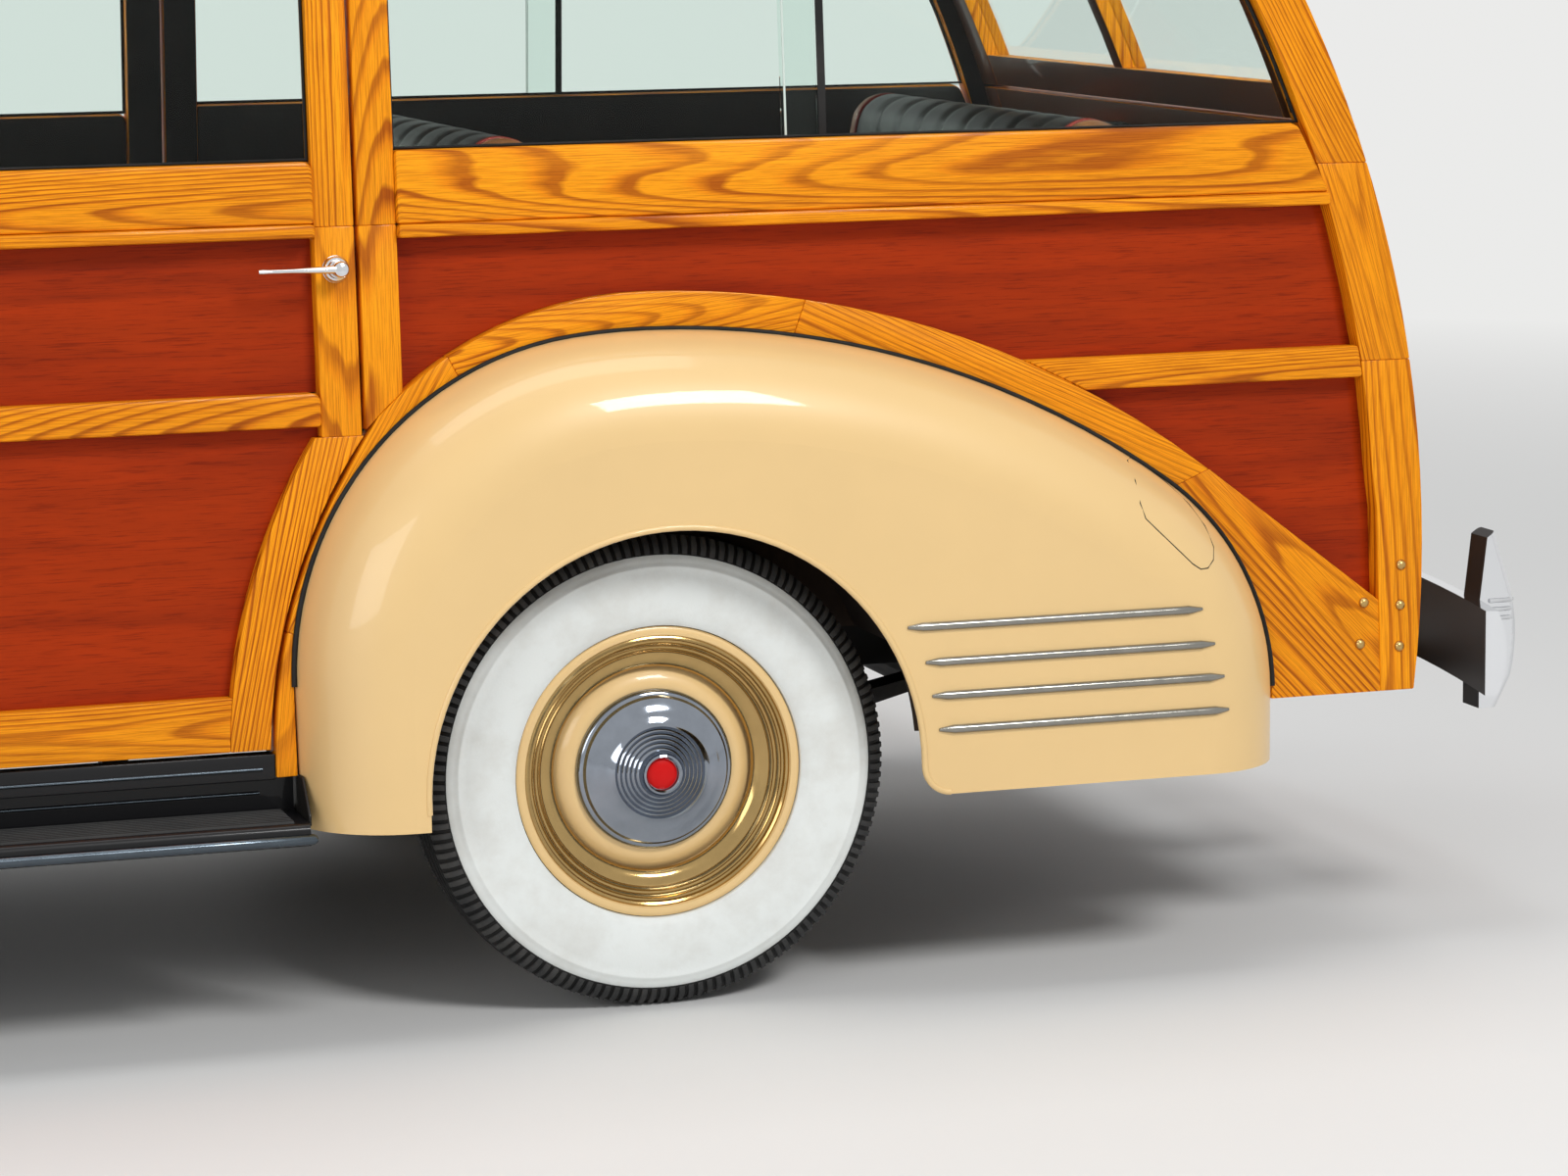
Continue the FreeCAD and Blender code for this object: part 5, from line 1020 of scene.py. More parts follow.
@dataclass
class Lumber:
    """The saw bench: boards with grain along them, eased edges and a finish on each side."""

    face: Finish
    # cabin: finish of the inward faces, dark enough to paint the cabin's shade as well.
    cabin: Finish
    seed: int
    inset: float = 0.010
    bend_step: float = 0.06

    def __post_init__(self) -> None:
        """Fix the seed, so that each board keeps its figure."""
        self.chance = random.Random(self.seed)

    def grain(self, piece: Piece, angle: float, across: int = 1) -> None:
        """Lay a board's UV map in metres, along and across its grain.

        Args:
            piece: The board in its flat drawing.
            angle: Direction of the grain from X, in degrees.
            across: Index of the axis through the board's thickness.
        """
        offset = (self.chance.uniform(0, 40), self.chance.uniform(0, 40))
        cosine, sine = math.cos(math.radians(angle)), math.sin(math.radians(angle))
        first, second = [axis for axis in range(3) if axis != across]
        layer = piece.data.uv_layers.get("grain") or piece.data.uv_layers.new(name="grain")
        layer.active_render = True
        for other in [item for item in piece.data.uv_layers if item.name != "grain"]:
            piece.data.uv_layers.remove(other)
        layer = piece.data.uv_layers["grain"]
        for loop in piece.data.loops:
            place = piece.data.vertices[loop.vertex_index].co
            along = place[first] * cosine + place[second] * sine
            over = place[second] * cosine - place[first] * sine + place[across]
            layer.data[loop.index].uv = (along + offset[0], over + offset[1])

    def mark_inner(self, piece: Piece, way: Sequence[float]) -> None:
        """Give the faces that look into the cabin their own finish.

        Args:
            piece: The board in its flat drawing.
            way: Direction of the cabin in that drawing.
        """
        piece.data.materials.append(self.face)
        piece.data.materials.append(self.cabin)
        inwards = Vector(way)
        for polygon in piece.data.polygons:
            polygon.material_index = 1 if polygon.normal.dot(inwards) > 0.5 else 0

    def board(self, outline: Sequence[Flat], side: Side, grain: float = 0.0,
              proud: float = 0.0, ease: float = EASE, taper: bool = False) -> Piece:
        """Saw one board of a body side.

        Args:
            outline: Corners in X and Z.
            side: Side of the car.
            grain: Direction of the grain in degrees.
            proud: How far it stands out of the side's skin.
            ease: Rounding of its edges.
            taper: Whether it lies on the narrowing front half.

        Returns:
            The board on the car.
        """
        sign = side.value
        piece = slab([(x, sign * proud, z) for x, z in outline], (0, -sign * CAR.wood, 0), ease,
                     angle=35)
        self.grain(piece, grain)
        self.mark_inner(piece, (0, -sign, 0))
        return shifted(piece, side_matrix(side, taper))

    def bent(self, span: Flat, heights: Flat, grain: float,
             lean: Optional[Side] = None) -> Piece:
        """Shape one board of the tail, curved like the body's end.

        Args:
            span: Its two ends in Y.
            heights: Its lower and upper edge.
            grain: Direction of the grain from Y, in degrees.
            lean: Side whose slope the board's outer end follows, if any.

        Returns:
            The board on the car.
        """
        low, high = heights
        steps = max(2, round((high - low) / self.bend_step))
        rises = [low + (high - low) * i / steps for i in range(steps + 1)]
        section = [(tail_x(z, self.inset), span[0], z) for z in rises]
        section += [(tail_x(z, self.inset + CAR.wood), span[0], z) for z in reversed(rises)]
        piece = pulled(ring("board", section), (0, span[1] - span[0], 0))
        if lean is not None:
            outer = max(span, key=abs)
            for vertex in piece.data.vertices:
                if abs(vertex.co.y - outer) < 1e-5:
                    rise = vertex.co.z - (low + high) / 2
                    vertex.co.y -= lean.value * rise * math.tan(math.radians(CAR.lean))
        rounded(piece, EASE, 2, 35)
        self.grain(piece, grain, across=0)
        self.mark_inner(piece, (-1, 0, 0))
        return piece


# Sub-assemblies


@dataclass
class SideJoinery:
    """What the woodwork of one body side shares with its doors."""

    finishes: Finishes
    lumber: Lumber
    side: Side
    proud: float = 0.011
    lip_proud: float = 0.017
    lip_height: float = 0.020
    rail_proud: float = 0.008
    soft: float = 0.006

    def saw(self, outline: Sequence[Flat], grain: float = 0.0, proud: float = 0.0,
            ease: float = EASE, taper: bool = False) -> Piece:
        """One board of this side from its corners."""
        return self.lumber.board(outline, self.side, grain, proud, ease, taper)

    def plank(self, near: float, far: float, low: float, high: float, grain: float = 0.0,
              proud: float = 0.0, ease: float = EASE, taper: bool = False) -> Piece:
        """One straight board between two X values and two heights."""
        outline = [(near, low), (far, low), (far, high), (near, high)]
        return self.saw(outline, grain, proud, ease, taper)


@dataclass
class SideWood(SideJoinery):
    """Ash framing of one body side: posts, rails and the trim round the rear fender."""

    trim_proud: float = 0.004
    post_proud: float = 0.002
    corner_proud: float = 0.006
    trim_stops: Spot = (160.0, 117.0, 69.0)
    belt_low: float = 1.170
    post_head: float = 1.715
    sill_top: float = 0.426
    corner_lengths: tuple[Spot, ...] = (
        (0.405, 0.925, 90), (0.925, 1.234, 104), (1.234, 1.660, 116))

    def __post_init__(self) -> None:
        """Work out the edges of the posts."""
        self.half = CAR.b_post_width / 2
        self.c_front = CAR.rear_door_x + CAR.gap
        self.c_rear = self.c_front + CAR.c_post
        self.a_rear = CAR.front_door_x - CAR.gap

    def ray_angle(self, point: Flat) -> float:
        """Direction of a point of the trim from the middle of its rays, in degrees."""
        return math.degrees(math.atan2(point[1] - CAR.ray_centre[1],
                                       point[0] - CAR.ray_centre[0]))

    def trim_board(self, start: float, end: float) -> Piece:
        """One sawn segment of the fender trim between two ray angles.

        Args:
            start: Angle of its first end, in degrees.
            end: Angle of its last end.

        Returns:
            The board.
        """
        count = max(6, round(abs(start - end) / 4))
        angles = [start + (end - start) * i / count for i in range(count + 1)]
        low, high = [[crossing(line, CAR.ray_centre, angle) for angle in angles]
                     for line in (fender_line(), trim_line())]
        grain = math.degrees(math.atan2(high[-1][1] - high[0][1], high[-1][0] - high[0][0]))
        return self.saw(low + high[::-1], grain, self.trim_proud)

    def trim(self) -> list[Piece]:
        """The jointed trim and the wide block at its rear foot."""
        outer, inner = trim_line(), fender_line()
        corner, foot = outer[-1], [point for point in outer if point[1] < 0.42][0]
        end = self.ray_angle(corner)
        stops = [360 + self.ray_angle(foot) - 0.3, *self.trim_stops, end]
        boards = [self.trim_board(here, there) for here, there in zip(stops, stops[1:])]
        start = crossing(inner, CAR.ray_centre, end)
        low = CAR.quarter_low
        lower = [point for point in inner if point[0] > start[0] and low < point[1] < start[1]]
        post, slope = rear_post_x(0.6), math.tan(math.radians(38))
        boards.append(self.saw([start] + lower + [
            (inner[-1][0], low), (post, low),
            (post, corner[1] - slope * (post - corner[0])), corner], -46, self.trim_proud))
        return boards

    def rails(self) -> list[Piece]:
        """Rails of the quarter, sills and roof rails."""
        low, high = CAR.roof_rail_low, CAR.roof_rail_high
        belt, lip, top = self.belt_low, self.belt_low + self.lip_height, CAR.quarter_belt
        belt_x, top_x = rear_post_x(belt), rear_post_x(top)
        ends = [CAR.rear_axle_x + math.sqrt(CAR.trim_rear ** 2 - (z + 0.382) ** 2)
                for z in (CAR.mid_low, CAR.mid_high)]
        mid = [(ends[0], CAR.mid_low), (rear_post_x(CAR.mid_low), CAR.mid_low),
               (rear_post_x(CAR.mid_high), CAR.mid_high), (ends[1], CAR.mid_high)]
        return [
            self.saw([(self.c_rear, lip), (belt_x, lip), (top_x - 0.004, top - 0.016),
                      (top_x - 0.010, top - 0.005), (top_x - 0.022, top), (self.c_rear, top)],
                     0, self.proud, self.soft),
            self.plank(self.c_rear, belt_x, belt, lip, 0, self.lip_proud, self.soft),
            self.saw(mid, 0, self.rail_proud, self.soft),
            self.saw([(CAR.b_post_x, low), (tail_x(low), low), (tail_x(high), high),
                      (CAR.b_post_x, high)]),
            self.saw([(sloped_x(low, self.a_rear), low), (CAR.b_post_x, low),
                      (CAR.b_post_x, high), (sloped_x(high, self.a_rear), high)], taper=True)]

    def sills(self) -> None:
        """Black painted sills under the doors."""
        low, high, post = CAR.sill_z, self.sill_top, CAR.b_post_x + self.half
        boards = [
            self.saw([(post, low), (door_curve_x(0.4, -CAR.gap), low),
                      (door_curve_x(high, -CAR.gap), high), (post, high)]),
            self.plank(self.a_rear, CAR.b_post_x - self.half, low, high, taper=True)]
        finished(self.side.word + "_sills", boards, self.finishes.black, "black_paint")

    def posts(self) -> list[Piece]:
        """The four posts, each in two lengths or three with butt joints."""
        boards = [self.plank(CAR.b_post_x - self.half, CAR.b_post_x + self.half, low, high, 90)
                  for low, high in ((CAR.sill_z, CAR.butt), (CAR.butt, CAR.rail_foot))]
        foot = []
        for x in (self.c_front, self.c_front + CAR.c_post / 2, self.c_rear):
            reach = x - CAR.rear_axle_x
            foot.append((x, 0.493 + math.sqrt(CAR.trim_front ** 2 - reach ** 2)))
        boards.append(self.saw(foot + [(self.c_rear, CAR.butt), (self.c_front, CAR.butt)],
                               90, self.post_proud))
        boards.append(self.plank(self.c_front, self.c_rear, CAR.butt, CAR.rail_foot, 90,
                                 self.post_proud))
        a_front, belt, head = self.a_rear - CAR.a_post, CAR.belt_high, self.post_head
        boards.append(self.plank(a_front, self.a_rear, CAR.sill_z, belt, 90, taper=True))
        boards.append(self.saw([(a_front, belt), (self.a_rear, belt),
                                (sloped_x(head, self.a_rear), head),
                                (sloped_x(head, a_front), head)], 63, taper=True))
        for low, high, grain in self.corner_lengths:
            rises = [low + (high - low) * i / 9 for i in range(10)]
            outline = [(rear_post_x(z), z) for z in rises]
            outline += [(tail_x(z), z) for z in reversed(rises)]
            boards.append(self.saw(outline, grain, self.corner_proud))
        return boards

    def build(self) -> None:
        """Saw, join and hang the side's woodwork."""
        word = self.side.word
        finished(word + "_side_boards", self.trim() + self.rails() + self.posts(), None, "ash",
                 replaces=["side_frame_" + word])
        self.sills()


@dataclass
class DoorWood(SideJoinery):
    """Ash frame of one door: stiles, rails and the standing belt rail."""

    row: Row = Row.FRONT
    bend_foot: float = 0.45

    def rectangle(self, near: float, far: float, low: float, high: float, grain: float = 0.0,
                  proud: float = 0.0, ease: float = EASE) -> Piece:
        """A straight board of this door."""
        return self.plank(near, far, low, high, grain, proud, ease, self.row is Row.FRONT)

    def moulding(self, span: Flat, heights: Flat, proud: float) -> Piece:
        """A standing rail whose upper corners are rounded off."""
        return self.saw(soft_box(span, heights, (0, 0, 0.014, 0.014)), 0, proud, self.soft,
                        self.row is Row.FRONT)

    def curved_stile(self) -> Piece:
        """Lower rear stile of a rear door, which follows the fender's curve."""
        top = CAR.door_curve_top
        heights = [CAR.door_z + (top - CAR.door_z) * i / 16 for i in range(17)]
        outer = [(door_curve_x(z), z) for z in heights]
        inner = [(door_curve_x(max(z, self.bend_foot), CAR.stile), z) for z in reversed(heights)]
        return self.saw(outer + [(CAR.rear_door_x, top), (CAR.rear_door_x - CAR.stile, top)]
                        + inner, 76)

    def front_boards(self, near: float, left: float, right: float, far: float) -> list[Piece]:
        """Boards that only a front door has, with its sloped window.

        Args:
            near: Front edge of the door.
            left: Rear edge of its front stile.
            right: Front edge of its rear stile.
            far: Rear edge of the door.

        Returns:
            The boards.
        """
        top, rail = CAR.door_top, CAR.door_top - CAR.top_rail
        belt = CAR.belt_high
        return [
            self.rectangle(right, far, CAR.door_z, CAR.butt, 90),
            self.rectangle(near, left, CAR.butt, belt, 90),
            self.rectangle(left, right, CAR.door_z, CAR.bottom_rail_z),
            self.saw([(near, belt), (left, belt), (sloped_x(top, left), top),
                      (sloped_x(top, near), top)], 63, taper=True),
            self.saw([(sloped_x(rail, left), rail), (right, rail), (right, top),
                      (sloped_x(top, left), top)], taper=True)]

    def rear_boards(self, near: float, left: float, right: float, far: float) -> list[Piece]:
        """Boards that only a rear door has, with its curved foot.

        Args:
            near: Front edge of the door.
            left: Rear edge of its front stile.
            right: Front edge of its rear stile.
            far: Rear edge of the door.

        Returns:
            The boards.
        """
        top, rail = CAR.door_top, CAR.door_top - CAR.top_rail
        inner = [(door_curve_x(z, CAR.stile), z)
                 for z in (self.bend_foot, 0.47, 0.49, CAR.bottom_rail_z)]
        return [
            self.rectangle(right, far, CAR.door_curve_top, CAR.butt, 90),
            self.curved_stile(),
            self.rectangle(near, left, CAR.butt, top, 90),
            self.rectangle(left, right, rail, top),
            self.saw([(left, CAR.door_z), (inner[0][0], CAR.door_z)] + inner
                     + [(left, CAR.bottom_rail_z)])]

    def build(self) -> None:
        """Saw the frame and hang it on the door."""
        near, far = CAR.door_span(self.row)
        left, right = near + CAR.stile, far - CAR.stile
        lip = CAR.belt_low + self.lip_height
        boards = [
            self.rectangle(near, left, CAR.door_z, CAR.butt, 90),
            self.rectangle(right, far, CAR.butt, CAR.door_top, 90),
            self.moulding((left, right), (CAR.mid_low, CAR.mid_high), self.rail_proud),
            self.moulding((left, right), (lip, CAR.belt_high), self.proud),
            self.rectangle(left, right, CAR.belt_low, lip, 0, self.lip_proud, self.soft)]
        own = self.front_boards if self.row is Row.FRONT else self.rear_boards
        boards += own(near, left, right, far)
        body = door_name(self.row, self.side)
        finished("%s_%s_door_boards" % (self.row.value, self.side.word), boards, None, "ash",
                 body=body, replaces=[body + "_frame"])


@dataclass
class TailWood:
    """Ash framing of the tailgate, the liftgate and the bars round them."""

    lumber: Lumber
    stile: float = 0.070
    divider: float = 0.040
    clearance: float = 0.0546
    bars: tuple[Flat, ...] = ((0.405, 0.694), (1.654, 1.715))
    bar_reach: float = 0.0095

    def half(self, height: float) -> float:
        """Half width between the leaning sides at a height."""
        lean = math.tan(math.radians(CAR.lean))
        return CAR.belt_half + lean * (CAR.belt_z - height) - self.clearance

    def gate(self, stem: str, heights: Flat, rail: float, divider: float,
             inner: float) -> None:
        """One gate: two stiles, two rails and a divider.

        Args:
            stem: Name of the gate and of its body.
            heights: Lower and upper edge.
            rail: Height of its rails.
            divider: Width of the middle bar.
            inner: Half width between its stiles.
        """
        low, high = heights
        bent = self.lumber.bent
        boards = []
        for side in Side:
            ends = sorted((side.value * inner, side.value * self.half((low + high) / 2)))
            boards.append(bent((ends[0], ends[1]), heights, 90, side))
        boards.append(bent((-inner, inner), (low, low + rail), 0))
        boards.append(bent((-inner, inner), (high - rail, high), 0))
        boards.append(bent((-divider / 2, divider / 2), (low + rail, high - rail), 90))
        finished(stem + "_boards", boards, None, "ash", body=stem, replaces=[stem + "_frame"])

    def build(self) -> None:
        """Build both gates and the two fixed bars."""
        inner = CAR.belt_half - CAR.wood - self.stile
        self.gate("tailgate", (0.700, 1.292), self.stile, self.stile, inner)
        self.gate("liftgate", (1.298, 1.648), self.stile - 0.014, self.divider, inner - 0.018)
        boards = []
        for low, high in self.bars:
            half = self.half((low + high) / 2) + self.bar_reach
            for side in Side:
                ends = sorted((0.0, side.value * half))
                boards.append(self.lumber.bent((ends[0], ends[1]), (low, high), 0, side))
        finished("rear_bars", boards, None, "ash", replaces=["rear_crossbars"])


@dataclass
class Wheel:
    """A pressed wheel with its hub cap and whitewall tyre, its face towards +Y."""

    finishes: Finishes
    rim: float = 0.221
    seat: float = 0.204
    half: float = 0.070
    well: float = 0.178
    cap: float = 0.122
    face: float = 0.040
    bore: float = 0.041
    stud_circle: float = 0.0635
    stud_hole: float = 0.007
    spare: Spot = (2.276, 0.0, 0.9053)
    tyre: float = 0.360
    tyre_half: float = 0.085
    lugs: int = 144
    lug_share: float = 0.56
    lug_radius: float = 0.345
    steps: int = 96
    tyre_steps: int = 128

    def rim_section(self) -> list[Flat]:
        """Outside of the rim's section, from its outer lip over the well to its inner side."""
        rim, seat, half, well = self.rim, self.seat, self.half, self.well
        return [
            (rim - 0.008, half), (rim - 0.003, half - 0.0006), (rim, half - 0.003),
            (rim - 0.001, half - 0.006), (rim - 0.005, half - 0.008), (seat, half - 0.012),
            (seat, 0.034), (well, 0.022), (well, -0.022), (seat, -0.034),
            (seat, 0.012 - half), (rim - 0.003, 0.007 - half), (rim, 0.003 - half),
            (rim - 0.008, -half), (seat - 0.005, 0.008 - half), (seat - 0.005, -0.037),
            (well - 0.005, -0.025), (well - 0.005, 0.012)]

    def out(self, rows: Iterable[Flat]) -> list[Flat]:
        """Corners whose heights count from the disc's face."""
        return [(radius, self.face + height) for radius, height in rows]

    def disc(self, name: str) -> Piece:
        """Rim and recessed disc as one pressing, with the drum behind it."""
        seat, half, well = self.seat, self.half, self.well
        profile = self.rim_section() + self.out(((0.150, -0.024), (0.110, -0.012))) + [
            (0.110, -0.008), (0.138, -0.008), (0.138, -0.052), (0.030, -0.052),
            (0.030, -0.060), (0.0, -0.060)]
        profile += self.out((
            (0.0, -0.001), (0.118, -0.001), (0.126, 0.0005), (0.135, -0.0010),
            (0.143, -0.0050), (0.150, -0.0110), (0.158, -0.0170))) + [
            (well - 0.003, 0.025), (well + 0.004, 0.029), (seat - 0.008, 0.036),
            (seat - 0.005, 0.040), (seat - 0.005, half - 0.013), (seat + 0.002, half - 0.005),
            (self.rim - 0.013, half - 0.0005)]
        return spun(name, profile, self.steps)

    def bare_disc(self, name: str) -> Piece:
        """The spare's disc: no cap, an open bore and five stud holes."""
        seat, half, face, well = self.seat, self.half, self.face, self.well
        profile = self.rim_section() + [
            (well - 0.034, face - 0.010), (0.110, face - 0.006), (0.088, 0.022),
            (self.bore, 0.022), (self.bore, 0.027), (0.086, 0.027), (0.112, face - 0.001),
            (0.140, face + 0.001), (well - 0.030, face - 0.001), (well - 0.012, face - 0.014),
            (well - 0.003, 0.025), (well + 0.004, 0.029), (seat - 0.005, 0.040),
            (seat - 0.005, half - 0.013), (seat + 0.002, half - 0.005),
            (self.rim - 0.013, half - 0.0005)]
        piece = spun(name, profile, self.steps)
        drills = []
        for index in range(5):
            angle = math.radians(90 + 72 * index)
            middle = (self.stud_circle * math.cos(angle), self.stud_circle * math.sin(angle))
            drill = ring("drill_%d" % index, [
                (x, -0.01, z) for x, z in arc_points(middle, self.stud_hole, 0, 345, 23)])
            drills.append(pulled(drill, (0, 0.08, 0)))
        cutter = joined("drills", drills)
        applied(piece, "BOOLEAN", object=cutter, solver="EXACT")
        bpy.data.objects.remove(cutter)
        return piece

    def trim_ring(self, name: str) -> Piece:
        """Polished ring inside the rim, stepped down towards the disc."""
        front = [
            (0.2065, 0.0660), (0.2035, 0.0674), (0.2005, 0.0655), (0.1985, 0.0610),
            (0.1955, 0.0602), (0.1930, 0.0620), (0.1905, 0.0600), (0.1885, 0.0556),
            (0.1855, 0.0545), (0.1830, 0.0563), (0.1805, 0.0540), (0.1785, 0.0500),
            (0.1750, 0.0485), (0.1700, 0.0478), (0.1640, 0.0455), (0.1590, 0.0420),
            (0.1560, 0.0385), (0.1548, 0.0350)]
        back = [
            (0.1560, 0.0340), (0.1600, 0.0385), (0.1700, 0.0445), (0.1800, 0.0475),
            (0.1900, 0.0530), (0.2000, 0.0585), (0.2050, 0.0620)]
        return spun(name, front + back, self.steps)

    def hub_cap(self, name: str) -> Piece:
        """Pressed cap with ridges round its middle."""
        cap = self.cap
        rows = [(0.0, 0.046), (0.024, 0.046), (0.0245, 0.052), (0.027, 0.0545), (0.030, 0.053),
                (0.031, 0.047)]
        profile, crest = self.out(rows), 0.034
        while crest < 0.074:
            height = self.face + 0.046 - (crest - 0.030) * 0.30
            profile += [(crest, height - 0.0012), (crest + 0.0022, height + 0.0012),
                        (crest + 0.0044, height - 0.0004)]
            crest += 0.0068
        rows = [(0.080, 0.0285), (0.088, 0.0262), (0.096, 0.0222), (0.104, 0.0185),
                (0.110, 0.0165), (0.1135, 0.0120), (0.117, 0.0112), (0.1205, 0.0082),
                (cap, 0.004), (cap, 0.0004), (cap - 0.004, 0.0), (0.0, 0.0)]
        return spun(name, profile + self.out(rows), self.steps)

    def hub_centre(self, name: str) -> Piece:
        """Plain round button in the middle of the cap."""
        rows = [(0.0, 0.0510), (0.010, 0.0506), (0.018, 0.0492), (0.0235, 0.0466),
                (0.0235, 0.044), (0.0, 0.044)]
        return spun(name, self.out(rows), 64)

    def whitewall(self, name: str) -> Piece:
        """White band of the outer sidewall, with a step at each edge."""
        half = self.tyre_half
        profile = [(0.2222, 0.0690), (0.2228, 0.0722), (0.2260, 0.0752), (0.236, half - 0.0060),
                   (0.250, half - 0.0022), (0.268, half - 0.0002), (0.282, half),
                   (0.298, half - 0.0008), (0.3095, half - 0.0025), (0.3115, half - 0.0018),
                   (0.3140, half - 0.0022), (0.3160, half - 0.0039), (0.3210, half - 0.0056),
                   (0.3260, half - 0.0079), (0.3300, half - 0.0108), (0.326, half - 0.015),
                   (0.298, half - 0.010),
                   (0.250, half - 0.014), (0.2222, 0.062)]
        return spun(name, profile, self.tyre_steps)

    def carcass(self, name: str) -> Piece:
        """Tread with ribs, black shoulders and beads."""
        half, outer = self.tyre_half, self.tyre
        right = [(0.206, 0.052), (0.214, 0.058), (0.2225, 0.0625), (0.2265, 0.0680),
                 (0.236, half - 0.0110), (0.268, half - 0.0060), (0.298, half - 0.0060),
                 (0.324, half - 0.0120), (0.3290, half - 0.0112), (0.3310, half - 0.0085),
                 (0.3345, half - 0.0115), (0.343, half - 0.0170), (0.3485, half - 0.0225),
                 (0.3525, half - 0.0280)]
        ribs = []
        for edge in (0.046, 0.029, 0.012):
            ribs += [(0.3560 + (0.059 - edge) * 0.07, edge + 0.004),
                     (0.3505, edge + 0.003), (0.3505, edge - 0.001),
                     (0.3560 + (0.059 - edge) * 0.07, edge - 0.002)]
        tread = ribs + [(outer - 0.0002, 0.0)]
        outside = right + tread
        mirror = [(radius, -height) for radius, height in reversed(outside[:-1])]
        inner = [(0.206, -0.040), (0.240, -0.062), (0.318, -0.058), (0.336, 0.0),
                 (0.318, 0.058), (0.240, 0.062), (0.206, 0.040)]
        return spun(name, outside + mirror + inner, self.tyre_steps)

    def lug_ring(self, name: str) -> Piece:
        """Moulded lugs round both shoulders."""
        half = self.tyre_half
        width = self.lug_share * 2 * math.pi * self.lug_radius / self.lugs
        outline = [(radius, -width / 2, half - drop) for radius, drop in (
            (0.3320, 0.0085), (0.3400, 0.0108), (0.3490, 0.0170), (0.3575, 0.0290),
            (0.3570, 0.0370), (0.3500, 0.0360), (0.3400, 0.0220), (0.3290, 0.0140))]
        lug = shifted(slab(outline, (0, width, 0), 0.0008, 1, 50), turned(-90, "X"))
        step, flip = 360 / self.lugs, Matrix.Scale(-1, 4, (0, 1, 0))
        copies = [lug]
        for index in range(1, 2 * self.lugs):
            turn = turned(step * (index % self.lugs), "Y")
            if index >= self.lugs:
                turn = turn @ turned(step / 2, "Y") @ flip
            copies.append(shifted(copied(lug, "lug"), turn))
        return joined(name, copies)

    def place(self, row: Row, side: Side) -> Matrix:
        """Matrix of one wheel's place."""
        x = CAR.front_axle_x if row is Row.FRONT else CAR.rear_axle_x
        turn = turned(180 if side is Side.LEFT else 0, "Z")
        return Matrix.Translation((x, side.value * CAR.wheel_y, CAR.wheel_z)) @ turn

    def build(self) -> None:
        """Make one wheel and set a copy of it on each hub and in the back."""
        kit = self.finishes
        masters = [
            (self.disc("disc"), kit.cream, "wheel_paint", "wheel"),
            (self.trim_ring("trim_ring"), kit.trim_ring, "chrome", ""),
            (self.hub_cap("hub_cap"), kit.cap_metal, "chrome", ""),
            (self.hub_centre("hub_centre"), kit.red, "wheel_paint", ""),
            (self.carcass("carcass"), kit.rubber, "tyre_rubber", "tyre"),
            (self.whitewall("whitewall"), kit.whitewall, "tyre_rubber", ""),
            (self.lug_ring("lugs"), kit.lug_rubber, "tyre_rubber", "")]
        for master, _, _, _ in masters:
            smooth(master, 32)
        for row in Row:
            for side in Side:
                stem, place = "%s_%s_" % (row.value, side.word), self.place(row, side)
                for master, finish, slot, stands_for in masters:
                    twin = shifted(copied(master, stem + master.name), place)
                    nodes = ["%s_%s_%s" % (row.value, stands_for, side.word)] if stands_for else []
                    fitted(twin, finish, stem + "wheel", slot, nodes)
        self.build_spare(masters)
        for master, _, _, _ in masters:
            bpy.data.objects.remove(master)

    def build_spare(self, masters: Sequence[tuple]) -> None:
        """The spare wheel on its studs in the back, its face forwards."""
        place = Matrix.Translation(self.spare) @ turned(90, "Z")
        disc = self.bare_disc("spare_disc")
        smooth(disc, 32)
        fitted(shifted(disc, place), self.finishes.cream, "car_body", "wheel_paint",
               ["spare_wheel"])
        for master, finish, slot, _ in masters[-3:]:
            fitted(shifted(copied(master, "spare_" + master.name), place), finish, "car_body",
                   slot)


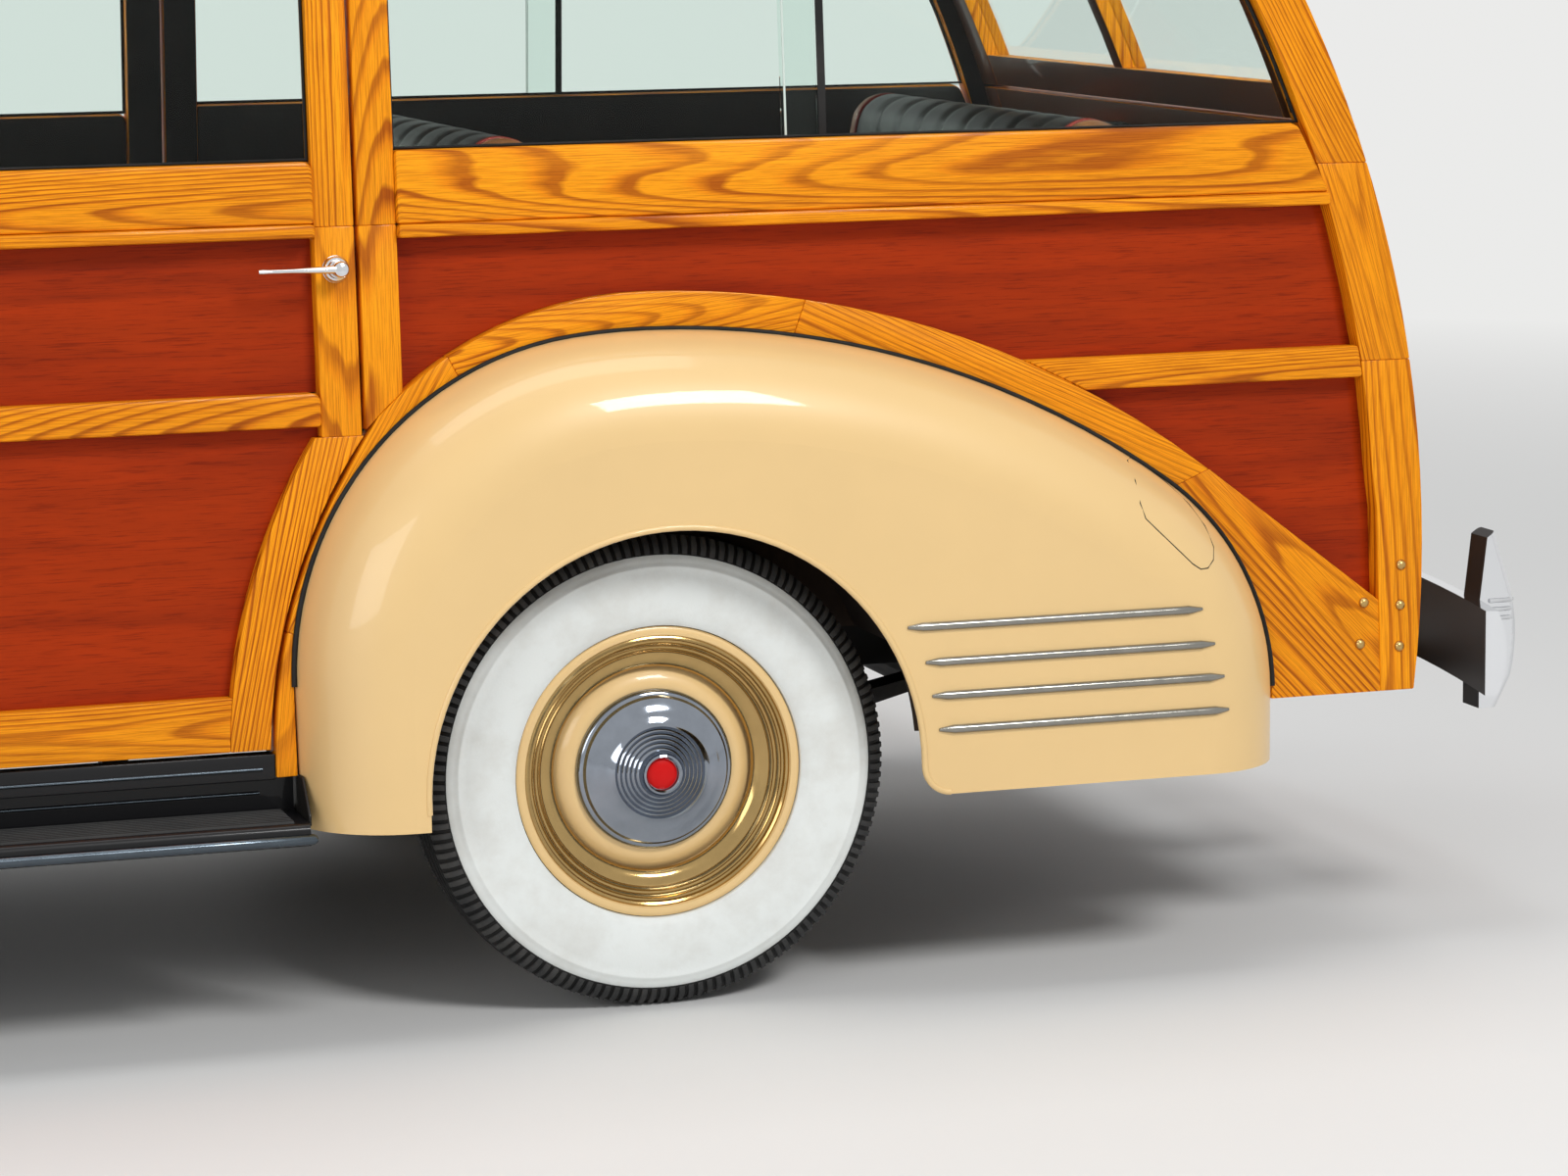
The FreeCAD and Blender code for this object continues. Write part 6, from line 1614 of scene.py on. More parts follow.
@dataclass
class FenderTrim:
    """Beads, rolled lips, bright strips and the filler door of one side's fenders."""

    finishes: Finishes
    side: Side
    rear_opening: Spot = (1.250, 0.363, 0.379)
    front_opening: Spot = (-1.850, 0.349, 0.396)
    front_foot: float = 0.340
    welt: float = 0.0042
    lip: float = 0.0050
    lip_sunk: float = 0.0022
    strip: float = 0.0068
    seam: float = 0.0011
    corner: float = 0.045
    strips: tuple[Spot, ...] = (
        (1.609, 2.077, 0.575), (1.637, 2.097, 0.5205), (1.647, 2.113, 0.469),
        (1.658, 2.121, 0.417))
    door: tuple[Flat, ...] = (
        (1.995, 0.796), (1.992, 0.770), (1.990, 0.738), (1.995, 0.716), (2.018, 0.693),
        (2.045, 0.667), (2.070, 0.643), (2.084, 0.634), (2.098, 0.634), (2.112, 0.644),
        (2.119, 0.662), (2.113, 0.692), (2.094, 0.725), (2.066, 0.757), (2.036, 0.782),
        (2.012, 0.796))

    def on_skin(self, points: Iterable[Flat], proud: float) -> list[Spot]:
        """Points of a side view laid on the fenders' skin.

        Args:
            points: Points in X and Z.
            proud: How far they lie out of the skin.

        Returns:
            The points that meet the skin.
        """
        placed = []
        for x, z in points:
            y = skin_y("fenders", x, z, self.side)
            if y is not None:
                placed.append((x, y + self.side.value * proud, z))
        return placed

    def bead(self) -> None:
        """Black welt between the rear fender and the wood."""
        points = [(x, self.side.value * 0.0055, z) for x, z in fender_line() if z > 0.325]
        piece = shifted(tube("welt", points, self.welt, 3), side_matrix(self.side))
        finished(self.side.word + "_fender_welt", [piece], self.finishes.rubber, "black_paint",
                 50)

    def lips(self) -> None:
        """Rolled edges of both wheel openings."""
        x, z, radius = self.rear_opening
        start = 180 + math.degrees(math.asin((z - CAR.fender_foot) / radius))
        line = arc_points((x, z), radius + 0.003, start, 0, 48)
        turn = arc_points((x + radius + self.corner, z), self.corner - 0.003, 180, 268, 10)
        rolls = [line + turn[1:]]
        x, z, radius = self.front_opening
        end = math.degrees(math.asin((z - self.front_foot) / radius))
        rolls.append(arc_points((x, z), radius + 0.003, 172, -end, 48))
        pieces = [tube("lip", self.on_skin(points, -self.lip_sunk), self.lip, 3)
                  for points in rolls]
        finished(self.side.word + "_fender_lips", pieces, self.finishes.cream, "body_paint", 50)

    def bright_strips(self) -> None:
        """Four polished strips behind the rear wheel."""
        bars = []
        for near, far, height in self.strips:
            places = [near + (far - near) * i / 24 for i in range(25)]
            path = self.on_skin([(x, height) for x in places], 0.0008)
            bars.append(tube("strip", path, self.strip, 3))
            for end, inner in ((0, 1), (-1, -2)):
                tip, back = Vector(path[end]), Vector(path[inner])
                for vertex in bars[-1].data.vertices:
                    if (vertex.co - tip).length < 0.0075:
                        away = (tip - back).normalized()
                        vertex.co = tip + (vertex.co - tip) * 0.35 + away * 0.004
        finished(self.side.word + "_fender_strips", bars, self.finishes.strip_metal, "chrome", 60)

    def filler_door(self) -> None:
        """Seam of the fuel filler's door, on the left fender only."""
        path = self.on_skin(self.door, -0.0004)
        seam = tube("seam", path, self.seam, 1, closed=True)
        finished("filler_seam", [seam], self.finishes.rubber, "black_paint", 60)

    def build(self) -> None:
        """Dress the side's fenders."""
        self.bead()
        self.lips()
        self.bright_strips()
        if self.side is Side.LEFT:
            self.filler_door()


@dataclass
class StepBoard:
    """Ribbed mat, ridges and bright edge of one running board."""

    finishes: Finishes
    side: Side
    span: Flat = (-0.958, 0.697)
    inner: float = 0.8130
    outer: float = 0.9160
    top: float = 0.338
    edge: float = 0.930
    edge_height: float = 0.3155
    edge_radius: float = 0.0082
    ridge_radius: float = 0.0026
    ridge_lines: tuple[Flat, ...] = ((0.4070, 0.8440), (0.3660, 0.8125))
    splash: tuple[Flat, ...] = (
        (0.760, 0.330), (0.905, 0.330), (0.905, 0.345), (0.862, 0.395), (0.790, 0.395))
    ribs: int = 9

    def mat(self) -> None:
        """Rubber mat with ribs along the car."""
        near, far, sign = *self.span, self.side.value
        pitch = (self.outer - self.inner) / self.ribs
        line = [(self.inner, self.top - 0.001)]
        for index in range(self.ribs):
            start = self.inner + index * pitch
            line += [(start, self.top + 0.0012), (start + pitch * 0.28, self.top + 0.0012),
                     (start + pitch * 0.40, self.top + 0.0036),
                     (start + pitch * 0.78, self.top + 0.0036),
                     (start + pitch * 0.90, self.top + 0.0012)]
        line.append((self.outer, self.top - 0.001))
        mat = pulled(ring("mat", [(near, sign * y, z) for y, z in line]),
                     (far - near - 0.02, 0, 0))
        finished(self.side.word + "_step_mat", [mat], self.finishes.tread, "black_paint", 25)

    def ridges(self) -> None:
        """Two pressed ridges on the riser."""
        near, far, sign = *self.span, self.side.value
        bars = []
        for height, out in self.ridge_lines:
            path = [(near + (far - 0.05 - near) * i / 8, sign * out, height) for i in range(9)]
            bars.append(tube("ridge", path, self.ridge_radius, 2))
        finished(self.side.word + "_step_ridges", bars, self.finishes.step_metal, "black_paint",
                 60)

    def end_plate(self) -> None:
        """Black splash plate between the board and the rear fender's foot."""
        sign, far = self.side.value, self.span[1]
        outline = [(far + 0.004, sign * y, z) for y, z in self.splash]
        plate = slab(outline, (0.004, 0, 0), 0.001, 1)
        finished(self.side.word + "_splash_plate", [plate], self.finishes.frame_black,
                 "black_paint")

    def bright_edge(self) -> None:
        """Polished moulding along the outer edge, with a rounded tip."""
        near, far, sign = *self.span, self.side.value
        line = [(near + 0.004, 0.001)]
        line += [(near + (far + 0.012 - near) * i / 10, 0.001) for i in range(1, 10)]
        line += [(far + 0.004, 0.0006), (far + 0.009, -0.0015)]
        bar = tube("edge", [(x, sign * (self.edge + out), self.edge_height) for x, out in line],
                   self.edge_radius, 4, flat=0.7)
        finished(self.side.word + "_step_edge", [bar], self.finishes.step_metal, "chrome", 60)

    def build(self) -> None:
        """Dress the running board."""
        self.mat()
        self.ridges()
        self.end_plate()
        self.bright_edge()


@dataclass
class Fastenings:
    """Domed bolts of one side's wood."""

    finishes: Finishes
    side: Side
    bolts: tuple[Spot, ...] = (
        (2.469, 0.602, 0.006), (2.466, 0.539, 0.006), (2.463, 0.474, 0.006),
        (2.405, 0.546, 0.004), (2.397, 0.481, 0.004))
    radius: float = 0.0085

    def build(self) -> None:
        """Set the bolts in the corner post and the block."""
        radius = self.radius
        master = spun("bolt", [(0.0, 0.0062), (0.0030, 0.0059), (0.0056, 0.0047),
                               (0.0074, 0.0029), (radius, 0.0006), (radius, -0.001),
                               (0.0, -0.001)], 24)
        turn = turned(180 if self.side is Side.LEFT else 0, "Z")
        heads = []
        for x, z, proud in self.bolts:
            place = Matrix.Translation((x, self.side.value * proud, z)) @ turn
            heads.append(shifted(copied(master, "head"), side_matrix(self.side) @ place))
        bpy.data.objects.remove(master)
        finished(self.side.word + "_post_bolts", heads, self.finishes.brass, "chrome", 50)


@dataclass
class DoorHardware:
    """Lever handle and moving hinge halves of one door."""

    finishes: Finishes
    side: Side
    row: Row
    height: float = 1.128
    reach: float = 0.046
    length: float = 0.118
    hinge_heights: Flat = (0.620, 1.225)
    hinge_out: float = 0.008
    barrel: float = 0.044
    leaf: float = 0.036

    def lever(self, x: float) -> list[Piece]:
        """Root, stem and lever, drawn on the skin with +Y outwards."""
        root = [(0.0, 0.0), (0.0195, 0.0), (0.0200, 0.0022), (0.0175, 0.0045),
                (0.0168, 0.0080), (0.0140, 0.0100), (0.0132, 0.0185), (0.0108, 0.0205),
                (0.0100, 0.0300), (0.0116, 0.0320), (0.0118, 0.0385), (0.0100, 0.0430),
                (0.0060, self.reach - 0.0010), (0.0, self.reach)]
        stem = shifted(spun("root", root, 32), Matrix.Translation((x, 0, self.height)))
        path, radii = [], []
        for index in range(19):
            share = index / 18
            bend = 0.0035 * math.sin(math.pi * share) - 0.010 * max(share - 0.82, 0) / 0.18
            path.append((x - self.length * share, self.reach - 0.0105 + bend, self.height))
            radii.append(0.0084 - 0.0042 * min(share * 1.6, 1) + (0.0008 if share > 0.93 else 0))
        bar = tube("lever", path, 0.001, 4)
        for vertex in bar.data.vertices:
            nearest = min(range(19), key=lambda item: abs(path[item][0] - vertex.co.x))
            spine = Vector(path[nearest])
            away = vertex.co - spine
            away.x = 0
            if away.length > 1e-6:
                away = away.normalized() * radii[nearest]
            vertex.co = Vector((vertex.co.x, spine.y + away.y, spine.z + away.z * 0.8))
        return [stem, bar]

    def hinge(self, x: float, height: float) -> list[Piece]:
        """Barrel, leaf and screws of one hinge, drawn on the skin with +Y outwards.

        Args:
            x: Middle of its pin.
            height: Its height.

        Returns:
            Its pieces.
        """
        half = self.barrel / 2
        pin = [(0.0, -half), (0.0055, -half), (0.0060, 0.0008 - half), (0.0060, half - 0.0008),
               (0.0055, half), (0.0, half)]
        turn = turned(90, "X")
        place = Matrix.Translation((x, self.hinge_out, height))
        outline = soft_box((x, x + self.leaf), (height - half, height + half),
                           (0, 0.008, 0.008, 0))
        pieces = [shifted(spun("pin", pin, 24), place @ turn),
                  slab([(px, 0.0002, pz) for px, pz in outline], (0, 0.0038, 0), 0.0008, 1)]
        screw = [(0.0, 0.0052), (0.0022, 0.0050), (0.0038, 0.0040), (0.0038, 0.0030),
                 (0.0, 0.0030)]
        for rise in (-0.013, 0.013):
            spot = Matrix.Translation((x + 0.024, 0, height + rise))
            pieces.append(shifted(spun("screw", screw, 16), spot))
        return pieces

    def build(self) -> None:
        """Fit the handle and the hinges on the door."""
        near, far = CAR.door_span(self.row)
        body = door_name(self.row, self.side)
        pieces = self.lever(far - CAR.stile / 2)
        for height in self.hinge_heights:
            pieces += self.hinge(near - 0.003, height)
        piece = joined(body + "_fittings", pieces)
        if self.side is Side.LEFT:
            shifted(piece, Matrix.Scale(-1, 4, (0, 1, 0)))
        shifted(piece, side_matrix(self.side, self.row is Row.FRONT))
        finished(piece.name, [piece], self.finishes.chrome, "chrome", 40, body,
                 [body + "_hardware"])


@dataclass
class WindowTrim:
    """Black gaskets of one side's windows and the edges of the sliding panes."""

    finishes: Finishes
    side: Side
    recess: float = 0.0165
    bar: float = 0.0036
    pane_out: float = 0.0155
    pane_deep: float = 0.0022
    pane_heights: Flat = (1.300, 1.658)

    def gasket(self, name: str, outline: Sequence[Flat], body: str, taper: bool = False) -> None:
        """One gasket round an opening, on its body.

        Args:
            name: Name of the gasket.
            outline: Corners of the opening.
            body: Body that it rides on.
            taper: Whether it lies on the narrowing front half.
        """
        inset = self.bar * 0.7
        middle = (sum(x for x, _ in outline) / len(outline),
                  sum(z for _, z in outline) / len(outline))
        path = [(x + math.copysign(inset, middle[0] - x), -self.side.value * self.recess,
                 z + math.copysign(inset, middle[1] - z)) for x, z in outline]
        piece = shifted(tube("gasket", path, self.bar, 2, closed=True),
                        side_matrix(self.side, taper))
        finished(name, [piece], self.finishes.rubber, "black_paint", 50, body)

    def pane_strip(self, name: str, x: float, width: float, finish: Finish) -> None:
        """One upright strip on the quarter's sliding panes.

        Args:
            name: Name of the strip, without its side.
            x: Its front edge.
            width: Its width.
            finish: Its material.
        """
        sign, (low, high) = self.side.value, self.pane_heights
        outline = [(px, -sign * self.pane_out, pz) for px, pz in (
            (x, low), (x + width, low), (x + width, high), (x, high))]
        strip = slab(outline, (0, -sign * self.pane_deep, 0), 0.0006, 1)
        strip.name = "%s_%s" % (self.side.word, name)
        fitted(shifted(strip, side_matrix(self.side)), finish, "car_body", "glass")

    def build(self) -> None:
        """Gaskets of the doors on the doors, the quarter's on the body."""
        word = self.side.word
        low, high = CAR.belt_high, CAR.door_top - CAR.top_rail
        for row in Row:
            near, far = CAR.door_span(row)
            near, far, front = near + CAR.stile, far - CAR.stile, row is Row.FRONT
            head = sloped_x(high, near) if front else near
            body = door_name(row, self.side)
            self.gasket(body + "_gasket", [(near, low), (far, low), (far, high), (head, high)],
                        body, front)
        c_rear = CAR.rear_door_x + CAR.gap + CAR.c_post
        low, high = CAR.quarter_belt, CAR.rail_foot
        quarter = [(c_rear, low)] + [(rear_post_x(z), z) for z in (low, 1.42, 1.54, high)]
        self.gasket("quarter_%s_gasket" % word, quarter + [(c_rear, high)], "car_body")
        self.pane_strip("pane_edge", 1.484, 0.0035, self.finishes.pane_edge)
        self.pane_strip("pane_bar", 1.538, 0.0125, self.finishes.rubber)


@dataclass
class Lamps:
    """Two head lamps in the front fenders and two tail lamps on the rear sill."""

    finishes: Finishes
    head: Spot = (-2.545, 0.655, 0.800)
    radius: float = 0.105
    length: float = 0.260
    tail: Spot = (2.4950, 0.620, 0.590)

    def head_parts(self) -> list[tuple[Piece, Finish, str]]:
        """Shell, rim and lens, their faces towards +Y."""
        radius, length = self.radius, self.length
        shell = [(0.0, 0.0), (0.048, 0.0), (0.060, 0.020), (0.074, 0.070), (0.086, 0.130),
                 (0.094, 0.185), (0.0985, 0.222), (0.0990, 0.236), (0.0970, 0.240),
                 (0.0900, 0.236), (0.0, 0.100)]
        rim = [(0.0900, 0.238), (0.0990, 0.230), (0.1010, 0.231), (0.1030, 0.236),
               (radius, 0.243), (0.1045, 0.250), (0.1015, 0.256), (0.0975, 0.2585),
               (0.0940, 0.2575), (0.0925, 0.254)]
        nose = radius * 0.28 - 0.002
        lens = [(0.0945 * math.sin(math.radians(90 * i / 12)) if i < 12 else 0.0945,
                 length - 0.010 + nose * math.cos(math.radians(90 * i / 12)) ** 1.4)
                for i in range(13)]
        lens += [(0.0925, length - 0.016), (0.0, length - 0.014)]
        return [(spun("head_shell", shell, 64), self.finishes.cream, "body_paint"),
                (spun("head_rim", rim, 64), self.finishes.chrome, "chrome"),
                (spun("head_lens", lens, 64), self.finishes.head_lens, "glass")]

    def tail_parts(self) -> list[tuple[Piece, Finish, str]]:
        """Base, rim and red lens of a tail lamp, their faces towards +Y."""
        base = [(0.0, 0.0), (0.0335, 0.0), (0.0340, 0.003), (0.0330, 0.017), (0.0350, 0.025),
                (0.0395, 0.030), (0.0400, 0.034), (0.0380, 0.039), (0.0345, 0.040),
                (0.0330, 0.036), (0.0, 0.032)]
        lens = [(0.0, 0.0510), (0.010, 0.0502), (0.020, 0.0472), (0.028, 0.0425),
                (0.0335, 0.0370), (0.0335, 0.035), (0.0, 0.035)]
        return [(spun("tail_base", base, 48), self.finishes.chrome, "chrome"),
                (spun("tail_lens", lens, 48), self.finishes.tail_lens, "glass")]

    def build(self) -> None:
        """Make one lamp of each kind and copy it to both sides."""
        for parts, (x, y, z), turn, nodes in (
                (self.head_parts(), self.head, 90, ["lamps"]),
                (self.tail_parts(), self.tail, -90, [])):
            if turn > 0:
                x += self.length
            facing = turned(turn, "Z")
            for master, finish, slot in parts:
                twins = [shifted(copied(master, "twin"),
                                 Matrix.Translation((x, side.value * y, z)) @ facing)
                         for side in Side]
                finished(master.name + "_pair", twins, finish, slot, 40, replaces=nodes)
                bpy.data.objects.remove(master)
                nodes = []


@dataclass
class BumperTrim:
    """Pressed bands round the bumper guards."""

    finishes: Finishes
    places: tuple[Flat, ...] = ((1, 0.750), (-1, 0.360))
    heights: Spot = (0.500, 0.514, 0.528)
    end: float = 2.720
    bow: float = 4.300
    band: float = 0.0036

    def build(self) -> None:
        """Three bands on each guard, at the height of the bar's upper half."""
        bands = []
        for end, y in self.places:
            for side in Side:
                fall = self.bow - math.sqrt(self.bow ** 2 - y ** 2)
                face = self.end - max(0.046 - fall, 0) - fall
                for height in self.heights:
                    near, far, half = face - 0.004, face + 0.0395, 0.0300
                    outline = [(near, -half), (far - 0.008, -half), (far, -half + 0.009),
                               (far, half - 0.009), (far - 0.008, half), (near, half)]
                    path = [(end * x, side.value * y + w, height) for x, w in outline]
                    bands.append(tube("band", path, self.band, 2))
        finished("guard_bands", bands, self.finishes.chrome, "chrome", 60)


@dataclass
class Bench:
    """One bench seat: a plinth, a pleated cushion and a pleated back with tan ends."""

    finishes: Finishes
    name: str
    rear: float
    half: float
    cushion: float
    pleat: float = 0.105
    swell: float = 0.024
    voxel: float = 0.0130
    end: float = 0.055
    recess: float = 0.018
    plinth_recess: float = 0.030
    pressure: float = 4.0
    steps: int = 20
    channel: Flat = (0.007, 0.009)
    piping_radius: float = 0.0036
    quick_voxel: float = 0.02

    def seams(self, half: float) -> list[float]:
        """Y of the sewn lines between the pleats."""
        inner = half - self.end
        count = max(2, round(2 * inner / self.pleat))
        return [-inner + 2 * inner * i / count for i in range(count + 1)]

    def stuffed(self, piece: Piece, half: float) -> None:
        """Swell a block as padded cloth that is sewn down along its seams.

        Args:
            piece: The block.
            half: Its half width.
        """
        voxel = self.voxel
        applied(piece, "REMESH", mode="VOXEL", voxel_size=voxel)
        lines = self.seams(half)
        group = piece.vertex_groups.new(name="sewn")
        held = []
        for vertex in piece.data.vertices:
            line = min(lines, key=lambda place: abs(vertex.co.y - place))
            if abs(vertex.co.y - line) < voxel / 2:
                vertex.co.y = line
                held.append(vertex.index)
        group.add(held, 1.0, "REPLACE")
        before = [vertex.co.copy() for vertex in piece.data.vertices]
        cloth = piece.modifiers.new("stuffing", "CLOTH")
        cloth.settings.use_pressure = True
        cloth.settings.uniform_pressure_force = self.pressure
        cloth.settings.vertex_group_mass = "sewn"
        cloth.settings.effector_weights.gravity = 0
        cloth.settings.quality = 5
        for step in range(1, self.steps + 1):
            bpy.context.scene.frame_set(step)
        bpy.ops.object.modifier_apply(modifier=cloth.name)
        bpy.context.scene.frame_set(1)
        for vertex, start in zip(piece.data.vertices, before):
            way = vertex.co - start
            if way.length > self.swell:
                vertex.co = start + way.normalized() * self.swell
        depth, width = self.channel
        for vertex in piece.data.vertices:
            gap = min(abs(vertex.co.y - line) for line in lines)
            vertex.co -= vertex.normal * depth * math.exp(-(gap / width) ** 2)
        applied(piece, "SUBSURF", levels=1)

    def dress(self, piece: Piece, half: float, replaces: Sequence[str]) -> None:
        """Black hide with tan ends, split at the outer seams.

        Args:
            piece: The stuffed block.
            half: Its half width.
            replaces: Nodes that it stands for.
        """
        mesh = piece.data
        mesh.materials.clear()
        mesh.materials.append(self.finishes.black_hide)
        mesh.materials.append(self.finishes.tan_hide)
        for polygon in mesh.polygons:
            polygon.material_index = 1 if abs(polygon.center.y) > half - self.end else 0
        smooth(piece, 80)
        fitted(piece, None, "car_body", "seat_leather", replaces)

    def piping(self, piece: Piece, half: float) -> None:
        """Red cord along both outer seams of a stuffed block.

        Args:
            piece: The stuffed block.
            half: Its half width.
        """
        cords = []
        for side in Side:
            line = side.value * (half - self.end)
            found = [vertex.co + vertex.normal * 0.002 for vertex in piece.data.vertices
                     if abs(vertex.co.y - line) < 0.0024]
            middle = sum(found, Vector()) / len(found)
            found.sort(key=lambda place: math.atan2(place.z - middle.z, place.x - middle.x))
            cords.append(tube("cord", [(place.x, line, place.z) for place in found],
                              self.piping_radius, 2, closed=True))
        finished(piece.name + "_piping", cords, self.finishes.red_hide, "seat_leather", 60)

    def build(self) -> None:
        """Make, stuff and dress the bench."""
        rear, front = self.rear, self.rear - self.cushion - 0.190
        seat = [(front + 0.020, 0.700), (rear - 0.270, 0.700), (rear - 0.262, 0.828),
                (front + 0.050, 0.834), (front + 0.022, 0.800)]
        back = [(rear - 0.118, 0.745), (rear - 0.028, 1.235), (rear - 0.046, 1.286),
                (rear - 0.092, 1.304), (rear - 0.142, 1.276), (rear - 0.214, 0.880),
                (rear - 0.235, 0.745)]
        inner, stand = self.half - self.recess, self.half - self.plinth_recess
        for part, points, nodes in (("cushion", seat, [self.name]), ("back", back, [])):
            piece = slab([(x, -inner, z) for x, z in points], (0, 2 * inner, 0), 0.030, 3, 50)
            piece.name = "%s_%s" % (self.name, part)
            self.stuffed(piece, inner)
            self.dress(piece, inner, nodes)
            self.piping(piece, inner)
        plinth = slab([(x, -stand, z) for x, z in (
            (front + 0.070, 0.546), (rear - 0.130, 0.546), (rear - 0.122, 0.735),
            (front + 0.050, 0.700))], (0, 2 * stand, 0), 0.008)
        finished(self.name + "_plinth", [plinth], self.finishes.dark_trim, "seat_leather")


@dataclass
class Headliner:
    """Slatted ash ceiling under the roof."""

    finishes: Finishes
    lumber: Lumber
    span: Flat = (-0.640, 2.150)
    half: float = 0.690
    low: float = 1.738
    crown: float = 0.050
    slats: int = 15

    def build(self) -> None:
        """Lay the slats, crowned towards the middle."""
        boards = []
        pitch = 2 * self.half / self.slats
        near, far = self.span
        for index in range(self.slats):
            y = -self.half + pitch * (index + 0.5)
            rise = self.low + self.crown * (1 - (y / self.half) ** 2)
            width = pitch * 0.46
            outline = [(near, y - width, rise), (near, y + width, rise),
                       (near, y + width, rise + 0.008), (near, y - width, rise + 0.008)]
            slat = slab(outline, (far - near, 0, 0), 0.002, 1)
            self.lumber.grain(slat, 0, across=2)
            boards.append(slat)
        finished("ceiling_slats", boards, self.finishes.ash, "ash")


@dataclass
class Stage:
    """Pale floor, soft lamps, backdrop colour and the camera of the photograph."""

    floor_size: float = 60.0
    pale: Colour = (0.78, 0.78, 0.77)
    beyond: Colour = (0.83, 0.83, 0.82)
    air: Colour = (0.80, 0.82, 0.85)
    eye: Spot = (-0.675, -7.492, 1.699)
    turns: Spot = (17.7155, 8.7242, 0.687)
    focal: float = 4794.46
    photo_width: float = 1600
    fade: Flat = (4.0, 11.0)

    def floor(self) -> None:
        """A plain pale floor."""
        deselect()
        bpy.ops.mesh.primitive_plane_add(size=self.floor_size, location=(0, 0, 0))
        plane = bpy.context.object
        plane.name = "studio_floor"
        graph = Graph("floor_finish")
        shader = graph.node("BsdfPrincipled", {"Base Color": (*self.pale, 1), "Roughness": 0.6})
        haze = graph.node("Emission", {"Color": (*self.beyond, 1)})
        far = graph.node("VectorMath", {0: graph.coords()}, operation="LENGTH")
        share = graph.node("MapRange", {0: far.outputs["Value"], 1: self.fade[0],
                                        2: self.fade[1]})
        seen = graph.math("MULTIPLY", share.outputs[0], graph.eye_rays())
        plane.data.materials.append(graph.blend(seen, shader, haze))
        plane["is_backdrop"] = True

    def backdrop(self) -> None:
        """A plain world: even light, and a pale colour behind the car."""
        graph = Graph("studio", world=True)
        light = graph.node("Background", {"Color": (*self.air, 1), "Strength": 0.34})
        pale = graph.node("Background", {"Color": (*self.beyond, 1)})
        bpy.context.scene.world = graph.blend(graph.eye_rays(), light, pale)

    def lamp(self, name: str, place: Sequence[float], target: Sequence[float], size: Flat,
             power: float) -> None:
        """One soft area lamp aimed at a point.

        Args:
            name: Name of the lamp.
            place: Its place.
            target: Point that it is aimed at.
            size: Width and height.
            power: Power in watts.
        """
        data = bpy.data.lights.new(name, "AREA")
        data.shape = "RECTANGLE"
        data.size, data.size_y = size
        data.energy = power
        lamp = bpy.data.objects.new(name, data)
        bpy.context.scene.collection.objects.link(lamp)
        lamp.location = place
        aim = Vector(target) - Vector(place)
        lamp.rotation_euler = aim.to_track_quat("-Z", "Y").to_euler()
        lamp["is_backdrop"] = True

    def camera(self) -> None:
        """The camera at the photograph's place and angle."""
        data = bpy.data.cameras.new("camera")
        data.sensor_width = 36.0
        data.lens = self.focal / self.photo_width * data.sensor_width
        data.clip_end = 200
        eye = bpy.data.objects.new("camera", data)
        bpy.context.scene.collection.objects.link(eye)
        yaw, pitch, roll = (math.radians(value) for value in self.turns)
        forward = Vector((math.sin(yaw) * math.cos(pitch), math.cos(yaw) * math.cos(pitch),
                          -math.sin(pitch)))
        right = Vector((math.cos(yaw), -math.sin(yaw), 0))
        up = right.cross(forward)
        right, up = (math.cos(roll) * right - math.sin(roll) * up,
                     math.sin(roll) * right + math.cos(roll) * up)
        turn = Matrix((right, up, -forward)).transposed().to_4x4()
        eye.matrix_world = Matrix.Translation(self.eye) @ turn
        bpy.context.scene.camera = eye

    def build(self) -> None:
        """Set the stage."""
        self.floor()
        self.backdrop()
        self.camera()
        for lamp in (("key_lamp", (3.6, -7.0, 6.5), (0.6, 0, 0.7), (2.6, 2.0), 430),
                     ("fill_lamp", (-6.0, -6.5, 3.2), (0.0, 0, 0.8), (5.0, 3.5), 190),
                     ("top_lamp", (0.0, 0.0, 7.5), (0, 0, 0), (7.0, 4.0), 230),
                     ("far_lamp", (-4.0, 7.0, 4.5), (0, 0, 0.8), (5.0, 3.0), 190)):
            self.lamp(*lamp)
        bpy.context.scene.view_settings.view_transform = "Standard"
        LOG.info("stage is set")


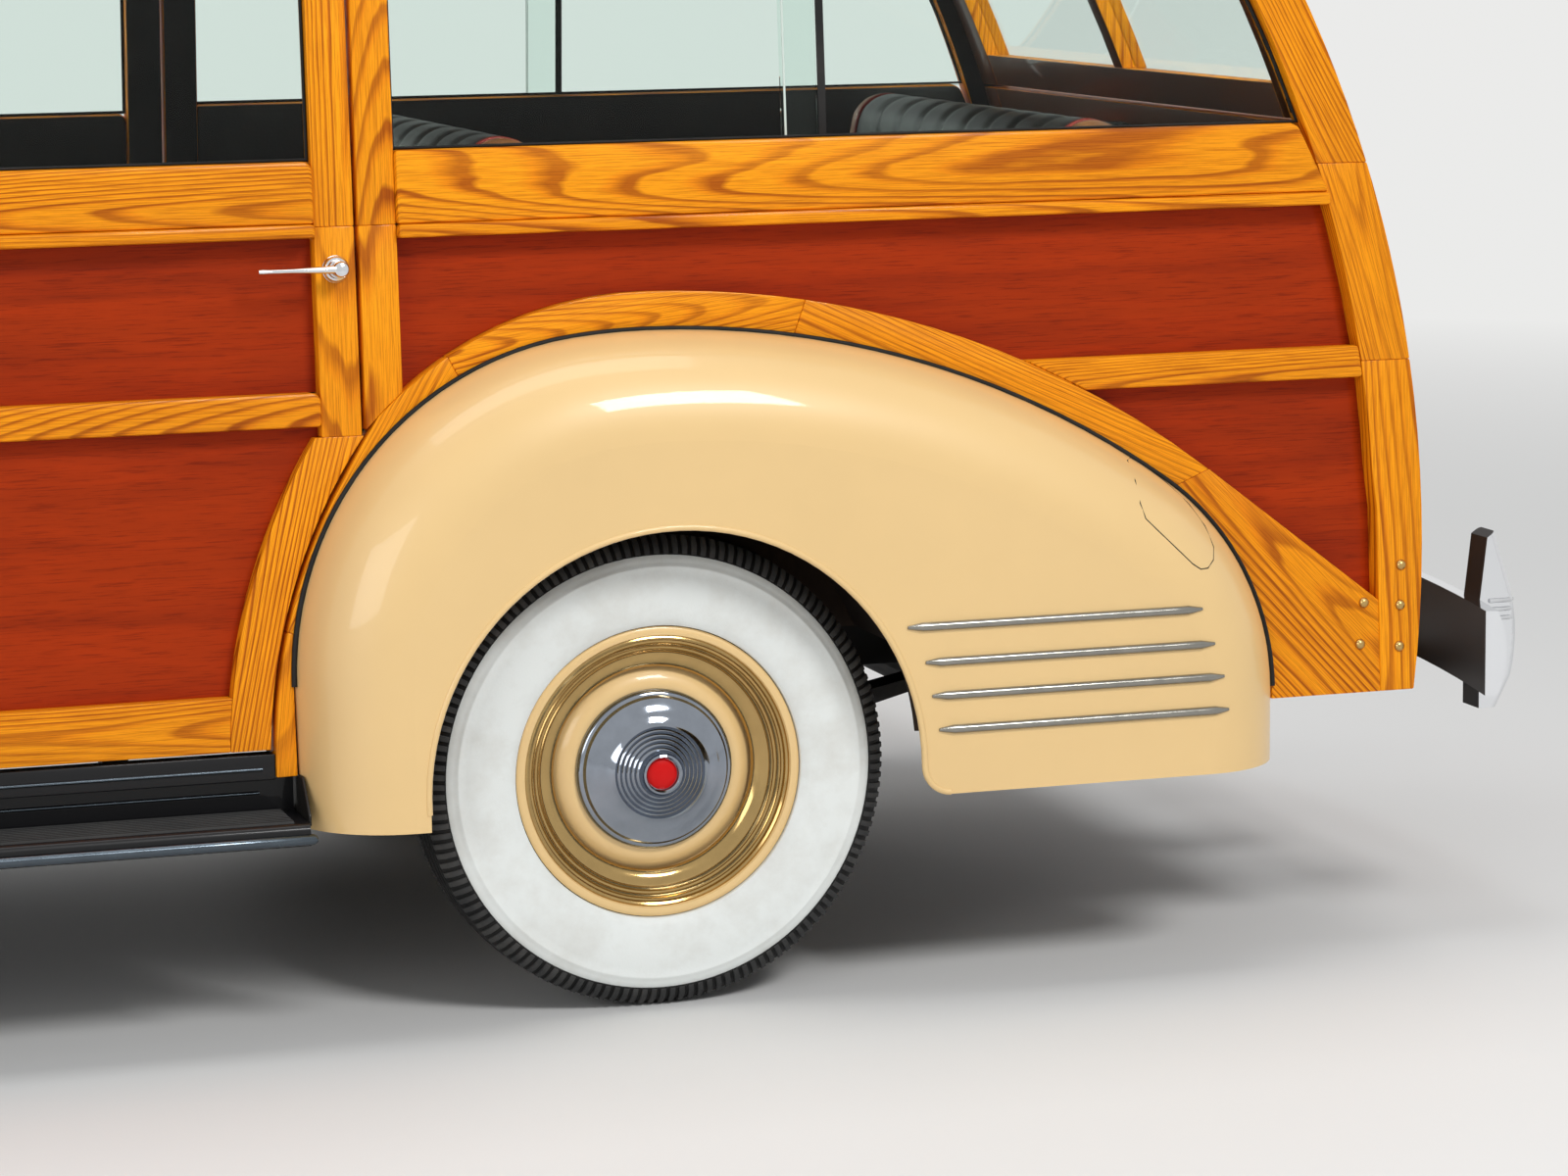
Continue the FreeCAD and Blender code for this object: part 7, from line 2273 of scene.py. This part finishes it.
@dataclass
class FramePieces:
    """Finishes of the nodes that the dressed car shows as they are."""

    finishes: Finishes

    def table(self) -> list[tuple[Finish, list[str]]]:
        """Each finish with its nodes."""
        kit = self.finishes
        doors = [door_name(row, side) for side in Side for row in Row]
        return [
            (kit.mahogany, ["quarter_panels", "tailgate_panels"]
             + [door + "_panels" for door in doors]),
            (kit.glass, ["quarter_glass", "liftgate_glass", "windscreen_glass"]
             + [door + "_glass" for door in doors]),
            (kit.chrome, ["fixed_hinges", "tailgate_hardware", "liftgate_hardware",
                          "grille_bars"]),
            (kit.cream, ["hood", "cowl", "fenders", "windscreen_frame", "grille_shell"]),
            (kit.frame_black, ["chassis", "rear_axle", "front_suspension",
                               "front_knuckle_left", "front_knuckle_right"]),
            (kit.roof_cloth, ["roof"]), (kit.black, ["running_boards"]),
            (kit.bumper, ["bumpers"]), (kit.iron, ["engine"]), (kit.carpet, ["floor"]),
            (kit.bakelite, ["steering_wheel"])]

    def build(self) -> None:
        """Dress the nodes."""
        for finish, names in self.table():
            for name in names:
                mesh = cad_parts[name].data
                mesh.materials.clear()
                mesh.materials.append(finish)
                LOG.info("%s dressed with %s", name, finish.name)


def write_sizes(before: Sequence[Spot], after: Sequence[Spot]) -> None:
    """Round the car's box before and after the dressing; the rounded boxes are not kept.

    Args:
        before: Lowest and highest corner of the bare frame.
        after: The same of the dressed car.
    """
    boxes = [[[round(value, 5) for value in corner] for corner in box]
             for box in (before, after)]


def main() -> None:
    """Build the whole car in order."""
    logging.basicConfig(level=logging.INFO, format="%(name)s: %(message)s")
    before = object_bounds()
    finishes = Finishes()
    lumber = Lumber(finishes.ash, finishes.dark_trim, 11)
    FramePieces(finishes).build()
    for side in Side:
        SideWood(finishes, lumber, side).build()
        for row in Row:
            DoorWood(finishes, lumber, side, row=row).build()
    TailWood(Lumber(finishes.ash, finishes.stained, 23)).build()
    Wheel(finishes).build()
    for side in Side:
        FenderTrim(finishes, side).build()
        StepBoard(finishes, side).build()
        Fastenings(finishes, side).build()
        WindowTrim(finishes, side).build()
        for row in Row:
            DoorHardware(finishes, side, row).build()
    Lamps(finishes).build()
    BumperTrim(finishes).build()
    Headliner(finishes, lumber).build()
    for name, rear, half, cushion in (("front_seat", 0.215, 0.650, 0.480),
                                      ("second_seat", 1.195, 0.570, 0.440),
                                      ("third_seat", 2.165, 0.560, 0.400)):
        Bench(finishes, name, rear, half, cushion).build()
    Stage().build()
    write_sizes(before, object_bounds())


if __name__ == "__main__":
    main()
